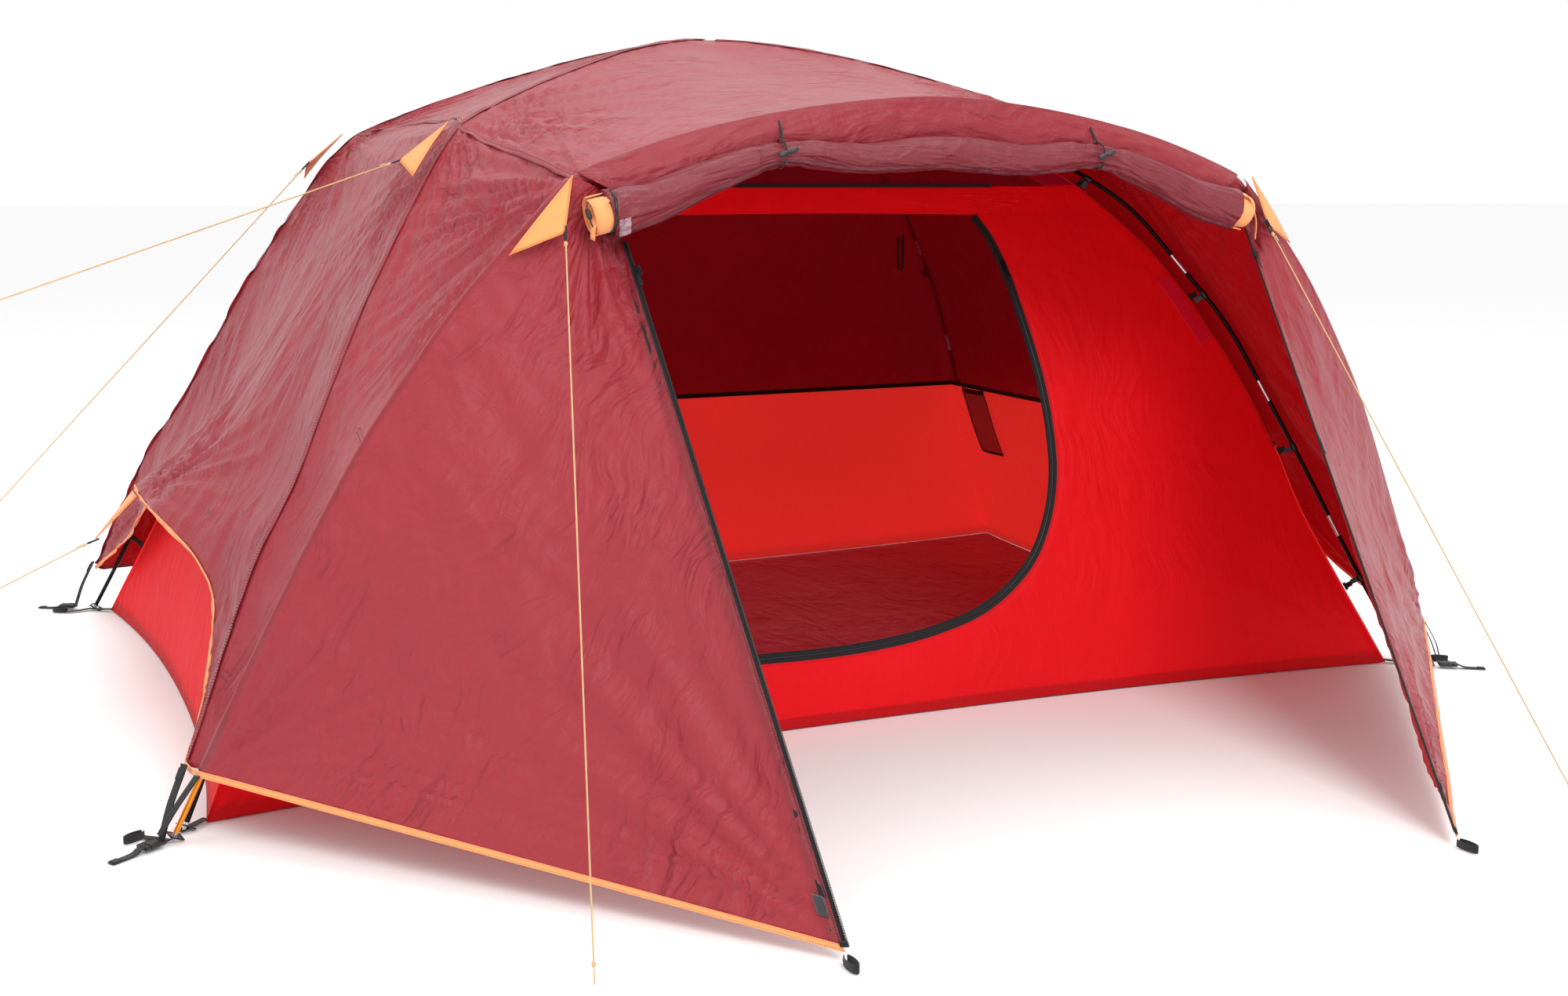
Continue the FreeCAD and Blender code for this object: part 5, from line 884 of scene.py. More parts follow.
def side_grid(sx):
    m = int(1640 / (STEP * 1.15))
    u = np.linspace(0, 1, m)[None, :]
    a = np.abs(2 * u - 1)
    x0, z0 = HEM_X(a), HEM_Z(a)
    s0 = np.interp(z0, *S_OF_Z)
    f = ((S - S[0]) / (S[-1] - S[0]))[:, None]
    s = s0 + (DIAG - s0) * f
    k = s / DIAG
    z = SEAM(s)
    x = HALF_W * (1 - k) - 34 * np.sin(np.pi * u) * np.sin(np.pi * np.clip((z - 100) / 980, 0, 1))
    w = np.clip((s - s0) / (697 - s0), 0, 1)
    xb = HALF_W * (1 - s0 / DIAG) - 34 * np.sin(np.pi * u) * np.sin(np.pi * np.clip((z0 - 100) / 980, 0, 1))
    x = x + (x0 - xb) * (1 - w) ** 3 * np.minimum(1, np.sin(np.pi * u) * 6)
    y = (2 * u - 1) * HALF_D * (1 - k)
    y = y + (2 * u - 1) * HALF_D * (0.985 - 1 + s0 / DIAG) * (1 - w) ** 3 * np.minimum(1, np.sin(np.pi * u) * 6)
    z = z - 10 * np.sin(np.pi * u) * sstep(640, 760, s) * (1 - (s - 703) / 773)
    return np.stack([sx * x + 0 * u, y + 0 * s, z + 0 * u], -1), s + 0 * u, u + 0 * s


def back_grid():
    m = int(2400 / (STEP * 1.25))
    u = np.linspace(0, 1, m)[None, :]
    a = np.abs(2 * u - 1)
    z0 = 102 + 26 * (1 - a * a)
    s0 = np.interp(z0, *S_OF_Z)
    f = ((S - S[0]) / (S[-1] - S[0]))[:, None]
    s = s0 + (DIAG - s0) * f
    k = s / DIAG
    z = SEAM(s)
    y = HALF_D * (1 - k) - 24 * np.sin(np.pi * u) * np.sin(np.pi * np.clip((z - 100) / 980, 0, 1))
    w = np.clip((s - s0) / (697 - s0), 0, 1)
    y = y + ((HALF_D * 0.985 - 14 * (1 - a * a)) - HALF_D * (1 - s0 / DIAG)) * (1 - w) ** 3 * np.minimum(1, np.sin(np.pi * u) * 6)
    z = z - 10 * np.sin(np.pi * u) * sstep(640, 760, s) * (1 - (s - 703) / 773)
    return np.stack([(2 * u - 1) * HALF_W * (1 - k) + 0 * s, y + 0 * u, z + 0 * u], -1), s + 0 * u, u + 0 * s


def front_grid():
    s = np.concatenate([S, S[-2::-1]])
    qx = np.concatenate([-np.ones(len(S)), np.ones(len(S) - 1)])
    a = np.stack([qx * HALF_W * (1 - s / DIAG), -HALF_D * (1 - s / DIAG), SEAM(s)], -1)
    xl = -HALF_W * (1 - 700 / DIAG)
    w = np.clip((s - 30) / 670.0, 0, 1)
    wa = SH * w ** 0.95
    wa = np.where(qx > 0, 1 - wa, wa)
    wx = np.clip((a[:, 0] - xl) / (-2 * xl), 0, 1)
    wa = np.where(s > 700, SH + (1 - 2 * SH) * wx, wa)
    b = np.stack([np.interp(wa * LA[-1], LA, SL_ATT[:, k]) for k in range(3)], -1)
    m = int(620 / STEP)
    u = np.linspace(0, 1, m)[None, :, None]
    P = a[:, None] * (1 - u) + b[:, None] * u
    uu = u[..., 0]
    ww = w[:, None]
    side = qx[:, None]
    g = (s <= 700)[:, None]
    sag = 16 * np.sin(np.pi * uu) * np.sin(np.pi * ww) * (ww < 1)
    P[..., 0] += -side * sag * 0.7
    P[..., 1] += sag * 0.7
    P[..., 2] -= 22 * np.sin(np.pi * uu) * np.sin(np.pi * wx[:, None])
    return P, s[:, None] + 0 * uu, uu + 0 * s[:, None], wa


def edge_mm(P, u_axis=1):
    """Distance in mm from the two side edges of a grid."""
    d = np.concatenate([np.zeros((P.shape[0], 1)), np.cumsum(np.linalg.norm(np.diff(P, axis=1), axis=2), 1)], 1)
    return np.minimum(d, d[:, -1:] - d), d


def radial(P, N, anchor, ref, lobes, r0, r1, amp, seed, spread=math.pi, aim=0.0):
    """Folds that spread out from a point where the cloth is held."""
    v = P - anchor
    r = np.linalg.norm(v, axis=-1)
    i = np.unravel_index(np.argmin(r), r.shape)
    n = unit(N[i])
    e1 = unit(np.asarray(ref, float) - n * np.dot(ref, n))
    e2 = np.cross(n, e1)
    th = np.arctan2((v * e2).sum(-1), (v * e1).sum(-1)) - aim
    th = (th + np.pi) % (2 * np.pi) - np.pi
    env = sstep(0, r0, r) * (1 - sstep(r0, r1, r)) * (1 - sstep(spread * 0.55, spread, np.abs(th)))
    return amp * env * (noise2(th * lobes / 2, r / 700.0 + 3.3, seed) * 1.3 + 0.5 * noise2(th * lobes, r / 300.0, seed + 5))


def pucker(dist, along, amp, pitch, reach, seed):
    """Short gathers square to a line of stitching."""
    return amp * noise2(along / pitch, dist / (reach * 1.6) + 0.37, seed) * np.exp(-(dist / reach) ** 2) * sstep(0, 6, dist)


SHL = at_len(SL_ATT, [SH])[0]
SHR = at_len(SL_ATT, [1 - SH])[0]


def fly_wrinkles(P, s, u, kind, sx=0):
    N = normals_of(P)
    e, across = edge_mm(P)
    L = s * 1.18
    hem = np.linalg.norm(P - P[:1], axis=-1)
    apex = 1 - sstep(1330, 1460, s)
    d = 0
    if kind == "side":
        low = 1 - sstep(560, 700, s)
        d = d + low * (6.0 * fbm(across / 210, L / 620, 2, 11 + sx) + 2.4 * fbm(across / 62, L / 300, 3, 21 + sx))
        d = d + low * 1.5 * ridge(across / 120 + 0.3 * noise2(across / 90, L / 90, 3), L / 210, 2, 31 + sx)
        d = d + (1 - low) * 2.2 * fbm(across / 150, L / 260, 3, 41 + sx)
        for qy in (-1, 1):
            el = seam_pt(sx, qy, 700)
            d = d + radial(P, N, el, (0, -qy, -1.2), 26, 70, 520, 5.5, 51 + qy + sx, 2.6)
            d = d + radial(P, N, seam_pt(sx, qy, 26), (0, -qy, 1.0), 30, 90, 520, 5.0, 61 + qy + sx, 2.6)
        d = d + radial(P, N, A(sx * 1171, 0, 394), (0, 0, 1), 26, 60, 420, 6.5, 71 + sx, 2.8)
    elif kind == "back":
        low = 1 - sstep(560, 700, s)
        d = d + low * (7.0 * fbm(across / 260, L / 620, 2, 12) + 2.6 * fbm(across / 70, L / 300, 3, 22))
        d = d + low * 1.5 * ridge(across / 130, L / 230, 2, 32) + (1 - low) * 2.4 * fbm(across / 160, L / 260, 3, 42)
        for qx in (-1, 1):
            d = d + radial(P, N, seam_pt(qx, 1, 700), (-qx, 0, -1.2), 26, 70, 520, 5.5, 52 + qx, 2.6)
            d = d + radial(P, N, seam_pt(qx, 1, 26), (-qx, 0, 1.0), 30, 90, 520, 5.0, 62 + qx, 2.6)
    else:
        gus = 1 - sstep(640, 760, s)
        d = d + (1 - gus) * (3.2 * fbm(across / 190, L / 330, 3, 13) + 1.0 * ridge(across / 150, L / 190, 2, 33))
        d = d + gus * (3.0 * fbm(across / 90, L / 300, 3, 23) + 1.4 * ridge(across / 110, L / 240, 2, 43))
        for q, SHP in ((-1, SHL), (1, SHR)):
            d = d + radial(P, N, SHP, (q * 1.0, 0.6, -0.6), 34, 110, 640, 7.0, 53 + q, 2.4)
            d = d + radial(P, N, seam_pt(q, -1, 700), (-q, -0.9, 0), 30, 90, 520, 6.0, 63 + q, 2.4)
            d = d + radial(P, N, seam_pt(q, -1, 60), (-q * 0.2, -0.4, 1.0), 24, 80, 420, 3.0, 73 + q, 2.4)
    for side, dist in ((0, across), (1, across[:, -1:] - across)):
        d = d + pucker(dist, L, 2.4, 24, 34, 81 + side)
    d = d * 1.7
    mask = sstep(0, 26, e) * apex
    if kind != "front":
        mask = mask * sstep(-30, 30, hem)
    return P + N * (d * mask)[..., None], e


def weld(grids):
    """Stacks the grids' points, faces, arc-length UVs and painted-shade values into arrays for one mesh; their shared
    seams are merged afterwards.
    """
    v, f, uv, sh, n = [], [], [], [], 0
    for P, shade in grids:
        v.append(P.reshape(-1, 3))
        uv.append(grid_uv(P).reshape(-1, 2))
        sh.append(shade.ravel())
        f.append(grid_faces(P.shape[0], P.shape[1], base=n))
        n += P.shape[0] * P.shape[1]
    return np.vstack(v), np.vstack(f), np.vstack(uv), np.concatenate(sh)


CENTRE = A(0, 0, 350)
grids = []
pin_src = []
for sx in (-1, 1):
    P, s, u = side_grid(sx)
    P = P if sx < 0 else P
    Pw, e = fly_wrinkles(P, s, u, "side", sx)
    if ((Pw - CENTRE) * normals_of(Pw)).sum() < 0:
        Pw, e, s, u = Pw[:, ::-1], e[:, ::-1], s[:, ::-1], u[:, ::-1]
    # painted shade: darker along each panel's seams and at the elbow seam; the end panels' lower part 6 % darker
    shade = -0.20 * np.exp(-(e / 7.0) ** 2) - 0.10 * np.exp(-((s - 700) / 8.0) ** 2) - 0.06 * (1 - sstep(600, 720, s))
    grids.append((Pw, shade))
P, s, u = back_grid()
Pw, e = fly_wrinkles(P, s, u, "back")
if ((Pw - CENTRE) * normals_of(Pw)).sum() < 0:
    Pw, e, s = Pw[:, ::-1], e[:, ::-1], s[:, ::-1]
# painted shade along the back panel's seams and at its elbow seam
grids.append((Pw, -0.20 * np.exp(-(e / 7.0) ** 2) - 0.10 * np.exp(-((s - 700) / 8.0) ** 2)))
P, s, u, FRONT_WA = front_grid()
Pw, e = fly_wrinkles(P, s, u, "front")
if ((Pw - CENTRE) * normals_of(Pw)).sum() < 0:
    Pw, e, s = Pw[:, ::-1], e[:, ::-1], s[:, ::-1]
# painted shade along the front panels' seams
grids.append((Pw, -0.20 * np.exp(-(e / 7.0) ** 2)))
v, f, uv, sh = weld(grids)
fly = make_object("fly_canopy", v, f, [M["fly"], M["fly_in"]], uv=uv, attrs={"shade": sh})
bm = bmesh.new()
bm.from_mesh(fly.data)
bmesh.ops.remove_doubles(bm, verts=bm.verts, dist=0.0004)
bmesh.ops.recalc_face_normals(bm, faces=bm.faces)
bm.to_mesh(fly.data)
bm.free()
fly.data.polygons.foreach_set("use_smooth", np.ones(len(fly.data.polygons), bool))


def orient(ob, centre):
    """Turns a mesh's faces outwards, away from centre (mm)."""
    me = ob.data
    c = np.zeros(len(me.polygons) * 3)
    n = np.zeros(len(me.polygons) * 3)
    me.polygons.foreach_get("center", c)
    me.polygons.foreach_get("normal", n)
    c, n = c.reshape(-1, 3) - np.asarray(centre, float) * MM, n.reshape(-1, 3)
    if (c * n).sum() < 0:
        me.flip_normals()


orient(fly, CENTRE)
fly_co = np.zeros(len(fly.data.vertices) * 3)
fly.data.vertices.foreach_get("co", fly_co)
fly_co = fly_co.reshape(-1, 3) * 1000

def toward(ob, vec):
    me = ob.data
    n = np.zeros(len(me.polygons) * 3)
    me.polygons.foreach_get("normal", n)
    if (n.reshape(-1, 3) @ np.asarray(vec, float)).sum() < 0:
        me.flip_normals()


# pinned lines of the canopy: seams, hems and the sleeve; everything between hangs a little
pin_pts = []
for qx in (-1, 1):
    for qy in (-1, 1):
        pin_pts.append(seam_pt(qx, qy, np.linspace(26, DIAG, 500)))
pin_pts.append(SL_ATT)
pin_pts = np.vstack(pin_pts)
bnd = np.zeros(len(fly_co), bool)
ec = {}
for p in fly.data.polygons:
    for k in p.edge_keys:
        ec[k] = ec.get(k, 0) + 1
for (a_, b_), c_ in ec.items():
    if c_ == 1:
        bnd[a_] = bnd[b_] = True
from mathutils.kdtree import KDTree
kd = KDTree(len(pin_pts))
for i_, p in enumerate(pin_pts):
    kd.insert(p, i_)
kd.balance()
dist = np.array([kd.find(p)[2] for p in fly_co])
pins = np.where(dist < 16, 1.0, 0.0)
pins[bnd] = 1.0
simulate(fly, pins, frames=7, extra=0.004, gravity=0.5, bend=0.6, tension=60, cap=9.0, mass=0.10, quality=3)
shell(fly, 1.1)
piece(fly, "fly_fabric", ("fly_left_end_panel", "fly_right_end_panel", "fly_side_roof_panels", "fly_back_panel",
                          "fly_back_roof_panel", "fly_front_gussets", "fly_front_roof_panel"))
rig.sheet(fly, flat=(3.40, 2.90), held="stretched", rests_on=[], area=6.6)
fly.data.update()
bvh = BVHTree.FromObject(fly, bpy.context.evaluated_depsgraph_get())


def on_fly(path, lift=1.0, reach=40.0):
    """Moves a path onto the outside of the canopy; returns the path and its normals."""
    out, nn = [], []
    for p in path:
        q, n, i, d = bvh.find_nearest(Vector(tuple(p * MM)))
        q, n = np.array(q) * 1000, np.array(n)
        if np.dot(n, q - CENTRE) < 0:
            n = -n
        out.append(q + n * lift)
        nn.append(n)
    return np.array(out), unit(np.array(nn))


def smooth_line(P, k=3):
    Q = P.copy()
    for _ in range(k):
        Q[1:-1] = (Q[:-2] + Q[1:-1] * 2 + Q[2:]) / 4
    return Q


# ---------------------------------------------------------------- seams: felled strips, two rows of stitching
seams = Parts()


def fell(path, width=11.0, mat=0, thread=1, ref=None, lift=0.9, thick=1.1, rows=(-0.33, 0.33), pitch=5.0):
    P, N = on_fly(path, lift)
    P, N = smooth_line(P, 2), unit(smooth_line(N, 4))
    T = unit(np.gradient(P, axis=0))
    X = unit(np.cross(T, N))
    seams.strap(P, X, width, thick, mat, edge=0.3)
    for r_ in rows:
        seams.stitches(P + X * width * r_ + N * thick * 0.5, N, pitch=pitch, length=pitch * 0.62, r=0.45, mat=thread)


for qx in (-1, 1):
    for qy in (-1, 1):
        s_ = np.linspace(30, 1460, 260)
        P = resample(seam_pt(qx, qy, s_), step=9.0)
        fell(P, 13.0)
# seam across each side and the back at the elbows
for sx in (-1, 1):
    P, s, u = side_grid(sx)
    i_ = int(np.argmin(np.abs(s[:, 0] - 700)))
    fell(resample(P[i_], step=10.0), 12.0)
P, s, u = back_grid()
i_ = int(np.argmin(np.abs(s[:, 0] - 700)))
fell(resample(P[i_], step=10.0), 12.0)
# seam between the roof and the gussets, from each elbow to the shoulder
for q, SHP in ((-1, SHL), (1, SHR)):
    fell(resample(np.stack([seam_pt(q, -1, 690), SHP * 0.985 + seam_pt(q, -1, 690) * 0.015]), step=10.0), 11.0)
# short reinforcing tapes where the wings pull on the gussets
for tape_ in ([[-905.0, -800, 590], [-850, -835, 560], [-800, -880, 520]], [[-1135.0, -790, 235], [-1112, -830, 215]]):
    fell(resample(np.array(tape_), step=8.0), 12.0, pitch=4.0)
for tape_ in ([[905.0, -800, 590], [850, -835, 560], [800, -880, 520]], [[1135.0, -790, 235], [1112, -830, 215]]):
    fell(resample(np.array(tape_), step=8.0), 12.0, pitch=4.0)
seam_ob = seams.build("fly_seams_and_stitching", [M["sleeve"], M["thread_dark"]])
piece(seam_ob, "fly_fabric")

# ---------------------------------------------------------------- arch sleeve
sl_t = unit(np.gradient(ARCH3, axis=0))
a = np.linspace(0, 2 * np.pi, 28, endpoint=False)
rows_i = np.linspace(0, 400, 300 if not QUICK else 160)
def lerp_rows(X):
    k0 = np.floor(rows_i).astype(int).clip(0, 399)
    f_ = (rows_i - k0)[:, None]
    return X[k0] * (1 - f_) + X[k0 + 1] * f_
C3, Q3 = lerp_rows(ARCH3), unit(lerp_rows(ARCH_Q))
W3 = np.interp(rows_i, np.arange(401), SL_WID)
L3 = arclen(C3)
prof = []
wid_in = 2 * W3 - 9.0
for k, t_ in enumerate(a):
    c, s_ = math.cos(t_), math.sin(t_)
    # teardrop: round at the pole (outer side), flat towards the tent
    q = np.where(c < 0, 8.2 * c, wid_in * c)
    h = 8.0 * s_ * (1.0 if c < 0 else (1 - c) ** 0.55 * 1.0 + 0.10 * (1 if abs(s_) > 0 else 0))
    puck = 0.0
    q = q + 0.0
    prof.append(C3 + Q3 * q[:, None] + FRONT_N * (h + 0))
PS = np.stack(prof, 1)
NS = normals_of(PS, True)
if ((PS - PS.mean(1, keepdims=True)) * NS).sum() < 0:
    NS = -NS
ang = np.broadcast_to(a[None], PS.shape[:2])
LL = np.broadcast_to(L3[:, None], PS.shape[:2])
flat = np.clip(np.cos(ang), 0, 1)
d = 1.5 * noise2(LL / 26, np.cos(ang) * 1.2 + 5, 91) * flat + 0.8 * noise2(LL / 60, ang, 92) + 1.2 * noise2(LL / 14, flat * 2, 93) * np.exp(-((flat - 0.75) / 0.2) ** 2)
PS = PS + NS * d[..., None]
ends = np.minimum(L3, L3[-1] - L3)
sl_f = [tuple(q) for q in grid_faces(PS.shape[0], PS.shape[1], True).tolist()]
if ((normals_of(PS, True)) * (PS - PS.mean(1, keepdims=True))).sum() < 0:
    sl_f = [q[::-1] for q in sl_f]
uvs = np.stack([ang * 0.01, LL * MM], -1).reshape(-1, 2)
# painted shade: two dark lines along the sleeve, beside its rows of stitching
shade = (-0.22 * np.exp(-((flat - 0.80) / 0.05) ** 2) - 0.12 * np.exp(-((flat - 0.30) / 0.06) ** 2)).ravel()
sleeve = make_object("fly_arch_sleeve_cloth", PS.reshape(-1, 3), sl_f, [M["sleeve"], M["fly_in"]], uv=uvs, attrs={"shade": shade})
bm = bmesh.new(); bm.from_mesh(sleeve.data); bmesh.ops.recalc_face_normals(bm, faces=bm.faces); bm.to_mesh(sleeve.data); bm.free()
shell(sleeve, 0.8)
piece(sleeve, "fly_fabric", ("fly_arch_sleeve",))
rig.padded(sleeve, 0.2)
# stitching that closes the sleeve, front and back
sts = Parts()
for frac, side in ((0.36, 1), (0.86, 1), (0.94, 1), (0.86, -1)):
    q = wid_in * frac
    h = 8.0 * math.sqrt(max(0.0, 1 - frac**2)) * (1 - frac) ** 0.55 + 1.0
    P = C3 + Q3 * q[:, None] + FRONT_N * side * h
    sts.stitches(P, FRONT_N * side, pitch=5.0, length=3.1, r=0.5, mat=0, lift=0.3)
st_ob = sts.build("fly_sleeve_stitching", [M["thread_dark"]])
piece(st_ob, "fly_fabric")


def edge_at(edge, w):
    L = arclen(edge)
    w = np.asarray(w, float) * L[-1]
    return np.stack([np.interp(w, L, edge[:, k]) for k in range(3)], -1)


# ---------------------------------------------------------------- wings
TIP = {-1: A(-508, -1669, 20), 1: A(508, -1671, 20)}
ZTOP = {-1: A(-535, -947, 892), 1: A(630, -969, 900)}
WINGS, WING_IN = {}, {}


def wing_raw(sx, w, m):
    """Rows of the wing: from the arch's foot and the stake (w 0) up to the shoulder (w 1)."""
    w = np.asarray(w, float)
    wa = SH * 0.985 * w
    wa = 1 - wa if sx > 0 else wa
    a = edge_at(SL_OUT, wa) + A(0, -11, -2)
    zt = ZTOP[sx]
    top = A(zt[0] * 0.985, zt[1] - 8, zt[2] + 52)
    z = np.where((w <= 0.93)[:, None], TIP[sx] + (zt - TIP[sx]) * (w / 0.93)[:, None], zt + (top - zt) * ((w - 0.93) / 0.07)[:, None])
    u = np.linspace(0, 1, m)[None, :]
    P = a[:, None] * (1 - u[..., None]) + z[:, None] * u[..., None]
    ww = w[:, None]
    bow = 20.0 * np.sin(np.pi * u) * np.sin(np.pi * np.minimum(1, ww * 1.1))
    fwd = 11.0 * np.sin(np.pi * np.minimum(1, (u + 0.12) / 0.8)) * np.clip((ww - 0.3) / 0.4, 0, 1)
    P[..., 0] += sx * -0.35 * bow
    P[..., 1] += 0.9 * bow - fwd
    return P, ww + 0 * u, u + 0 * ww


for sx in (-1, 1):
    n = int(1250 / STEP)
    m = int(620 / STEP)
    P, w, u = wing_raw(sx, np.linspace(0, 1, n), m)
    N = normals_of(P)
    if (N[..., 0].mean() * sx) < 0:
        N = -N
    e, across = edge_mm(P)
    Lz = w * 1200
    # long folds fan out from the stake and from the shoulder, softer ones between
    d = 7.0 * fbm(u * 3.2 + w * 0.6, w * 1.3, 2, 101 + sx) + 4.2 * fbm(u * 8 + w * 2.2, w * 3.0, 3, 111 + sx) + 2.2 * ridge(u * 4 + w * 2.5, w * 6, 3, 121 + sx)
    d = d + radial(P, N, TIP[sx], (0, 0.4, 1), 22, 120, 900, 14.0, 131 + sx, 2.6)
    d = d + radial(P, N, P[-1, m // 2], (0, 0, -1), 26, 60, 640, 11.0, 141 + sx, 2.6)
    d = d + radial(P, N, P[0, 0], (0, -0.6, 1), 22, 80, 520, 9.0, 151 + sx, 2.6)
    d = d + pucker(across[:, -1:] - across, Lz, 2.2, 26, 34, 161 + sx)
    hemd = np.linalg.norm(P - P[:1], axis=-1)
    mask = sstep(0, 36, across) * sstep(4, 34, across[:, -1:] - across) * sstep(-20, 40, hemd) * (1 - sstep(0.90, 1.0, w) * 0.6)
    P = P + N * (d * mask)[..., None]
    # outside faces away from the vestibule
    Pn = normals_of(P)
    # painted shade: a darker band along the zip edge, a dark line 24 mm in from it, and darker cloth by the sewn edge
    # at the arch
    shade = -0.30 * (1 - sstep(18, 24, across[:, -1:] - across)) - 0.15 * np.exp(-(across / 6) ** 2) - 0.12 * np.exp(-(((across[:, -1:] - across) - 24) / 2.5) ** 2)
    WINGS[sx] = P
    ob = make_object("fly_left_wing_cloth" if sx < 0 else "fly_right_wing_cloth", P.reshape(-1, 3), grid_faces(P.shape[0], P.shape[1]),
                     [M["fly"], M["fly_in"]], uv=grid_uv(P).reshape(-1, 2), attrs={"shade": shade.ravel()})
    toward(ob, A(sx, -0.3, 0.3))
    pw = np.zeros(P.shape[:2])
    pw[:, 0] = pw[:, -1] = pw[0] = pw[-1] = 1
    pw[:, 1] = 0.6
    pw[:, -2] = 0.8
    simulate(ob, pw.ravel(), frames=12, extra=0.005, gravity=0.6, bend=0.5, tension=50, cap=9.0, mass=0.12, quality=5)
    co = np.zeros(len(ob.data.vertices) * 3)
    ob.data.vertices.foreach_get("co", co)
    WINGS[sx] = co.reshape(P.shape) * 1000
    shell(ob, 1.0)
    piece(ob, "fly_fabric", ("fly_left_wing" if sx < 0 else "fly_right_wing",))
    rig.sheet(ob, flat=(0.86, 1.28), held="stretched", rests_on=[], area=0.60)

# ---------------------------------------------------------------- wing hems, zips
orange = Parts()      # mats: 0 orange tape, 1 brown thread


def binding(P, N, X, width, thick=1.5, rows=(0.30, -0.30), pitch=4.2):
    """A folded tape over an edge, with two rows of stitching each side."""
    orange.strap(P, X, width, thick, 0, edge=0.3)
    for sgn in (-1, 1):
        for r_ in rows:
            orange.stitches(P + X * width * r_ + N * sgn * thick * 0.5, N * sgn, pitch=pitch, length=2.6, r=0.42, mat=1)


for sx in (-1, 1):
    W = WINGS[sx]
    P = resample(W[0], step=7.0)
    nxt = resample(W[2], n=len(P))
    X = unit(P - nxt)
    T = unit(np.gradient(P, axis=0))
    N = unit(np.cross(T, X))
    if N[:, 0].mean() * sx < 0:
        N = -N
    wob = noise2(arclen(P) / 45.0, 0.3, 181 + sx) * 1.2
    binding(P + X * 1.5 + N * wob[:, None] * 0.4, N, X, 10.0, 2.8)
# cut-out edges of the end panels
for sx in (-1, 1):
    P0, s, u = side_grid(sx)
    P = resample(P0[0], step=8.0)
    P, N = on_fly(P, 0.0)
    P = smooth_line(P, 4)
    T = unit(np.gradient(P, axis=0))
    X = unit(np.cross(T, smooth_line(N, 6)))
    if X[:, 2].mean() > 0:
        X = -X
    binding(P + X * 1.2, unit(smooth_line(N, 6)), X, 8.0, 2.6)
    # the two bindings meet under the corner of the fly
    lo_ = P[0] if P[0][1] < P[-1][1] else P[-1]
    wf = WINGS[sx][0, 0]
    if np.linalg.norm(lo_ - wf) < 90:
        Q = smooth_path([lo_ + A(0, 1, 2), (lo_ + wf) / 2 + A(sx * 1.0, -1.5, -1.5), wf + A(0, -1, -1)], step=3.0)
        orange.strap(Q, (0, 0, 1), 10.0, 2.8, 0, edge=0.3)
        orange.stitches(Q + A(sx * 1.2, -1.2, 2.6), unit(A(sx * 0.6, -0.8, 0)), pitch=4.2, length=2.6, r=0.42, mat=1)
# the hem along the back is a plain dark tape
backhem = Parts()
P0, s, u = back_grid()
P = resample(P0[0], step=9.0)
P, N = on_fly(P, 0.0)
P = smooth_line(P, 4)
X = unit(np.cross(unit(np.gradient(P, axis=0)), smooth_line(N, 6)))
X = -X if X[:, 2].mean() > 0 else X
backhem.strap(P + X * 1.0, X, 14.0, 2.6, 0)
for r_ in (-0.3, 0.3):
    backhem.stitches(P + X * (1.0 + 14 * r_) + unit(N) * 1.3, N, pitch=5.0, length=3.0, r=0.45, mat=1)
for sx in (-1, 1):
    # nothing is made at the foot of each gusset, between the arch's foot and the corner
    pass
bh = backhem.build("fly_back_hem", [M["sleeve"], M["thread_dark"]])
piece(bh, "fly_fabric")


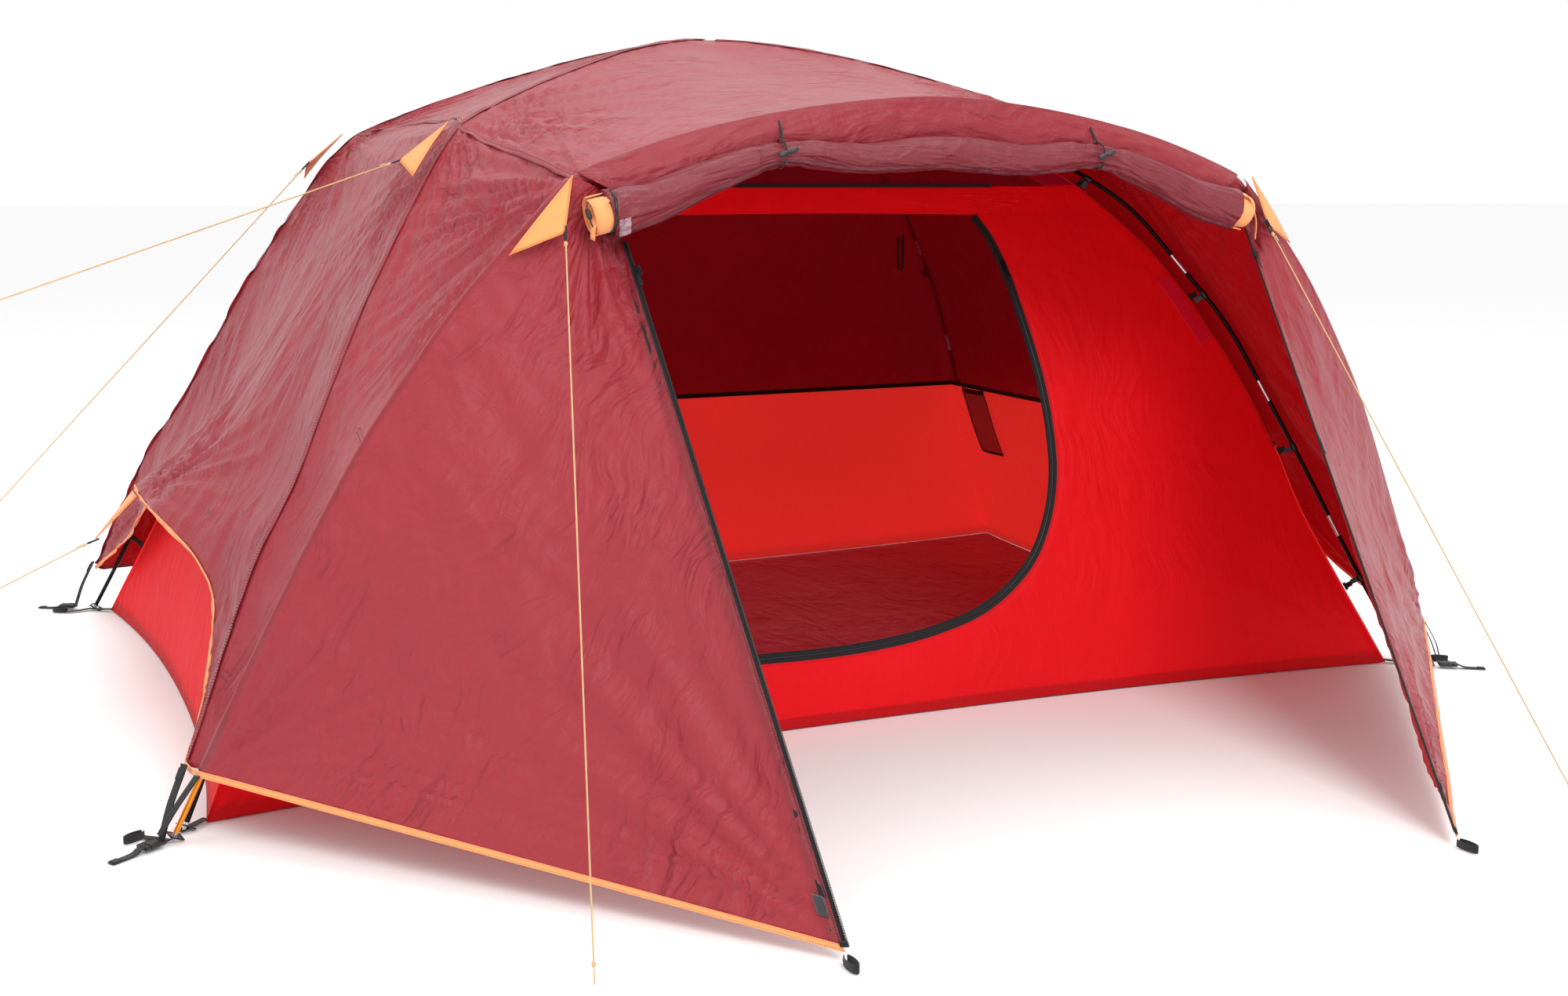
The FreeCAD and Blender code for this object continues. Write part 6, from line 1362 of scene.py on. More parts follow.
# zip: two tapes with a coil each, along the free edge of each wing
zipp = Parts()        # mats: 0 tape, 1 coil, 2 thread
CAP_RING = smooth_path([A(-571.5, -HALF_D - 172.0, 929.9) + A(-0.9 * 0.0, -32.5 * math.cos(q), 32.5 * math.sin(q)) for q in np.linspace(-2.2, 2.6, 26)], step=3.0)
zipp.tube(CAP_RING, 2.3, n=10, hint=(1, 0.1, 0), mat=1)
for sx in (-1, 1):
    W = WINGS[sx]
    k = int(W.shape[0] * 0.93)
    E = resample(W[:k, -1], step=4.0)
    I = resample(W[:k, -4], n=len(E))
    X = unit(smooth_line(unit(E - I), 60))
    T = unit(np.gradient(E, axis=0))
    # the slider runs in a straight line, so the tapes keep the slant they have beside it
    at_rest = int(np.argmin(np.linalg.norm(E - (A(-525.6, -995.9, 841.8) if sx < 0 else A(615.4, -1017.0, 850.2)), axis=1)))
    X = np.broadcast_to(X[at_rest], X.shape).copy()
    N = unit(np.cross(T, X))
    if N[:, 0].mean() * sx < 0:
        N = -N
    zipp.strap(E + X * 1.5 - N * 0.8, X, 9.0, 1.1, 0)
    zipp.strap(E - X * 6.0 - N * 1.4, X, 10.0, 1.0, 0)
    zipp.stitches(E - X * 2.4 + N * 0.5, N, pitch=4.2, length=2.6, r=0.42, mat=2)
    # coil: one tooth every 1.9 mm on the free edge
    Lz = arclen(E)
    n = int(Lz[-1] / 2.3)
    at = np.linspace(2, Lz[-1] - 2, n)
    C = np.stack([np.interp(at, Lz, E[:, q]) for q in range(3)], 1)
    XX = unit(np.stack([np.interp(at, Lz, X[:, q]) for q in range(3)], 1))
    TT = unit(np.stack([np.interp(at, Lz, T[:, q]) for q in range(3)], 1))
    NN = unit(np.cross(TT, XX))
    C = C + XX * 6.6
    hx, ht, hn = 2.0, 0.62, 1.2
    corners = []
    for sa in (-1, 1):
        for sb in (-1, 1):
            for scn in (-1, 1):
                corners.append(C + XX * hx * sa + TT * (ht * sb + 0.35 * sa) + NN * hn * scn * (0.75 if sa > 0 else 1.0))
    Pc = np.stack(corners, 1)
    one = np.array([[0, 1, 3, 2], [4, 6, 7, 5], [0, 4, 5, 1], [2, 3, 7, 6], [0, 2, 6, 4], [1, 5, 7, 3]])
    f = (one[None] + (np.arange(n) * 8)[:, None, None]).reshape(-1, 4)
    zipp.add(Pc.reshape(-1, 3), f.tolist(), 1)
    # bottom stop: a folded square of tape
    zipp.strap(E[:3] + X[:3] * 2 + N[:3] * 1.6, X[:3], 12.0, 2.4, 0)
zob = zipp.build("fly_zip_tapes_and_coils", [M["black_tape"], M["coil"], M["thread_black"]])
piece(zob, "zip_black", ("fly_zip_tapes",))

# ---------------------------------------------------------------- rolled door
RY = -HALF_D - 172.0
ROLL = smooth_path([A(x, RY, z) for x, z in ((-575, 929), (-500, 947), (-400, 986), (-291, 1018), (-150, 1012), (0, 1022),
                    (150, 1012), (291, 1018), (400, 986), (500, 947), (575, 929))], 260 if QUICK else 420)


def roll_radius(x):
    a = np.abs(x)
    q = np.where(a < 250, 0.86 + 0.10 * np.cos(x / 250.0 * math.pi), np.where(a < 330, 0.62, 0.74 + 0.40 * (a - 330.0) / 245.0))
    return 30.0 * q


RR = roll_radius(ROLL[:, 0])
for _ in range(6):
    RR[1:-1] = (RR[:-2] + RR[1:-1] * 2 + RR[2:]) / 4
rt, rs_, ru = frames_along(ROLL, (0, -1, 0))
LR = arclen(ROLL)
n_a = 108
th = np.arange(n_a) / n_a * 2 * np.pi
TH, LL = np.meshgrid(th, LR)
xx = ROLL[:, 0][:, None]
# the spiral's free edge makes one step round the roll; folds run slightly twisted along it
edge_th = 0.5 + 0.25 * np.sin(LR / 190.0)[:, None] + 0.35 * noise2(LR / 210.0, 0.2, 201)[:, None]
ph = (TH - edge_th) % (2 * np.pi) / (2 * np.pi)
step = 3.4 * (ph - 0.5)
tw = TH + LL / 260.0
fold = 2.6 * noise2(np.cos(tw) * 1.6 + 4, np.sin(tw) * 1.6 + LL / 150.0, 202) + 1.9 * noise2(np.cos(tw * 3) + LL / 70, np.sin(tw * 3), 203)
fold = fold + 1.6 * ridge(np.cos(tw * 2) * 1.3 + LL / 240, np.sin(tw * 2) * 1.3 + LL / 120, 2, 204)
near = np.exp(-((np.abs(xx) - 291) / 34.0) ** 2)
pinch = -3.0 * np.exp(-((np.abs(xx) - 291) / 9.0) ** 2) + near * 2.4 * np.cos(TH * 7 + 0.6 * np.sin(LL / 30)) * 0.8
flat_ = 1.0 + 0.05 * np.cos(2 * TH + LL / 170)
rad = (RR[:, None] * flat_ + step + fold * (0.55 + 0.5 * RR[:, None] / 30) + pinch) * 0.97
PR = ROLL[:, None] + rs_[:, None] * (rad * np.cos(TH))[..., None] + ru[:, None] * (rad * np.sin(TH))[..., None]
PR[..., 0] = np.clip(PR[..., 0], -640, 640)
rf = [tuple(q[::-1]) for q in grid_faces(PR.shape[0], n_a, True).tolist()]
# painted shade: a dark band where the spiral's free edge lies over the turn beneath
band = (ph > 0.955) | (ph < 0.012)
mi = []
faces_i, faces_j = np.meshgrid(np.arange(PR.shape[0] - 1), np.arange(n_a), indexing="ij")
win = (np.abs(ROLL[:, 0]) < 215)[:, None] & (np.sin(TH + 0.4 * np.sin(LL / 120)) > 0.10 + 0.10 * noise2(LL / 40, TH, 206)) & (np.sin(TH) < 0.85)
mi = np.where(win[faces_i, faces_j], 1, 0).ravel()
uvr = np.stack([TH * 0.03, LL * MM], -1).reshape(-1, 2)
shade = (-0.35 * band).ravel()
vv = PR.reshape(-1, 3)
# closed ends
vv = np.vstack([vv, ROLL[0], ROLL[-1]])
uvr = np.vstack([uvr, [0, 0], [0, 0]])
shade = np.concatenate([shade, [0, 0]])
o_ = (PR.shape[0] - 1) * n_a
for j in range(n_a):
    k = (j + 1) % n_a
    rf.append((len(vv) - 2, j, k))
    rf.append((len(vv) - 1, o_ + k, o_ + j))
roll = make_object("fly_door_roll_cloth", vv, rf, [M["roll"], M["roll"]], uv=uvr, attrs={"shade": shade})
bm = bmesh.new(); bm.from_mesh(roll.data); bmesh.ops.recalc_face_normals(bm, faces=bm.faces); bm.to_mesh(roll.data); bm.free()
piece(roll, "roll_fabric", ("fly_door_roll",))
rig.padded(roll, 0.6)

# window film showing between the turns, a creased strip on the front of the roll
win = Parts()
lo = np.nonzero((ROLL[:, 0] > -570) & (ROLL[:, 0] < -550))[0]
sub = ROLL[lo]
nst = 22
rows_ = []
for q in range(nst):
    t_ = -1.0 + 2.2 * q / (nst - 1.0)
    rr_ = np.array([np.interp(t_ % (2 * np.pi), np.append(th, 2 * np.pi), np.append(rad[i_], rad[i_, 0])) for i_ in lo]) + 1.6 + 1.1 * noise2(LR[lo] / 33, q * 0.5, 207)
    tv = t_ + 0.10 * np.sin(LR[lo] / 90.0)
    rows_.append(sub + rs_[lo] * (rr_ * np.cos(tv))[:, None] + ru[lo] * (rr_ * np.sin(tv))[:, None])
PWN = np.stack(rows_, 1)
film = make_object("fly_window_film", PWN.reshape(-1, 3), grid_faces(PWN.shape[0], nst), [M["clear"]], uv=grid_uv(PWN).reshape(-1, 2))
shell(film, 0.5, inner=0, offset=0)
piece(film, "roll_fabric")
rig.sheet(film, flat=(0.076, 0.021), held="folded", rests_on=[])

# lintel: the strip of the door panel between the sleeve and the roll
pw = at_len(SL_OUT, np.linspace(SH * 0.99, 1 - SH * 0.99, 260))
pw = pw + FRONT_N * 5.0 + A(0, 0, 3)
rows_ = []
dst = []
for p in pw:
    x = float(np.clip(p[0], -560, 560))
    i_ = int(np.argmin(np.abs(ROLL[:, 0] - x)))
    dst.append(ROLL[i_] + A(0, 10, RR[i_] * 0.86))
dst = np.array(dst)
dst = smooth_line(dst, 6)
mL = 30
uu = np.linspace(0, 1, mL)[None, :, None]
PL = pw[:, None] * (1 - uu) + dst[:, None] * uu
Lp = arclen(pw)[:, None]
u2 = uu[..., 0]
sagl = np.sin(np.pi * u2)
dl = 3.0 * noise2(Lp / 42 + u2 * 0.6, u2 * 1.4 + 2, 211) + 1.6 * noise2(Lp / 17, u2 * 2, 212) + 2.2 * ridge(Lp / 80 + u2, u2 * 1.5, 2, 213)
PL[..., 1] += -6.0 * sagl - dl * sagl
# painted shade: the lintel 12 % darker overall and darker still just under the sleeve
lint = make_object("fly_door_lintel", PL.reshape(-1, 3), grid_faces(PL.shape[0], mL), [M["fly"], M["fly_in"]], uv=grid_uv(PL).reshape(-1, 2),
                   attrs={"shade": (-0.12 - 0.10 * np.exp(-(u2 / 0.1) ** 2) + 0 * Lp).ravel()})
toward(lint, A(0, -1, 0))
shell(lint, 0.9)
piece(lint, "fly_fabric")
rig.sheet(lint, flat=(1.24, 0.062), held="stretched", rests_on=[])

# ends of the roll: the zip guard's turns, seen edge on
for sgn in (-1, 1):
    e, nx = (ROLL[0], ROLL[3]) if sgn < 0 else (ROLL[-1], ROLL[-4])
    d_ = unit(e - nx)
    a1 = unit(np.cross(d_, A(0, -1, 0)))
    a2 = np.cross(d_, a1)
    for turn in range(5):
        r0 = 30.0 - turn * 5.6
        if r0 < 6:
            break
        tt = np.linspace(0, 2 * np.pi, 60)
        rr_ = r0 - 5.0 * tt / (2 * np.pi) + 0.8 * noise2(tt * 1.3, turn * 3.1, 221 + sgn)
        ln = 28 - 3.0 * turn + 3.0 * noise2(tt * 0.8, turn * 1.7, 222)
        ring = e + a1 * (rr_ * np.cos(tt + turn))[:, None] + a2 * (rr_ * np.sin(tt + turn))[:, None]
        mid = ring + d_ * (ln * 0.5)[:, None]
        orange.strap(mid, np.broadcast_to(d_, mid.shape), ln, 2.4, 0)
        orange.stitches(ring + d_ * (ln - 3)[:, None] + unit(ring - e) * 1.3, unit(ring - e), pitch=4.0, length=2.4, r=0.4, mat=1)
# a strip of the same tape hangs from each shoulder of the door and is drawn back to the sleeve
for sgn, pts in ((-1, [(-560, -1010, 955), (-583, -1022, 948), (-602, -1021, 915), (-603, -1015, 890)]),
                 (1, [(566, -1012, 958), (592, -1024, 950), (611, -1022, 912), (616, -1016, 878)])):
    P = smooth_path([A(*p) for p in pts], step=5.0)
    X = np.broadcast_to(unit(A(0.25 * sgn, 0.55, 0.2)), P.shape)
    orange.strap(P, X, 15.0 - 5.0 * np.linspace(0, 1, len(P)), 1.5, 0)
ob = orange.build("fly_orange_bindings", [M["orange"], M["thread_orange"]])
piece(ob, "orange_trim", ("fly_bindings_and_roll_ends",))

# door toggles and their loops
for sgn, side in ((-1, "left"), (1, "right")):
    tg = Parts()
    c = A(sgn * 291, -1032.5, 1020)
    zz = np.linspace(-17, 17, 15)
    rz = 4.2 * (1 - 0.35 * np.exp(-(zz / 4.0) ** 2)) * np.sqrt(np.clip(1 - (np.abs(zz) / 17.6) ** 6, 0.02, 1))
    tg.tube(c + zz[:, None] * unit(A(1, 0, 0.35)), rz, hint=(0, 1, 0), n=18)
    tg.tube(c + A(0, -1, 0) * np.array([[2.6], [3.2], [4.4], [5.4]]), [1.4, 2.0, 2.0, 1.0], hint=(1, 0, 0), n=12)
    tob = tg.build("door_toggle_%s_barrel" % side, [M["grey_plastic"]])
    piece(tob, "grey_plastic", ("door_toggle_%s" % side,), body="%s_toggle" % side)
lp = Parts()
for sgn in (-1, 1):
    i_ = int(np.argmin(np.abs(ROLL[:, 0] - sgn * 291)))
    c, r_ = ROLL[i_], RR[i_] + 2.5
    tt = np.linspace(-0.2, 2 * np.pi - 0.55, 60)
    P = c + np.stack([0 * tt + 2.0 * sgn * np.sin(tt * 0.5), -np.cos(tt) * (r_ + 1.5), np.sin(tt) * (r_ + 1.0)], 1)
    lp.tube(P, 1.5, n=9, hint=(1, 0.1, 0))
    P2 = smooth_path([c + A(0, 0, r_ + 1), c + A(-4 * sgn, 6, r_ + 14), A(c[0] - 4 * sgn, float(np.interp(c[0], pw[:, 0], pw[:, 1])) - 4, float(np.interp(c[0], pw[:, 0], pw[:, 2])) - 8)], step=4)
    lp.strap(P2, (1, 0, 0), 4.0, 1.4, 0)
    lp.tube(np.array([A(sgn * 291, c[1] - r_ + 2, 1020), A(sgn * 291, -1026, 1020), A(sgn * 291, -1028.2, 1020), A(sgn * 291, -1029.3, 1020)]), 1.2, n=10, hint=(1, 0.1, 0))
lob = lp.build("door_toggle_loops_cord", [M["black_web"]])
piece(lob, "black_webbing", ("door_toggle_loops",))

# ------------------------------------------------------------------ inner tent
pl_ = [A(s, 0, z) for s, z in POLE_SZ]
POLE = smooth_path(pl_ + [A(2 * DIAG - s, 0, z) for s, z in POLE_SZ[-2::-1]], 1601)
ptan = unit(np.gradient(POLE, axis=0))
pn = np.stack([ptan[:, 2], 0 * ptan[:, 0], -ptan[:, 0]], 1)
INN = POLE + pn * 34.0
IN_S, IN_Z = INN[:801, 0], INN[:801, 2]


def in_s(z):
    return np.interp(z, IN_Z, IN_S)


def in_corner(qx, qy, z):
    z = np.asarray(z, float)
    s = in_s(np.maximum(z, 80.0))
    x, y = qx * HALF_W * (1 - s / DIAG), qy * HALF_D * (1 - s / DIAG)
    w = np.clip((80.0 - z) / 80.0, 0, 1)
    cx, cy = qx * (HALF_W - 46.0), qy * (HALF_D - 46.0 * 0.7)
    return np.stack([x + (cx - x) * w, y + (cy - y) * w, z], -1)


def bow_front(x):
    return 78.0 * (1 - np.minimum(1, np.abs(x) / 1190.0) ** 2.2)


def bow_side(y):
    return 58.0 * (1 - np.minimum(1, np.abs(y) / 810.0) ** 2.2)


def fall(z):
    return np.exp(-z / 170.0)


ISTEP = 22.0 if QUICK else 15.0


def cloth_object(name, P, mats, thick, nodes, slot, flat, held, rests, area=None, outward=None, amp=None, seed=0, shade=None, wr=None, inner=1):
    N = normals_of(P)
    if outward is not None and (N * outward).sum() < 0:
        N = -N
    e, across = edge_mm(P)
    up = np.concatenate([np.zeros((1, P.shape[1])), np.cumsum(np.linalg.norm(np.diff(P, axis=0), axis=2), 0)])
    eu = np.minimum(up, up[-1:] - up)
    if amp:
        d = amp * fbm(across / 260, up / 200, 3, seed) + amp * 0.35 * ridge(across / 170, up / 130, 2, seed + 3)
        if wr is not None:
            d = d + wr(P, N, across, up)
        P = P + N * (d * sstep(0, 40, e) * sstep(0, 26, eu))[..., None]
    ob = make_object(name, P.reshape(-1, 3), grid_faces(P.shape[0], P.shape[1]), mats, uv=grid_uv(P).reshape(-1, 2),
                     attrs=None if shade is None else {"shade": np.broadcast_to(shade(P, across, up), P.shape[:2]).ravel()})
    if outward is not None:
        toward(ob, outward)
    if thick:
        shell(ob, thick, inner=inner)
    piece(ob, slot, nodes)
    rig.sheet(ob, flat=flat, held=held, rests_on=rests, area=area)
    return ob, P


INNER_M = [M["inner"], M["inner_in"]]


def wall(q0, q1, z0, z1, bow, sag, m):
    z = np.linspace(z0, z1, int((z1 - z0) / ISTEP) + 2)
    a, b = in_corner(q0[0], q0[1], z), in_corner(q1[0], q1[1], z)
    u = np.linspace(0, 1, m)[None, :, None]
    P = a[:, None] * (1 - u) + b[:, None] * u
    k = np.sin(np.pi * u[..., 0])
    zz = z[:, None]
    if q0[0] == q1[0]:
        inw = bow(P[..., 1]) * fall(zz) + sag * k * np.sin(np.pi * np.minimum(1, zz / 1000))
        P[..., 0] -= q0[0] * inw
    else:
        inw = bow(P[..., 0]) * fall(zz) + sag * k * np.sin(np.pi * np.minimum(1, zz / 1000))
        P[..., 1] -= q0[1] * inw
    return P


def corner_pull(c, amp, seed, ref=(0, 0, 1), reach=520):
    return lambda P, N, ac, up: sum(radial(P, N, A(*p), ref, 24, 60, reach, amp, seed + i, 2.8) for i, p in enumerate(c))


# the bottom 22 mm takes the darker colour of the floor fabric's edge; painted shade darkens each wall's side edges at
# the corners
floor_band_and_painted_shade = lambda P, ac, up: -0.45 * (1 - sstep(22, 25, P[..., 2])) - 0.10 * np.exp(-(np.minimum(ac, ac[:, -1:] - ac) / 5) ** 2)
for sx, nm in ((-1, "left"), (1, "right")):
    P = wall((sx, -1), (sx, 1), 2.0, 448.0, bow_side, 10, int(1600 / ISTEP))
    cs = [tuple(in_corner(sx, qy, z_)) for qy in (-1, 1) for z_ in (6.0, 440.0)]
    cloth_object("inner_%s_wall_cloth" % nm, P, INNER_M, 0.9, ("inner_%s_wall" % nm,), "inner_fabric", (1.66, 0.52), "stretched",
                 [], area=0.72, outward=A(sx, 0, 0), amp=3.0, seed=301 + sx,
                 shade=floor_band_and_painted_shade, wr=corner_pull(cs, 4.0, 310 + sx))
P = wall((-1, 1), (1, 1), 2.0, 448.0, bow_front, 10, int(2300 / ISTEP))
cs = [tuple(in_corner(qx, 1, z_)) for qx in (-1, 1) for z_ in (6.0, 440.0)]
cloth_object("inner_back_wall_cloth", P, INNER_M, 0.9, ("inner_back_wall",), "inner_fabric", (2.42, 0.52), "stretched", [], area=1.06,
             outward=A(0, 1, 0), amp=3.4, seed=321, shade=floor_band_and_painted_shade, wr=corner_pull(cs, 4.0, 330))


def mesh_grid(q0, q1, z0, sag, m):
    s0 = in_s(z0)
    s = np.linspace(s0, 1430.0, int((1430 - s0) / ISTEP) + 2)
    z = np.interp(s, IN_S, IN_Z)
    k = 1 - s / DIAG
    a = np.stack([q0[0] * HALF_W * k, q0[1] * HALF_D * k, z], -1)
    b = np.stack([q1[0] * HALF_W * k, q1[1] * HALF_D * k, z], -1)
    u = np.linspace(0, 1, m)[None, :, None]
    P = a[:, None] * (1 - u) + b[:, None] * u
    kk = np.sin(np.pi * u[..., 0]) * np.sin(np.pi * np.minimum(1, z / 1230.0))[:, None] * sag
    if q0[0] == q1[0]:
        P[..., 0] -= q0[0] * kk
    else:
        P[..., 1] -= q0[1] * kk
    return P


for sx, nm in ((-1, "left"), (1, "right")):
    P = mesh_grid((sx, -1), (sx, 1), 452.0, 12, int(1100 / ISTEP))
    cloth_object("inner_side_mesh_%s" % nm, P, [M["mesh"]], 0.0, ("inner_side_meshes",) if sx < 0 else (), "mesh", (1.16, 1.10), "stretched",
                 [], area=0.72, outward=A(sx, 0, 0), amp=3.0, seed=341 + sx)
P = mesh_grid((-1, 1), (1, 1), 452.0, 14, int(1600 / ISTEP))
cloth_object("inner_back_mesh_cloth", P, [M["mesh"]], 0.0, ("inner_back_mesh",), "mesh", (1.72, 1.00), "stretched", [], area=1.0,
             outward=A(0, 1, 0), amp=3.5, seed=351)
P = mesh_grid((-1, -1), (1, -1), 971.0, 8, int(1000 / ISTEP))
cloth_object("inner_front_mesh_cloth", P, [M["mesh"]], 0.0, ("inner_front_mesh",), "mesh", (0.98, 0.72), "stretched", [], area=0.40,
             outward=A(0, -1, 0), amp=2.5, seed=361)

# front wall with its D-shaped doorway
DOOR = [(372, 914), (390, 880), (408, 820), (424, 740), (438, 660), (448, 580), (452, 500), (448, 420), (428, 340),
        (388, 268), (330, 214), (255, 172), (160, 146), (60, 132), (-60, 126), (-200, 128), (-340, 132), (-480, 138),
        (-610, 150), (-700, 178), (-752, 232), (-768, 300), (-760, 380), (-738, 470), (-710, 560), (-676, 650),
        (-640, 740), (-600, 820), (-566, 880), (-548, 914), (-420, 916), (-260, 917), (-90, 918), (80, 918), (230, 916)]


def fmap(x, z, off=0.0):
    x, z = np.broadcast_arrays(np.asarray(x, float), np.asarray(z, float))
    p = in_corner(-1, -1, z)
    return np.stack([x, p[..., 1] + bow_front(x) * fall(z) - off, z], -1)


def outer_match():
    zt, zb, out = 968.0, 2.2, []
    for k, (x, z) in enumerate(DOOR):
        if k >= 29 or k == 0:
            xt = float(in_corner(1, -1, zt)[0]) - 2
            f = {0: 1.0, 29: -1.0}.get(k, x / 440.0)
            out.append((max(-1.0, min(1.0, f)) * xt, zt))
        elif k <= 9:
            zz = zt + (zb - zt) * (k / 10.0) ** 0.9
            out.append((float(in_corner(1, -1, zz)[0]) - 2, zz))
        elif k <= 18:
            xb = float(in_corner(1, -1, zb)[0]) - 2
            out.append((xb * (1 - 2 * (k - 10) / 8.0), zb))
        else:
            zz = zb + (zt - zb) * (k - 18) / 11.0
            out.append((-(float(in_corner(1, -1, zz)[0]) - 2), zz))
    return out


def fine_closed(pts, per, smooth=True):
    P = np.array(pts, float)
    n = len(P)
    out = []
    for i in range(n):
        p0, p1, p2, p3 = P[i - 1], P[i], P[(i + 1) % n], P[(i + 2) % n]
        for t in np.arange(per) / per:
            if smooth and not (i in (28, 29, 34, 0) ):
                out.append(0.5 * (2 * p1 + (p2 - p0) * t + (2 * p0 - 5 * p1 + 4 * p2 - p3) * t * t + (3 * p1 - p0 - 3 * p2 + p3) * t**3))
            else:
                out.append(p1 + (p2 - p1) * t)
    return np.array(out)


per = 6 if QUICK else 9
dn, on = fine_closed(DOOR, per), fine_closed(outer_match(), per, False)
nl = 26 if QUICK else 40
wv = (np.arange(nl) / (nl - 1.0))[:, None, None]
G = on[None] + (dn - on)[None] * wv
P = fmap(G[..., 0], G[..., 1])
Xg, Zg = G[..., 0], G[..., 1]
dd = 3.2 * fbm(Xg / 240, Zg / 260, 3, 371) + 1.3 * ridge(Xg / 190 + Zg / 260, Zg / 170, 2, 373)
Nf = np.broadcast_to(A(0, -0.95, -0.3), P.shape)
for i_, c_ in enumerate([(1160, -790, 6), (-1160, -790, 6), (430, -300, 968), (-430, -300, 968), (452, -480, 500)]):
    dd = dd + radial(P, Nf, A(*c_), (0, 0, 1.0), 26, 60, 620, 4.5, 380 + i_, 2.8)
din = np.linalg.norm(P - P[-1:], axis=-1)
dou = np.linalg.norm(P - P[:1], axis=-1)
dd = dd + 1.6 * noise2(np.cumsum(np.linalg.norm(np.diff(P[-1], axis=0, prepend=P[-1][:1]), axis=1))[None] / 26.0, din / 50.0, 391) * np.exp(-(din / 30) ** 2)
P = P + Nf * (dd * sstep(0, 30, din) * sstep(0, 30, dou))[..., None]
ff = grid_faces(P.shape[0], P.shape[1], True)
# the bottom 22 mm takes the darker colour of the floor fabric's edge; above 918 mm the wall is 10 % lighter
shade = -0.45 * (1 - sstep(22, 25, P[..., 2])) + 0.10 * sstep(918, 924, P[..., 2])
fw = make_object("inner_front_wall_cloth", P.reshape(-1, 3), ff, INNER_M, uv=np.stack([Xg, Zg], -1).reshape(-1, 2) * MM, attrs={"shade": shade.ravel()})
toward(fw, A(0, -1, 0))
shell(fw, 0.9)
piece(fw, "inner_fabric", ("inner_front_wall",))
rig.sheet(fw, flat=(2.42, 1.12), held="stretched", rests_on=[], area=1.10)

# black piping between the solid walls and the netting, and a tape along the top of the front wall
tapes = Parts()
for q0, q1 in (((-1, -1), (-1, 1)), ((1, -1), (1, 1)), ((-1, 1), (1, 1))):
    Pw = wall(q0, q1, 449.0, 451.0, bow_side if q0[0] == q1[0] else bow_front, 10, 120)[0]
    inw = A(-q0[0], 0, 0) if q0[0] == q1[0] else A(0, -1, 0)
    tapes.strap(Pw + inw * 1.2, (0, 0, 1), 11.0, 1.4, 0)
    tapes.strap(Pw - inw * 1.6, (0, 0, 1), 8.0, 1.2, 0)
    tapes.stitches(Pw + inw * 2.0 + A(0, 0, 3), inw, pitch=4.5, length=2.8, r=0.4, mat=1)
Pb = fmap(np.linspace(-430, 430, 110), 968.0) + A(0, -1.0, 0)
tapes.strap(Pb, (0, 0, 1), 10.0, 1.3, 0)
ob = tapes.build("inner_seam_tapes", [M["black_tape"], M["thread_black"]])
piece(ob, "black_webbing", ("inner_webbing_tapes",))

# doorway zip: tapes either side of a coil
dz = Parts()
zc = fine_closed(DOOR, 10)[: 29 * 10 + 1]
tan2 = unit(np.gradient(zc, axis=0))
nn2 = np.stack([tan2[:, 1], -tan2[:, 0]], 1)
nn2 *= np.where(((A(-150, 500) - zc) * nn2).sum(1) < 0, -1, 1)[:, None]
for _ in range(4):
    nn2[1:-1] = (nn2[:-2] + nn2[1:-1] * 2 + nn2[2:]) / 4
zc3 = fmap(*(zc + nn2 * 10.0).T)
zo3, zi3 = fmap(*(zc + nn2 * 1.0).T), fmap(*(zc + nn2 * 19.0).T)
X3 = unit(zi3 - zo3)
T3 = unit(np.gradient(zc3, axis=0))
N3 = unit(np.cross(T3, X3))
if N3[:, 1].mean() > 0:
    N3 = -N3
# the gap between tape and wall is closed by the wall's turned-in edge
edge_path = fmap(*zc.T)
dz.strap(edge_path - N3 * 0.5, X3, 9.0, 2.0, 3)
dz.strap(zc3 + N3 * 0.8 - X3 * 5.4, X3, 8.4, 1.2, 0)
dz.strap(zc3 + N3 * 0.8 + X3 * 5.4, X3, 8.4, 1.2, 0)
dz.stitches(zc3 + N3 * 1.6 - X3 * 7.6, N3, pitch=4.2, length=2.6, r=0.4, mat=2)
dz.stitches(zc3 + N3 * 1.6 + X3 * 7.6, N3, pitch=4.2, length=2.6, r=0.4, mat=2)
cp = resample(zc3 + N3 * 1.0, step=1.3)
dz.tube(cp, 1.9 + 0.45 * np.where(np.arange(len(cp)) % 2, 1, -1), 1.5 + 0.3 * np.where(np.arange(len(cp)) % 2, 1, -1), hint=(0, -1, 0), n=7, mat=1)
ob = dz.build("inner_door_zip_tapes_and_coil", [M["black_tape"], M["coil"], M["thread_black"], M["inner"]])
piece(ob, "zip_black", ("inner_door_zip",))

# opened door gathered along its hinge side
gp = [(-560, 850, -42), (-600, 760, -46), (-650, 640, -48), (-690, 520, -50), (-722, 400, -52), (-738, 290, -56), (-728, 190, -58), (-700, 110, -58)]
GATH = smooth_path([fmap(x, z, o) for x, z, o in gp], 150)
kx = np.linspace(0, 22, 150)
gw = 18 + 12 * np.sin(np.pi * np.minimum(1, (kx + 1) / 15.0)) + 2.0 * np.sin(kx * 1.3)
gw = gw * (1 - 0.45 * np.exp(-((kx - 11) / 1.3) ** 2))
ng = 72
thg = np.arange(ng) / ng * 2 * np.pi
tg_, sg_, ug_ = frames_along(GATH, (0, 1, 0))
TG, KG = np.meshgrid(thg, kx)
fr = gw[:, None] * (0.90 + 0.13 * np.cos(7 * TG + 0.5 * np.sin(KG * 0.9)) + 0.10 * noise2(np.cos(TG) * 2 + KG / 3, np.sin(TG) * 2, 401))
PG = GATH[:, None] + sg_[:, None] * (fr * np.cos(TG))[..., None] + ug_[:, None] * (fr * 0.9 * np.sin(TG))[..., None]
vg = np.vstack([PG.reshape(-1, 3), GATH[0], GATH[-1]])
fg = [tuple(q) for q in grid_faces(150, ng, True).tolist()]
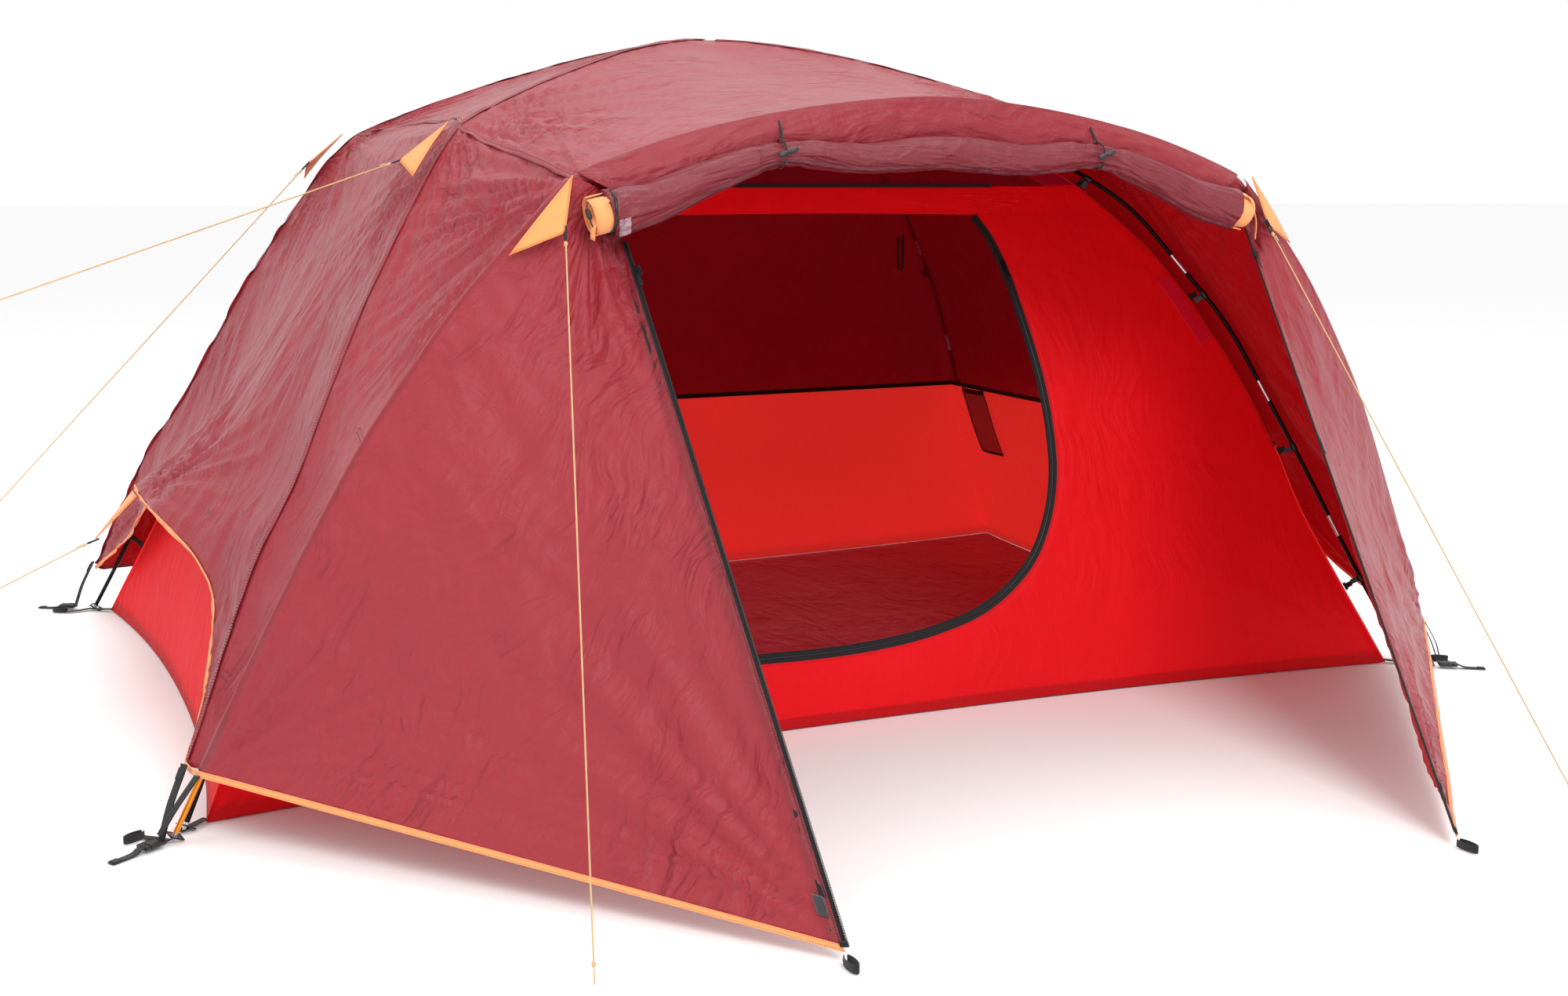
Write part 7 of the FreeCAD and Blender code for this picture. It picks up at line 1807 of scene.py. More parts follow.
for j in range(ng):
    k = (j + 1) % ng
    fg.append((len(vg) - 2, k, j))
    fg.append((len(vg) - 1, 149 * ng + j, 149 * ng + k))
gd = make_object("inner_door_gathered_cloth", vg, fg, [M["inner_in"]], uv=np.vstack([np.stack([TG * 0.03, KG * 0.035], -1).reshape(-1, 2), [[0, 0], [0, 0]]]))
bm = bmesh.new(); bm.from_mesh(gd.data); bmesh.ops.recalc_face_normals(bm, faces=bm.faces); bm.to_mesh(gd.data); bm.free()
piece(gd, "inner_fabric", ("inner_door_gathered",))
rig.padded(gd, 0.5)
tie = Parts()
kt = int(np.argmin(np.abs(kx - 11)))
aa = np.linspace(0, 2 * np.pi, 50)
loop = GATH[kt] + sg_[kt] * (20.5 * np.cos(aa))[:, None] + ug_[kt] * (19.5 * np.sin(aa))[:, None]
tie.strap(loop, np.broadcast_to(tg_[kt], loop.shape), 10.0, 1.8, 0)
ob = tie.build("inner_door_tie_strap", [M["black_web"]])
piece(ob, "black_webbing", ("inner_door_tie",))

# gear pocket: netting on the right wall, bound along its top
z = np.linspace(272, 438, 22)
y = np.linspace(481, 593, 18)
YY, ZZ = np.meshgrid(y, z)
ax_ = in_corner(1, -1, ZZ)[..., 0]
inw = bow_side(YY) * fall(ZZ) + 10 * np.sin(np.pi * ZZ / 1000)
wv_ = (YY - 481) / 112.0
belly = 3.0 + 9.0 * np.sin(np.pi * wv_) * (0.55 + 0.45 * (ZZ - 272) / 166.0)
PP = np.stack([ax_ - inw * np.sin(np.pi * (YY + 831) / 1662.0) - belly - 3, YY, ZZ], -1)
cloth_object("inner_gear_pocket_net", PP, [M["pocket"]], 0.0, ("inner_gear_pocket",), "mesh", (0.12, 0.17), "sewn" if "sewn" in getattr(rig, "HOLDS", ()) else "stretched", [], outward=A(-1, 0, 0), amp=0.8, seed=411)
pk = Parts()
pk.strap(PP[-1] + A(-0.8, 0, 0), (0, 0, 1), 12.0, 1.8, 0)
pk.strap(np.vstack([PP[::-1, 0], PP[0, 1:]])[::1] + A(-0.5, 0, 0), (0, 0.7, 0.7), 6.0, 1.2, 0)
pk.strap(PP[:, -1] + A(-0.5, 0, 0), (0, 1, 0), 6.0, 1.2, 0)
pk.strap(PP[0] + A(-0.5, 0, 0), (0, 0, 1), 6.0, 1.2, 0)
# gear loops in the back corners
for sx in (-1, 1):
    c = in_corner(sx, 1, 850)
    c = A(c[0] - sx * 22, c[1] - 16, 846)
    Pq = smooth_path([c, c + A(-sx, -2, -40), c + A(-sx * 2, -3, -78), c + A(-sx * 8, -4, -86), c + A(-sx * 14, -3, -78), c + A(-sx * 14, -2, -40), c + A(-sx * 12, 0, -4)], step=3.0)
    pk.strap(Pq, (0, 1, 0), 10.0, 1.3, 0)
# tapes between the clips and the inner tent, each sewn on with a small square
CLIP_S = [118, 262, 452, 690, 955, 1250]
for qx in (-1, 1):
    for qy in (-1, 1):
        for s in CLIP_S:
            i_ = int(np.argmin(np.abs(POLE[:801, 0] - s)))
            def to3(p):
                k = p[0] / DIAG
                return A(qx * HALF_W * (1 - k), qy * HALF_D * (1 - k), p[2])
            P0, n0, t0 = POLE[i_], pn[i_], ptan[i_]
            a_, b_ = to3(P0 + n0 * 19.0), to3(P0 + n0 * 34.0)
            T_ = unit(to3(P0 + t0) - to3(P0))
            pk.strap(resample(np.array([a_, (a_ + b_) / 2, b_]), step=2.5), T_, 11.0, 1.4, 0)
            pk.strap(resample(np.array([a_ * 0.3 + b_ * 0.7, b_ + (b_ - a_) * 0.1]), step=1.5), T_, 17.0, 2.2, 0)
ob = pk.build("inner_webbing_and_loops", [M["black_web"]])
piece(ob, "black_webbing")

# crimson facing down the right front corner of the inner tent
fl = Parts()
sv = np.linspace(430, 800, 90)
zv = np.interp(sv, IN_S, IN_Z)
Pc = np.stack([HALF_W * (1 - sv / DIAG) - 20, -HALF_D * (1 - sv / DIAG) - 6, zv - 14], -1)
wv2 = 2.0 * noise2(np.arange(90) / 8.0, 0.4, 421)
Tc = unit(np.gradient(Pc, axis=0))
Xc = unit(np.cross(Tc, A(0.25, -1, 0.1)))
g_u = np.linspace(-0.5, 0.5, 14)
PF = Pc[:, None] + Xc[:, None] * (g_u * 42.0)[None, :, None] + A(0, -1, 0) * (wv2[:, None] * np.cos(g_u * np.pi))[..., None]
ob, _ = cloth_object("inner_corner_facing", PF, [M["crimson"], M["crimson"]], 0.9, (), "inner_fabric", (0.042, 0.52), "stretched", [], outward=A(0, -1, 0), amp=None, inner=0)

# floor
nx, ny = (90, 60) if QUICK else (150, 104)
uu, vv_ = np.meshgrid(np.linspace(-1, 1, nx), np.linspace(-1, 1, ny))
cx, cy = HALF_W - 52.0, HALF_D - 46 * 0.7 - 6
def arc_in(t, half, depth):
    return depth * (1 - t * t)
Xf = uu * (cx - arc_in(vv_, cy, 58.0) * 1.0)
Yf = vv_ * (cy - arc_in(uu, cx, 76.0) * 1.0)
ed = np.minimum((1 - np.abs(uu)) * cx, (1 - np.abs(vv_)) * cy)
Zf = 1.6 + (2.6 + 2.4 * fbm(Xf / 230, Yf / 260, 3, 431) + 1.6 * ridge(Xf / 200, Yf / 170, 2, 433)) * sstep(0, 60, ed)
Zf = np.maximum(Zf, 1.5)
PFl = np.stack([Xf, Yf, Zf], -1)
cloth_object("inner_floor_cloth", PFl, [M["floor_in"], M["floor_in"]], 1.0, ("inner_floor",), "floor_fabric", (2.34, 1.58), "laid", [], area=3.3, outward=A(0, 0, 1), inner=0)

# ------------------------------------------------------------------ corners
def loose_parts(node):
    """Centre and thin axis of each separate solid of a CAD node, in mm."""
    ob = frame["nodes"][node]
    co = np.array([v.co for v in ob.data.vertices], float) * 1000
    key = {}
    idx = np.zeros(len(co), int)
    for i, c in enumerate(np.round(co, 2)):
        idx[i] = key.setdefault(tuple(c), len(key))
    par = list(range(len(key)))

    def root(i):
        while par[i] != i:
            par[i] = par[par[i]]
            i = par[i]
        return i

    for p in ob.data.polygons:
        r0 = root(idx[p.vertices[0]])
        for v in p.vertices[1:]:
            par[root(idx[v])] = r0
    uq = np.array(list(key.keys()))
    groups = {}
    for i in range(len(uq)):
        groups.setdefault(root(i), []).append(i)
    out = []
    for g_ in groups.values():
        P = uq[g_]
        c = (P.min(0) + P.max(0)) / 2
        w_, v_ = np.linalg.eigh(np.cov((P - P.mean(0)).T))
        out.append((c, v_[:, 0]))
    return out


feet = loose_parts("pole_grommets")
web = Parts()      # mats: 0 webbing, 1 thread
G_OUT = 9.0


def plate(parts, c, d, x, l0, l1, w, bore, thick=2.0, mat=0):
    """Flat piece of webbing with a round hole; x is along it, d square to it."""
    x = unit(x - d * np.dot(x, d))
    y = np.cross(d, x)
    n = 48
    t = np.arange(n) / n * 2 * np.pi
    ct, st = np.cos(t), np.sin(t)
    inner = np.stack([ct * bore, st * bore], 1)
    hw = w / 2
    k = 1 / np.maximum(np.abs(ct) / np.where(ct > 0, l1, l0), np.abs(st) / hw)
    outer = np.stack([ct * k, st * k], 1)
    rings = []
    for f_, h in ((0, -0.5), (0, 0.5), (0.08, 0.5), (0.9, 0.5), (1.0, 0.2), (1.0, -0.2), (0.9, -0.5), (0.08, -0.5)):
        q = inner + (outer - inner) * f_
        rings.append(c + x * q[:, :1] + y * q[:, 1:] + d * (thick * h))
    P = np.stack(rings, 0)
    f = grid_faces(len(rings), n, True).tolist()
    o = (len(rings) - 1) * n
    f += [[o + j, o + (j + 1) % n, (j + 1) % n, j] for j in range(n)]
    uv = np.stack([np.einsum("rnk,k->rn", P - c, x), np.einsum("rnk,k->rn", P - c, y)], -1) * MM
    parts.add(P.reshape(-1, 3), f, mat, uv.reshape(-1, 2))


for c, d in feet:
    d = d if d[2] < 0 else -d
    qx, qy = (1 if c[0] > 0 else -1), (1 if c[1] > 0 else -1)
    main = abs(abs(c[1]) - HALF_D) < 20 and not (c[1] < -845)
    inw = A(-qx, -qy * 0.55 if main else 0.25, 0)
    plate(web, c, d, inw, 10.5, 15.0 if main else 13.0, 21.0, G_OUT + 0.2)
    x = unit(inw - d * np.dot(inw, d))
    y = np.cross(d, x)
    web.stitches(np.array([c + x * 12 + y * k_ + d * -1.1 for k_ in np.linspace(-9, 9, 8)]), -d, pitch=3.0, length=2.0, r=0.4, mat=1)
ob = web.build("corner_foot_webbing_plates", [M["black_web"], M["thread_black"]])
piece(ob, "black_webbing", ("corner_foot_webbings",))


def rbox(parts, c, x, y, z, lx, ly, lz, mat=0, power=0.32, n=28, ends=0.12):
    """Box with rounded edges and slightly drawn-in ends, x along its length."""
    t = np.array([-0.5, -0.49, -0.46, -0.40, 0, 0.40, 0.46, 0.49, 0.5])
    k = np.array([0.80, 0.90, 0.97, 1.0, 1.0, 1.0, 0.97, 0.90, 0.80])
    k = 1 - (1 - k) * ends / 0.2
    path = c + np.outer(t * lx, x)
    parts.tube(path, ly / 2 * k, lz / 2 * k, hint=tuple(z), n=n, mat=mat, power=power)


CORNER = {"front_left": (-1, -1), "front_right": (1, -1), "back_left": (-1, 1), "back_right": (1, 1)}
socks, straps = Parts(), Parts()
up = A(0, 0, 1)
for name, (qx, qy) in CORNER.items():
    out = unit(A(qx * 0.83, qy * 0.56, 0))
    sd = np.cross(out, up)
    c = A(qx * (HALF_W + 36), qy * (HALF_D + (46 if qy < 0 else 26)), 8.0)
    # socket: shell open towards the plug, with two side windows' rims and a webbing bar
    prof = [(-13, .86, .80), (-12.6, .95, .92), (-11, 1, 1), (-4, 1, 1), (4, .97, 1), (11, 1, 1), (12.4, .99, .98), (13, .95, .93),
            (12.6, .86, .72), (6, .84, .68), (-7.8, .84, .66), (-8.6, .3, .2)]
    n = 36
    a = np.arange(n) / n * 2 * np.pi
    ca, sa = np.cos(a), np.sin(a)
    ca, sa = np.sign(ca) * np.abs(ca) ** 0.34, np.sign(sa) * np.abs(sa) ** 0.34
    P = np.stack([c + out * px + sd * (12.0 * w_ * ca)[:, None] + up * (4.0 * h_ * sa)[:, None] for px, w_, h_ in prof])
    f = grid_faces(len(prof), n, True).tolist() + [list(range(n))[::-1], [(len(prof) - 1) * n + k for k in range(n)]]
    socks.add(P.reshape(-1, 3), f, 0)
    for s_ in (-1, 1):
        socks.tube(np.array([c + out * px + sd * s_ * 8.6 + up * 4.1 for px in (-9, -8, 0, 8, 9)]), [.3, .7, .7, .7, .3], hint=(0, 0, 1), n=8)
        socks.tube(np.array([c + out * -9 + sd * k_ + up * 4.1 for k_ in (-7, -6, 0, 6, 7)]), [.3, .6, .6, .6, .3], hint=(0, 0, 1), n=8)
    # plug with three prongs; the outer two end in barbs
    pl = Parts()
    rbox(pl, c + out * 18, out, sd, up, 8.0, 24.0, 7.0, 0)
    for k_ in (-7.4, 0.0, 7.4):
        L_ = np.array([14.5, 10, 4, -2, -4.6])
        pl.tube(np.array([c + out * l + sd * k_ for l in L_]), [1.6, 1.5, 1.5, 1.6, 0.8] if k_ else [1.4, 1.4, 1.3, 1.2, 0.7], [1.7, 1.6, 1.6, 1.7, 1.0], hint=(0, 0, 1), n=12, power=0.6)
    for l in (15.4, 20.6):
        pl.tube(np.array([c + out * l + sd * k_ + up * 3.6 for k_ in (-9, -8, 0, 8, 9)]), [.3, .6, .6, .6, .3], hint=(0, 0, 1), n=8)
    s0 = c + out * 22.0
    tp = smooth_path([s0, s0 + out * 6 - up * 1.5, s0 + out * 14 - up * 5.0, s0 + out * 30 - up * 6.0, s0 + out * 44 - up * 6.2, s0 + out * 56 - up * 6.4], step=2.2)
    pl.strap(tp, sd, 15.0, 1.6, 1)
    pl.strap(tp[-8:-1] + up * 1.5, sd, 15.0, 1.4, 1)
    pl.stitches(np.array([tp[-7] + up * 2.4 + sd * k_ for k_ in np.linspace(-6, 6, 6)]), up, pitch=3.0, length=2.0, r=0.4, mat=2)
    po = pl.build("buckle_plug_%s_body" % name, [M["black_plastic"], M["black_web"], M["thread_black"]])
    piece(po, "black_plastic", ("buckle_plug_" + name,), body="buckle_" + name)
    # fly strap: from the fly's corner down to the socket; at the front corners a second leg comes from the wing's hem
    topc = A(qx * 1206, qy * (HALF_D + (16 if qy < 0 else -4)), 107)
    end = c - out * 13.6
    m1 = (topc + out * 9 + end) / 2 + out * 1.0
    sp = smooth_path([topc - out * 3 + up * 7, topc - out * 0.5, m1 - out * 2, end + up * 3 - out * 1.5, end], step=3.0)
    straps.strap(sp, sd, 15.0, 1.6, 0)
    straps.strap(sp[2:9] + out * 1.8, sd, 15.5, 1.6, 0)
    if qy < 0:
        # second leg, from the start of the wing's hem
        wf = WINGS[qx][0, 0]
        s2 = smooth_path([wf + out * 3 - up * 3, (wf + end) / 2 + out * 9, end + out * 2 + up * 9], step=3.0)
        straps.strap(s2, sd, 13.0, 1.5, 0)
    # ground webbing between the inner tent's corner and the foot
    gw = smooth_path([A(qx * (HALF_W - 50), qy * (HALF_D - 42), 6), A(qx * (HALF_W - 26), qy * (HALF_D - 22), 4.5), A(qx * (HALF_W - 6), qy * (HALF_D - 5), 4.0)], step=3.0)
    straps.strap(gw, sd, 15.0, 1.5, 0)
    for k_ in (3, 7):
        straps.stitches(np.array([sp[k_] + out * 2.9 + sd * q for q in np.linspace(-6, 6, 6)]), out, pitch=3.0, length=2.0, r=0.4, mat=1)
ob = socks.build("buckle_sockets_shells", [M["black_plastic"]])
piece(ob, "black_plastic", ("buckle_sockets",))
ob = straps.build("fly_corner_strap_webbing", [M["black_web"], M["thread_black"]])
piece(ob, "black_webbing", ("fly_corner_straps",))

# stake loops
sl = Parts()


def stake_loop(root, out, ln, gap):
    out = unit(out)
    sd = np.cross(up, out)
    t = np.linspace(-0.88 * math.pi, 0.88 * math.pi, 60)
    P = root + out * (ln * 0.5 + ln * 0.5 * np.cos(t))[:, None] + sd * (gap * 0.5 * np.sin(t))[:, None] + up * 6.0
    sl.strap(P, up, 12.0, 1.7, 0)
    sl.stitches(P[:12] + np.cross(unit(np.gradient(P, axis=0)), up)[:12] * 1.0, np.cross(unit(np.gradient(P, axis=0)), up)[:12], pitch=3, length=2, r=0.35, mat=1)


for sx in (-1, 1):
    stake_loop(A(TIP[sx][0], TIP[sx][1] - 5, 1.2), A(sx * 0.05, -1, 0), 38, 13)
for name, (qx, qy) in CORNER.items():
    out = unit(A(qx * 0.83, qy * 0.56, 0))
    sd = np.cross(up, out)
    rt_ = A(qx * (HALF_W + 30), qy * (HALF_D + (14 if qy < 0 else 6)), 1.2) + sd * (-26.0 * qx * qy)
    stake_loop(rt_, out, 36, 13)
    # its neck, sewn to the foot's plate
    ft_ = min((c_ for c_, d_ in feet), key=lambda c_: np.linalg.norm(c_[:2] - rt_[:2]))
    nk = smooth_path([ft_ * A(1, 1, 0) + out * 11 + up * 4.5, (ft_ + rt_) * A(0.5, 0.5, 0) + out * 4 + up * 3.2, rt_ * A(1, 1, 0) + out * 3 + up * 3.0], step=2.5)
    sl.strap(nk, unit(np.cross(up, nk[-1] - nk[0])), 12.0, 1.7, 0)
# hook-and-loop tabs on the wings
for sx, wv_ in ((-1, 0.045), (1, 0.55), (1, 0.05)):
    W = WINGS[sx]
    big = wv_ > 0.5
    i_ = int(wv_ * (W.shape[0] - 1))
    P = W[i_ - 1:i_ + 3, -4 if big else -2]
    X = unit(W[i_ - 1:i_ + 3, -1] - W[i_ - 1:i_ + 3, -6])
    N = unit(np.cross(unit(np.gradient(P, axis=0)), X))
    if N[:, 0].mean() * sx < 0:
        N = -N
    sl.strap(resample(P, n=14) + unit(resample(N, n=14)) * 1.8 + X.mean(0) * 1, X.mean(0), 38.0 if big else 17.0, 2.2, 2)
ob = sl.build("stake_loop_webbing", [M["black_web"], M["thread_black"], M["velcro"]])
piece(ob, "black_webbing", ("stake_loops",))

# ------------------------------------------------------------------ sliders and pulls
for nm in ("fly_zip_slider_left", "fly_zip_slider_right", "fly_zip_pull_left", "fly_zip_pull_right", "inner_door_zip_slider", "inner_door_zip_pull"):
    ob = frame["nodes"][nm]
    ob.data.materials.clear()
    ob.data.materials.append(M["zip_metal"])
    wl = ob.modifiers.new("weld", "WELD")
    wl.merge_threshold = 0.00001
    bv = ob.modifiers.new("soft edges", "BEVEL")
    bv.width = 0.0005
    bv.segments = 2
    bv.limit_method = "ANGLE"

# ------------------------------------------------------------------ guy points and guy lines
gt, gl_ = Parts(), Parts()      # gt mats: 0 cloth, 1 tape, 2 thread
RING = {}


def tri_tab(a, b, c, key, bow=3.0):
    a, b, c = A(*a), A(*b), A(*c)
    N = unit(np.cross(b - a, c - a))
    if np.dot(N, (a + b + c) / 3 - A(0, 0, 300)) < 0:
        N = -N
    n = 16
    rows_ = []
    for i in range(n):
        w_ = i / (n - 1.0) * 0.955
        l, r = a + (c - a) * w_, b + (c - b) * w_
        u_ = np.linspace(0, 1, 12)[:, None]
        row = l * (1 - u_) + r * u_
        row = row + N * (bow * np.sin(np.pi * u_) * math.sin(math.pi * min(1, w_ + 0.25)) + 0.8 * noise2(u_ * 3, w_ * 4, 501))
        # the sides are left straight
        row = row + (c - (a + b) / 2) * 0
        rows_.append(row)
    P = np.stack(rows_, 0)
    top = P + N * 0.8
    bot = P - N * 0.8
    f1 = grid_faces(n, 12).tolist()
    o = n * 12
    allv = np.vstack([top.reshape(-1, 3), bot.reshape(-1, 3)])
    f2 = [[o + k for k in q][::-1] for q in f1]
    rim = [i * 12 for i in range(n)] + [(n - 1) * 12 + j for j in range(1, 12)] + [i * 12 + 11 for i in range(n - 2, -1, -1)] + [j for j in range(10, 0, -1)]
    f3 = [[rim[k], rim[(k + 1) % len(rim)], o + rim[(k + 1) % len(rim)], o + rim[k]] for k in range(len(rim))]
    uv = np.stack([np.einsum("ijk,k->ij", P - a, unit(b - a)), np.einsum("ijk,k->ij", P - a, unit(c - a))], -1).reshape(-1, 2) * MM
    gt.add(allv, f1 + f2 + f3, 0, np.vstack([uv, uv]))
    for edge, inw in ((P[:, 0], P[:, 1] - P[:, 0]), (P[:, -1], P[:, -2] - P[:, -1])):
        e_ = resample(edge, step=4.0)
        I_ = unit(inw.mean(0))
        gt.stitches(e_ + I_ * 4 + N * 1.0, N, pitch=3.6, length=2.2, r=0.35, mat=2)
        gt.stitches(e_ + I_ * 2 + N * 1.0, N, pitch=3.6, length=2.2, r=0.35, mat=2)
    base_ = resample(P[0], step=4.0)
    gt.stitches(base_ + unit(c - (a + b) / 2) * 4 + N * 1.0, N, pitch=3.6, length=2.2, r=0.35, mat=2)
    RING[key] = c


for sx in (-1, 1):
    tri_tab((sx * 624, -991, 985), (sx * 722, -982, 868), (sx * 645, -1015, 901), ("arch", sx))
    for qy in (-1, 1):
        tri_tab((sx * 668, qy * 448, 1079), (sx * 745, qy * 497, 985), (sx * 752, qy * 431, 1012), ("elbow", sx, qy))
    tri_tab((sx * 1176, -34, 396), (sx * 1176, 34, 396), (sx * 1253, 0, 311), ("side", sx))
tri_tab((-30, 824.5, 124), (30, 824.5, 124), (0, 878.5, 116), ("back", 0))
ob = gt.build("fly_guy_point_triangles", [M["orange_cloth"], M["orange"], M["thread_orange"]])
piece(ob, "orange_trim", ("fly_guy_tabs",))
OUTD = {}
for key, t in RING.items():
    if key[0] == "arch":
        d = A(key[1] * 0.15, -0.55, -0.83)
    elif key[0] == "elbow":
        d = A(key[1] * 0.94, 0, -0.34)
        if key[1] < 0 and key[2] > 0:
            d = A(-0.6, 0.24, -0.66)
    elif key[0] == "side":
        d = A(key[1] * 0.94, 0, -0.34)
    else:
        d = A(0, 0.9, -0.35)
    d = unit(d)
    OUTD[key] = d
    sdv = np.cross(d, A(0, 1, 0)) if abs(d[1]) < 0.7 else np.cross(d, A(1, 0, 0))
    sdv = unit(sdv)
    y_ = np.cross(sdv, d)
    aa = np.linspace(0, 2 * np.pi, 40)
    ring = t + d * 7.8 + d * (5.6 * np.cos(aa))[:, None] + y_ * (4.6 * np.sin(aa))[:, None]
    gl_.tube(ring, 1.2, hint=tuple(sdv + 0.01), n=10)
    gl_.strap(np.array([t - d * 10, t - d * 5, t, t + d * 2.6]) , y_, 9.0, 2.6, 0)
ob = gl_.build("guy_point_loops", [M["black_web"]])
piece(ob, "black_webbing", ("guy_loops",))

GUYS = {
    "guy_line_left_front_elbow": (("elbow", -1, -1), A(-1440, -431, 776), 0.7128),
    "guy_line_left_back_elbow": (("elbow", -1, 1), A(-1440, 669, 245), 1.0429),
    "guy_line_left_side": (("side", -1), A(-1452, 0, 221), 0.2039),
    "guy_line_front_left": (("arch", -1), A(-817, -1602, 22), 1.0563),
    "guy_line_front_right": (("arch", 1), A(817, -1602, 22), 1.0563),
}
ends = Parts()
end_obs = {}
for label, (key, end, ln) in GUYS.items():
    start = RING[key] + OUTD[key] * 14.6
    d = unit(end - start)
    L = np.linalg.norm(end - start)
    # knot beyond the cord's end, a small fixed loop for the stake, and a cut tail
    kp = Parts()
    sdv = unit(np.cross(d, A(0, 0, 1)))
    y_ = np.cross(sdv, d)
    aa = np.linspace(0, 2 * np.pi, 44)
    kp.tube(end + d * 10.6 + d * (8.6 * np.cos(aa))[:, None] + y_ * (5.0 * np.sin(aa) * (1 - 0.3 * np.cos(aa)))[:, None], 1.1, hint=tuple(sdv + 0.01), n=9)
    for base_, dr in ((start, 1), (end, -1)):
        tt = np.linspace(0, 6 * np.pi, 60)
        kp.tube(base_ + d * dr * (2.2 + tt / (6 * np.pi) * 5.0)[:, None] + sdv * (2.0 * np.cos(tt))[:, None] + y_ * (2.0 * np.sin(tt))[:, None], 0.9, hint=tuple(d + 0.01), n=7)
        tl = base_ + d * dr * 7
        kp.tube(smooth_path([tl, tl + y_ * 3 + d * dr * 5, tl + y_ * 4.5 + d * dr * 12 - A(0, 0, 2)], step=1.6), 0.9, hint=tuple(sdv + 0.01), n=7)
    eo = kp.build(label + "_knots", [M["cord"]])
    piece(eo, "guy_cord", ("guy_line_end_loops",) if label == "guy_line_front_left" else ())
    cu = bpy.data.curves.new(label + "_cord", "CURVE")
    cu.dimensions = "3D"
    cu.bevel_depth = 0.0012
    cu.bevel_resolution = 3
    cu.resolution_u = 24
    spn = cu.splines.new("NURBS")
    pts = [start, start + d * 14.4, end - d * 14.4, end]
    spn.points.add(len(pts) - 1)
    for pnt, p in zip(spn.points, pts):
        pnt.co = (p[0] * MM, p[1] * MM, p[2] * MM, 1.0)
    spn.order_u = 3
    spn.use_endpoint_u = True
    cu.materials.append(M["cord"])
    cob = bpy.data.objects.new(label + "_cord", cu)
    bpy.context.scene.collection.objects.link(cob)
    piece(cob, "guy_cord", (label,))
    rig.cord(cob, exit=[float(q) * MM for q in start], length=ln, diameter=0.0024, far_end="knot", stiffness="limp", lay="taut", with_pieces=[eo])

# cord lock and its cord by the left end of the roll
ck = Parts()
ck.tube(np.array([[-611, -1016, 934.0], [-611, -1019, 931], [-611, -1026, 925], [-611, -1029, 922]]), [3.2, 4.0, 4.0, 3.0], hint=(1, 0, 0), n=14)
ck.tube(smooth_path([A(-606, -1008, 945), A(-612, -1018, 940), A(-611, -1024, 926), A(-606, -1022, 912), A(-600, -1014, 906)], step=2), 1.1, hint=(1, 0, 0), n=8)
ob = ck.build("roll_cord_lock", [M["black_plastic"]])
piece(ob, "black_plastic")

# ------------------------------------------------------------------ CAD pieces that are kept
KEEP = {
    "main_pole_left_front_to_right_back": "pole_black", "main_pole_right_front_to_left_back": "pole_black",
    "vestibule_arch_pole": "pole_gold", "pole_ferrules": "silver", "pole_tips": "silver", "pole_grommets": "silver",
    "shock_cords": "elastic", "crossing_clip": "black_plastic", "pole_clips": "black_plastic",
}
left_over = []
for nm, ob in frame["nodes"].items():
    if nm in KEEP:
        ob.data.materials.clear()
        ob.data.materials.append(M[KEEP[nm]])
        wl = ob.modifiers.new("weld", "WELD")
        wl.merge_threshold = 0.00001
        if nm in ("crossing_clip", "pole_clips"):
            bv = ob.modifiers.new("soft edges", "BEVEL")
            bv.width = 0.0006
            bv.segments = 2
            bv.limit_method = "ANGLE"
    else:
        left_over.append(nm)

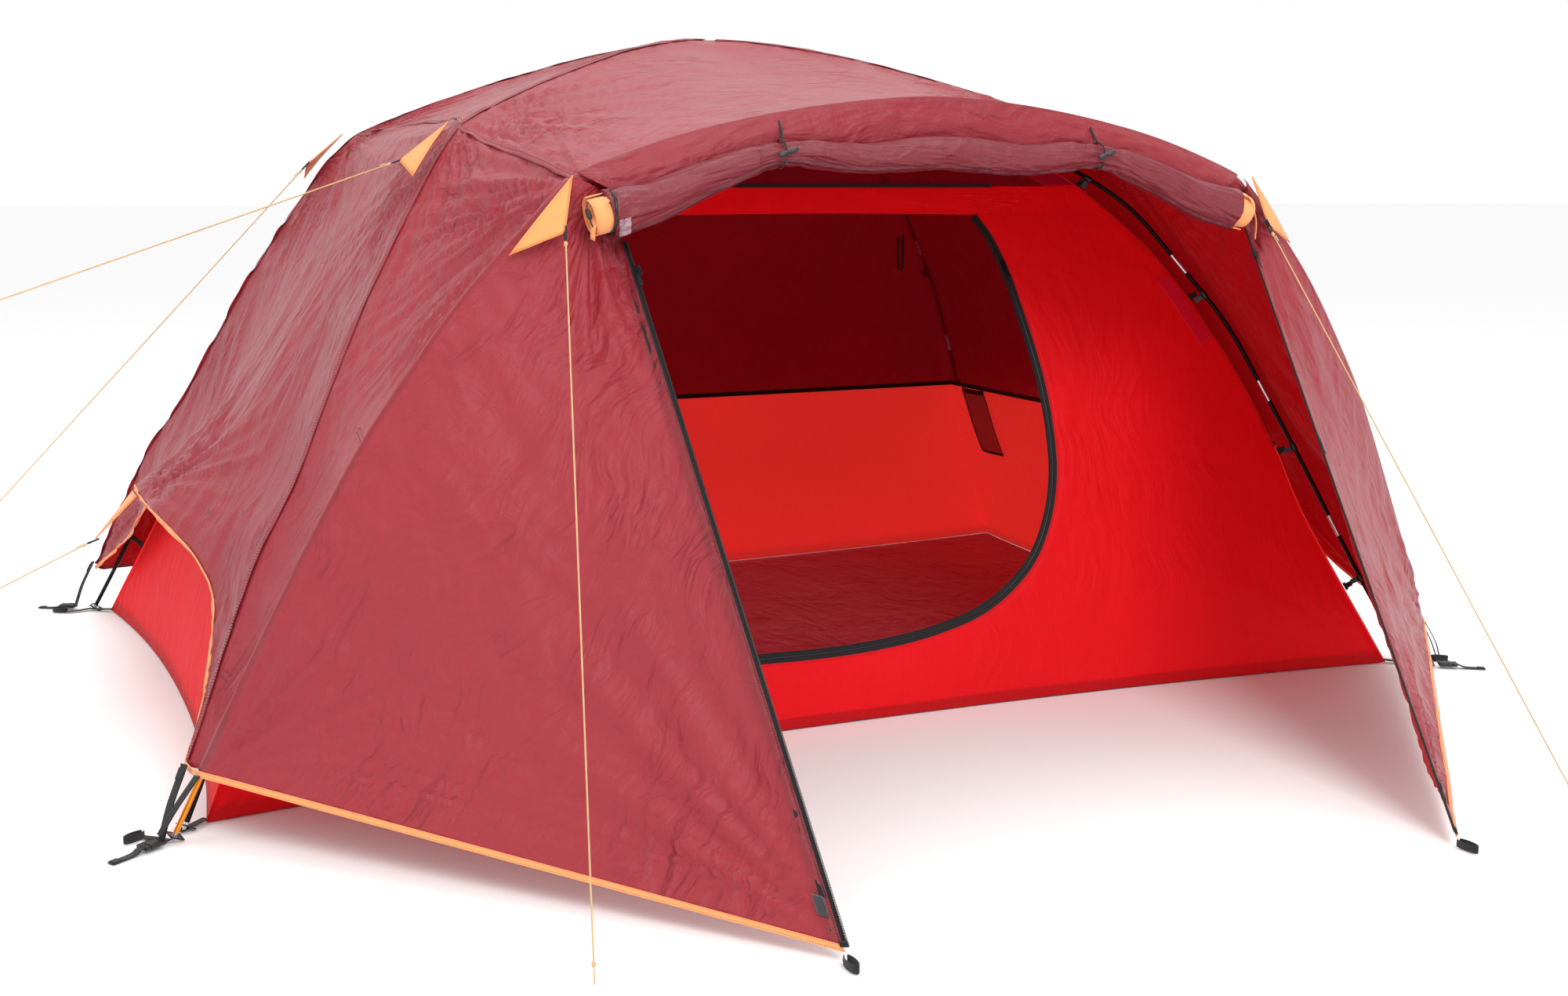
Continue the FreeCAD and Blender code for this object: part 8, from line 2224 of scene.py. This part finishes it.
# ------------------------------------------------------------------ floor, light, camera
me = bpy.data.meshes.new("ground")
me.from_pydata([(-90, -90, -0.001), (90, -90, -0.001), (90, 90, -0.001), (-90, 90, -0.001)], [], [(0, 1, 2, 3)])
ground = bpy.data.objects.new("ground", me)
bpy.context.scene.collection.objects.link(ground)
g = Net("pale_floor")
gobj, guv = g.coords()
gp = g.n("BsdfPrincipled", Roughness=0.9)
gp.inputs["Base Color"].default_value = (0.95, 0.95, 0.95, 1)
gp.inputs["Specular IOR Level"].default_value = 0.1
me.materials.append(g.done(gp.outputs[0]))
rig.stage(ground)

sc = bpy.context.scene
w = bpy.data.worlds.new("studio")
sc.world = w
w.use_nodes = True
nt = w.node_tree
nt.nodes.clear()
bg = nt.nodes.new("ShaderNodeBackground")
bg.inputs[0].default_value = (1, 1, 1, 1)
bg.inputs[1].default_value = 1.0
wo = nt.nodes.new("ShaderNodeOutputWorld")
nt.links.new(bg.outputs[0], wo.inputs[0])


def area(name, loc, aim, size, power, col=(1, 1, 1)):
    l = bpy.data.lights.new(name, "AREA")
    l.shape = "RECTANGLE"
    l.size, l.size_y = size
    l.energy = power
    l.color = col
    o = bpy.data.objects.new(name, l)
    o.location = loc
    o.rotation_euler = (Vector(aim) - Vector(loc)).to_track_quat("-Z", "Y").to_euler()
    sc.collection.objects.link(o)
    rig.stage(o)
    return o


area("key", (-0.6, -6.2, 4.6), (0, 0, 0.5), (2.6, 2.6), 240)
area("top", (0.6, 1.0, 5.5), (0, 0, 0.6), (4, 4), 110)
area("side", (-4.8, -0.6, 3.2), (0, 0, 0.5), (2.5, 2.5), 30)

cam = bpy.data.cameras.new("photo_camera")
co = bpy.data.objects.new("photo_camera", cam)
sc.collection.objects.link(co)
cam.lens, cam.sensor_width, cam.sensor_fit = 42.56, 36.0, "HORIZONTAL"
cam.clip_end = 100
R_, U_, F_ = Vector((0.9091, -0.4166, 0)), Vector((0.0693, 0.1512, 0.9861)), Vector((0.4108, 0.8964, -0.1663))
R_.normalize(); F_.normalize()
U_ = R_.cross(F_)
m3 = Matrix((R_, U_, -F_)).transposed()
co.matrix_world = Matrix.Translation(Vector((-1.500, -3.653, 0.970))) @ m3.to_4x4()
sc.camera = co
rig.stage(co)
sc.view_settings.view_transform = "Standard"
bpy.context.view_layer.update()
with open("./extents.json", "w") as fh:
    b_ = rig.bounds()
    json.dump({"cad": [list(map(float, CAD_BOX[0])), list(map(float, CAD_BOX[1]))],
               "visual": [list(map(float, b_[0])), list(map(float, b_[1]))]}, fh)
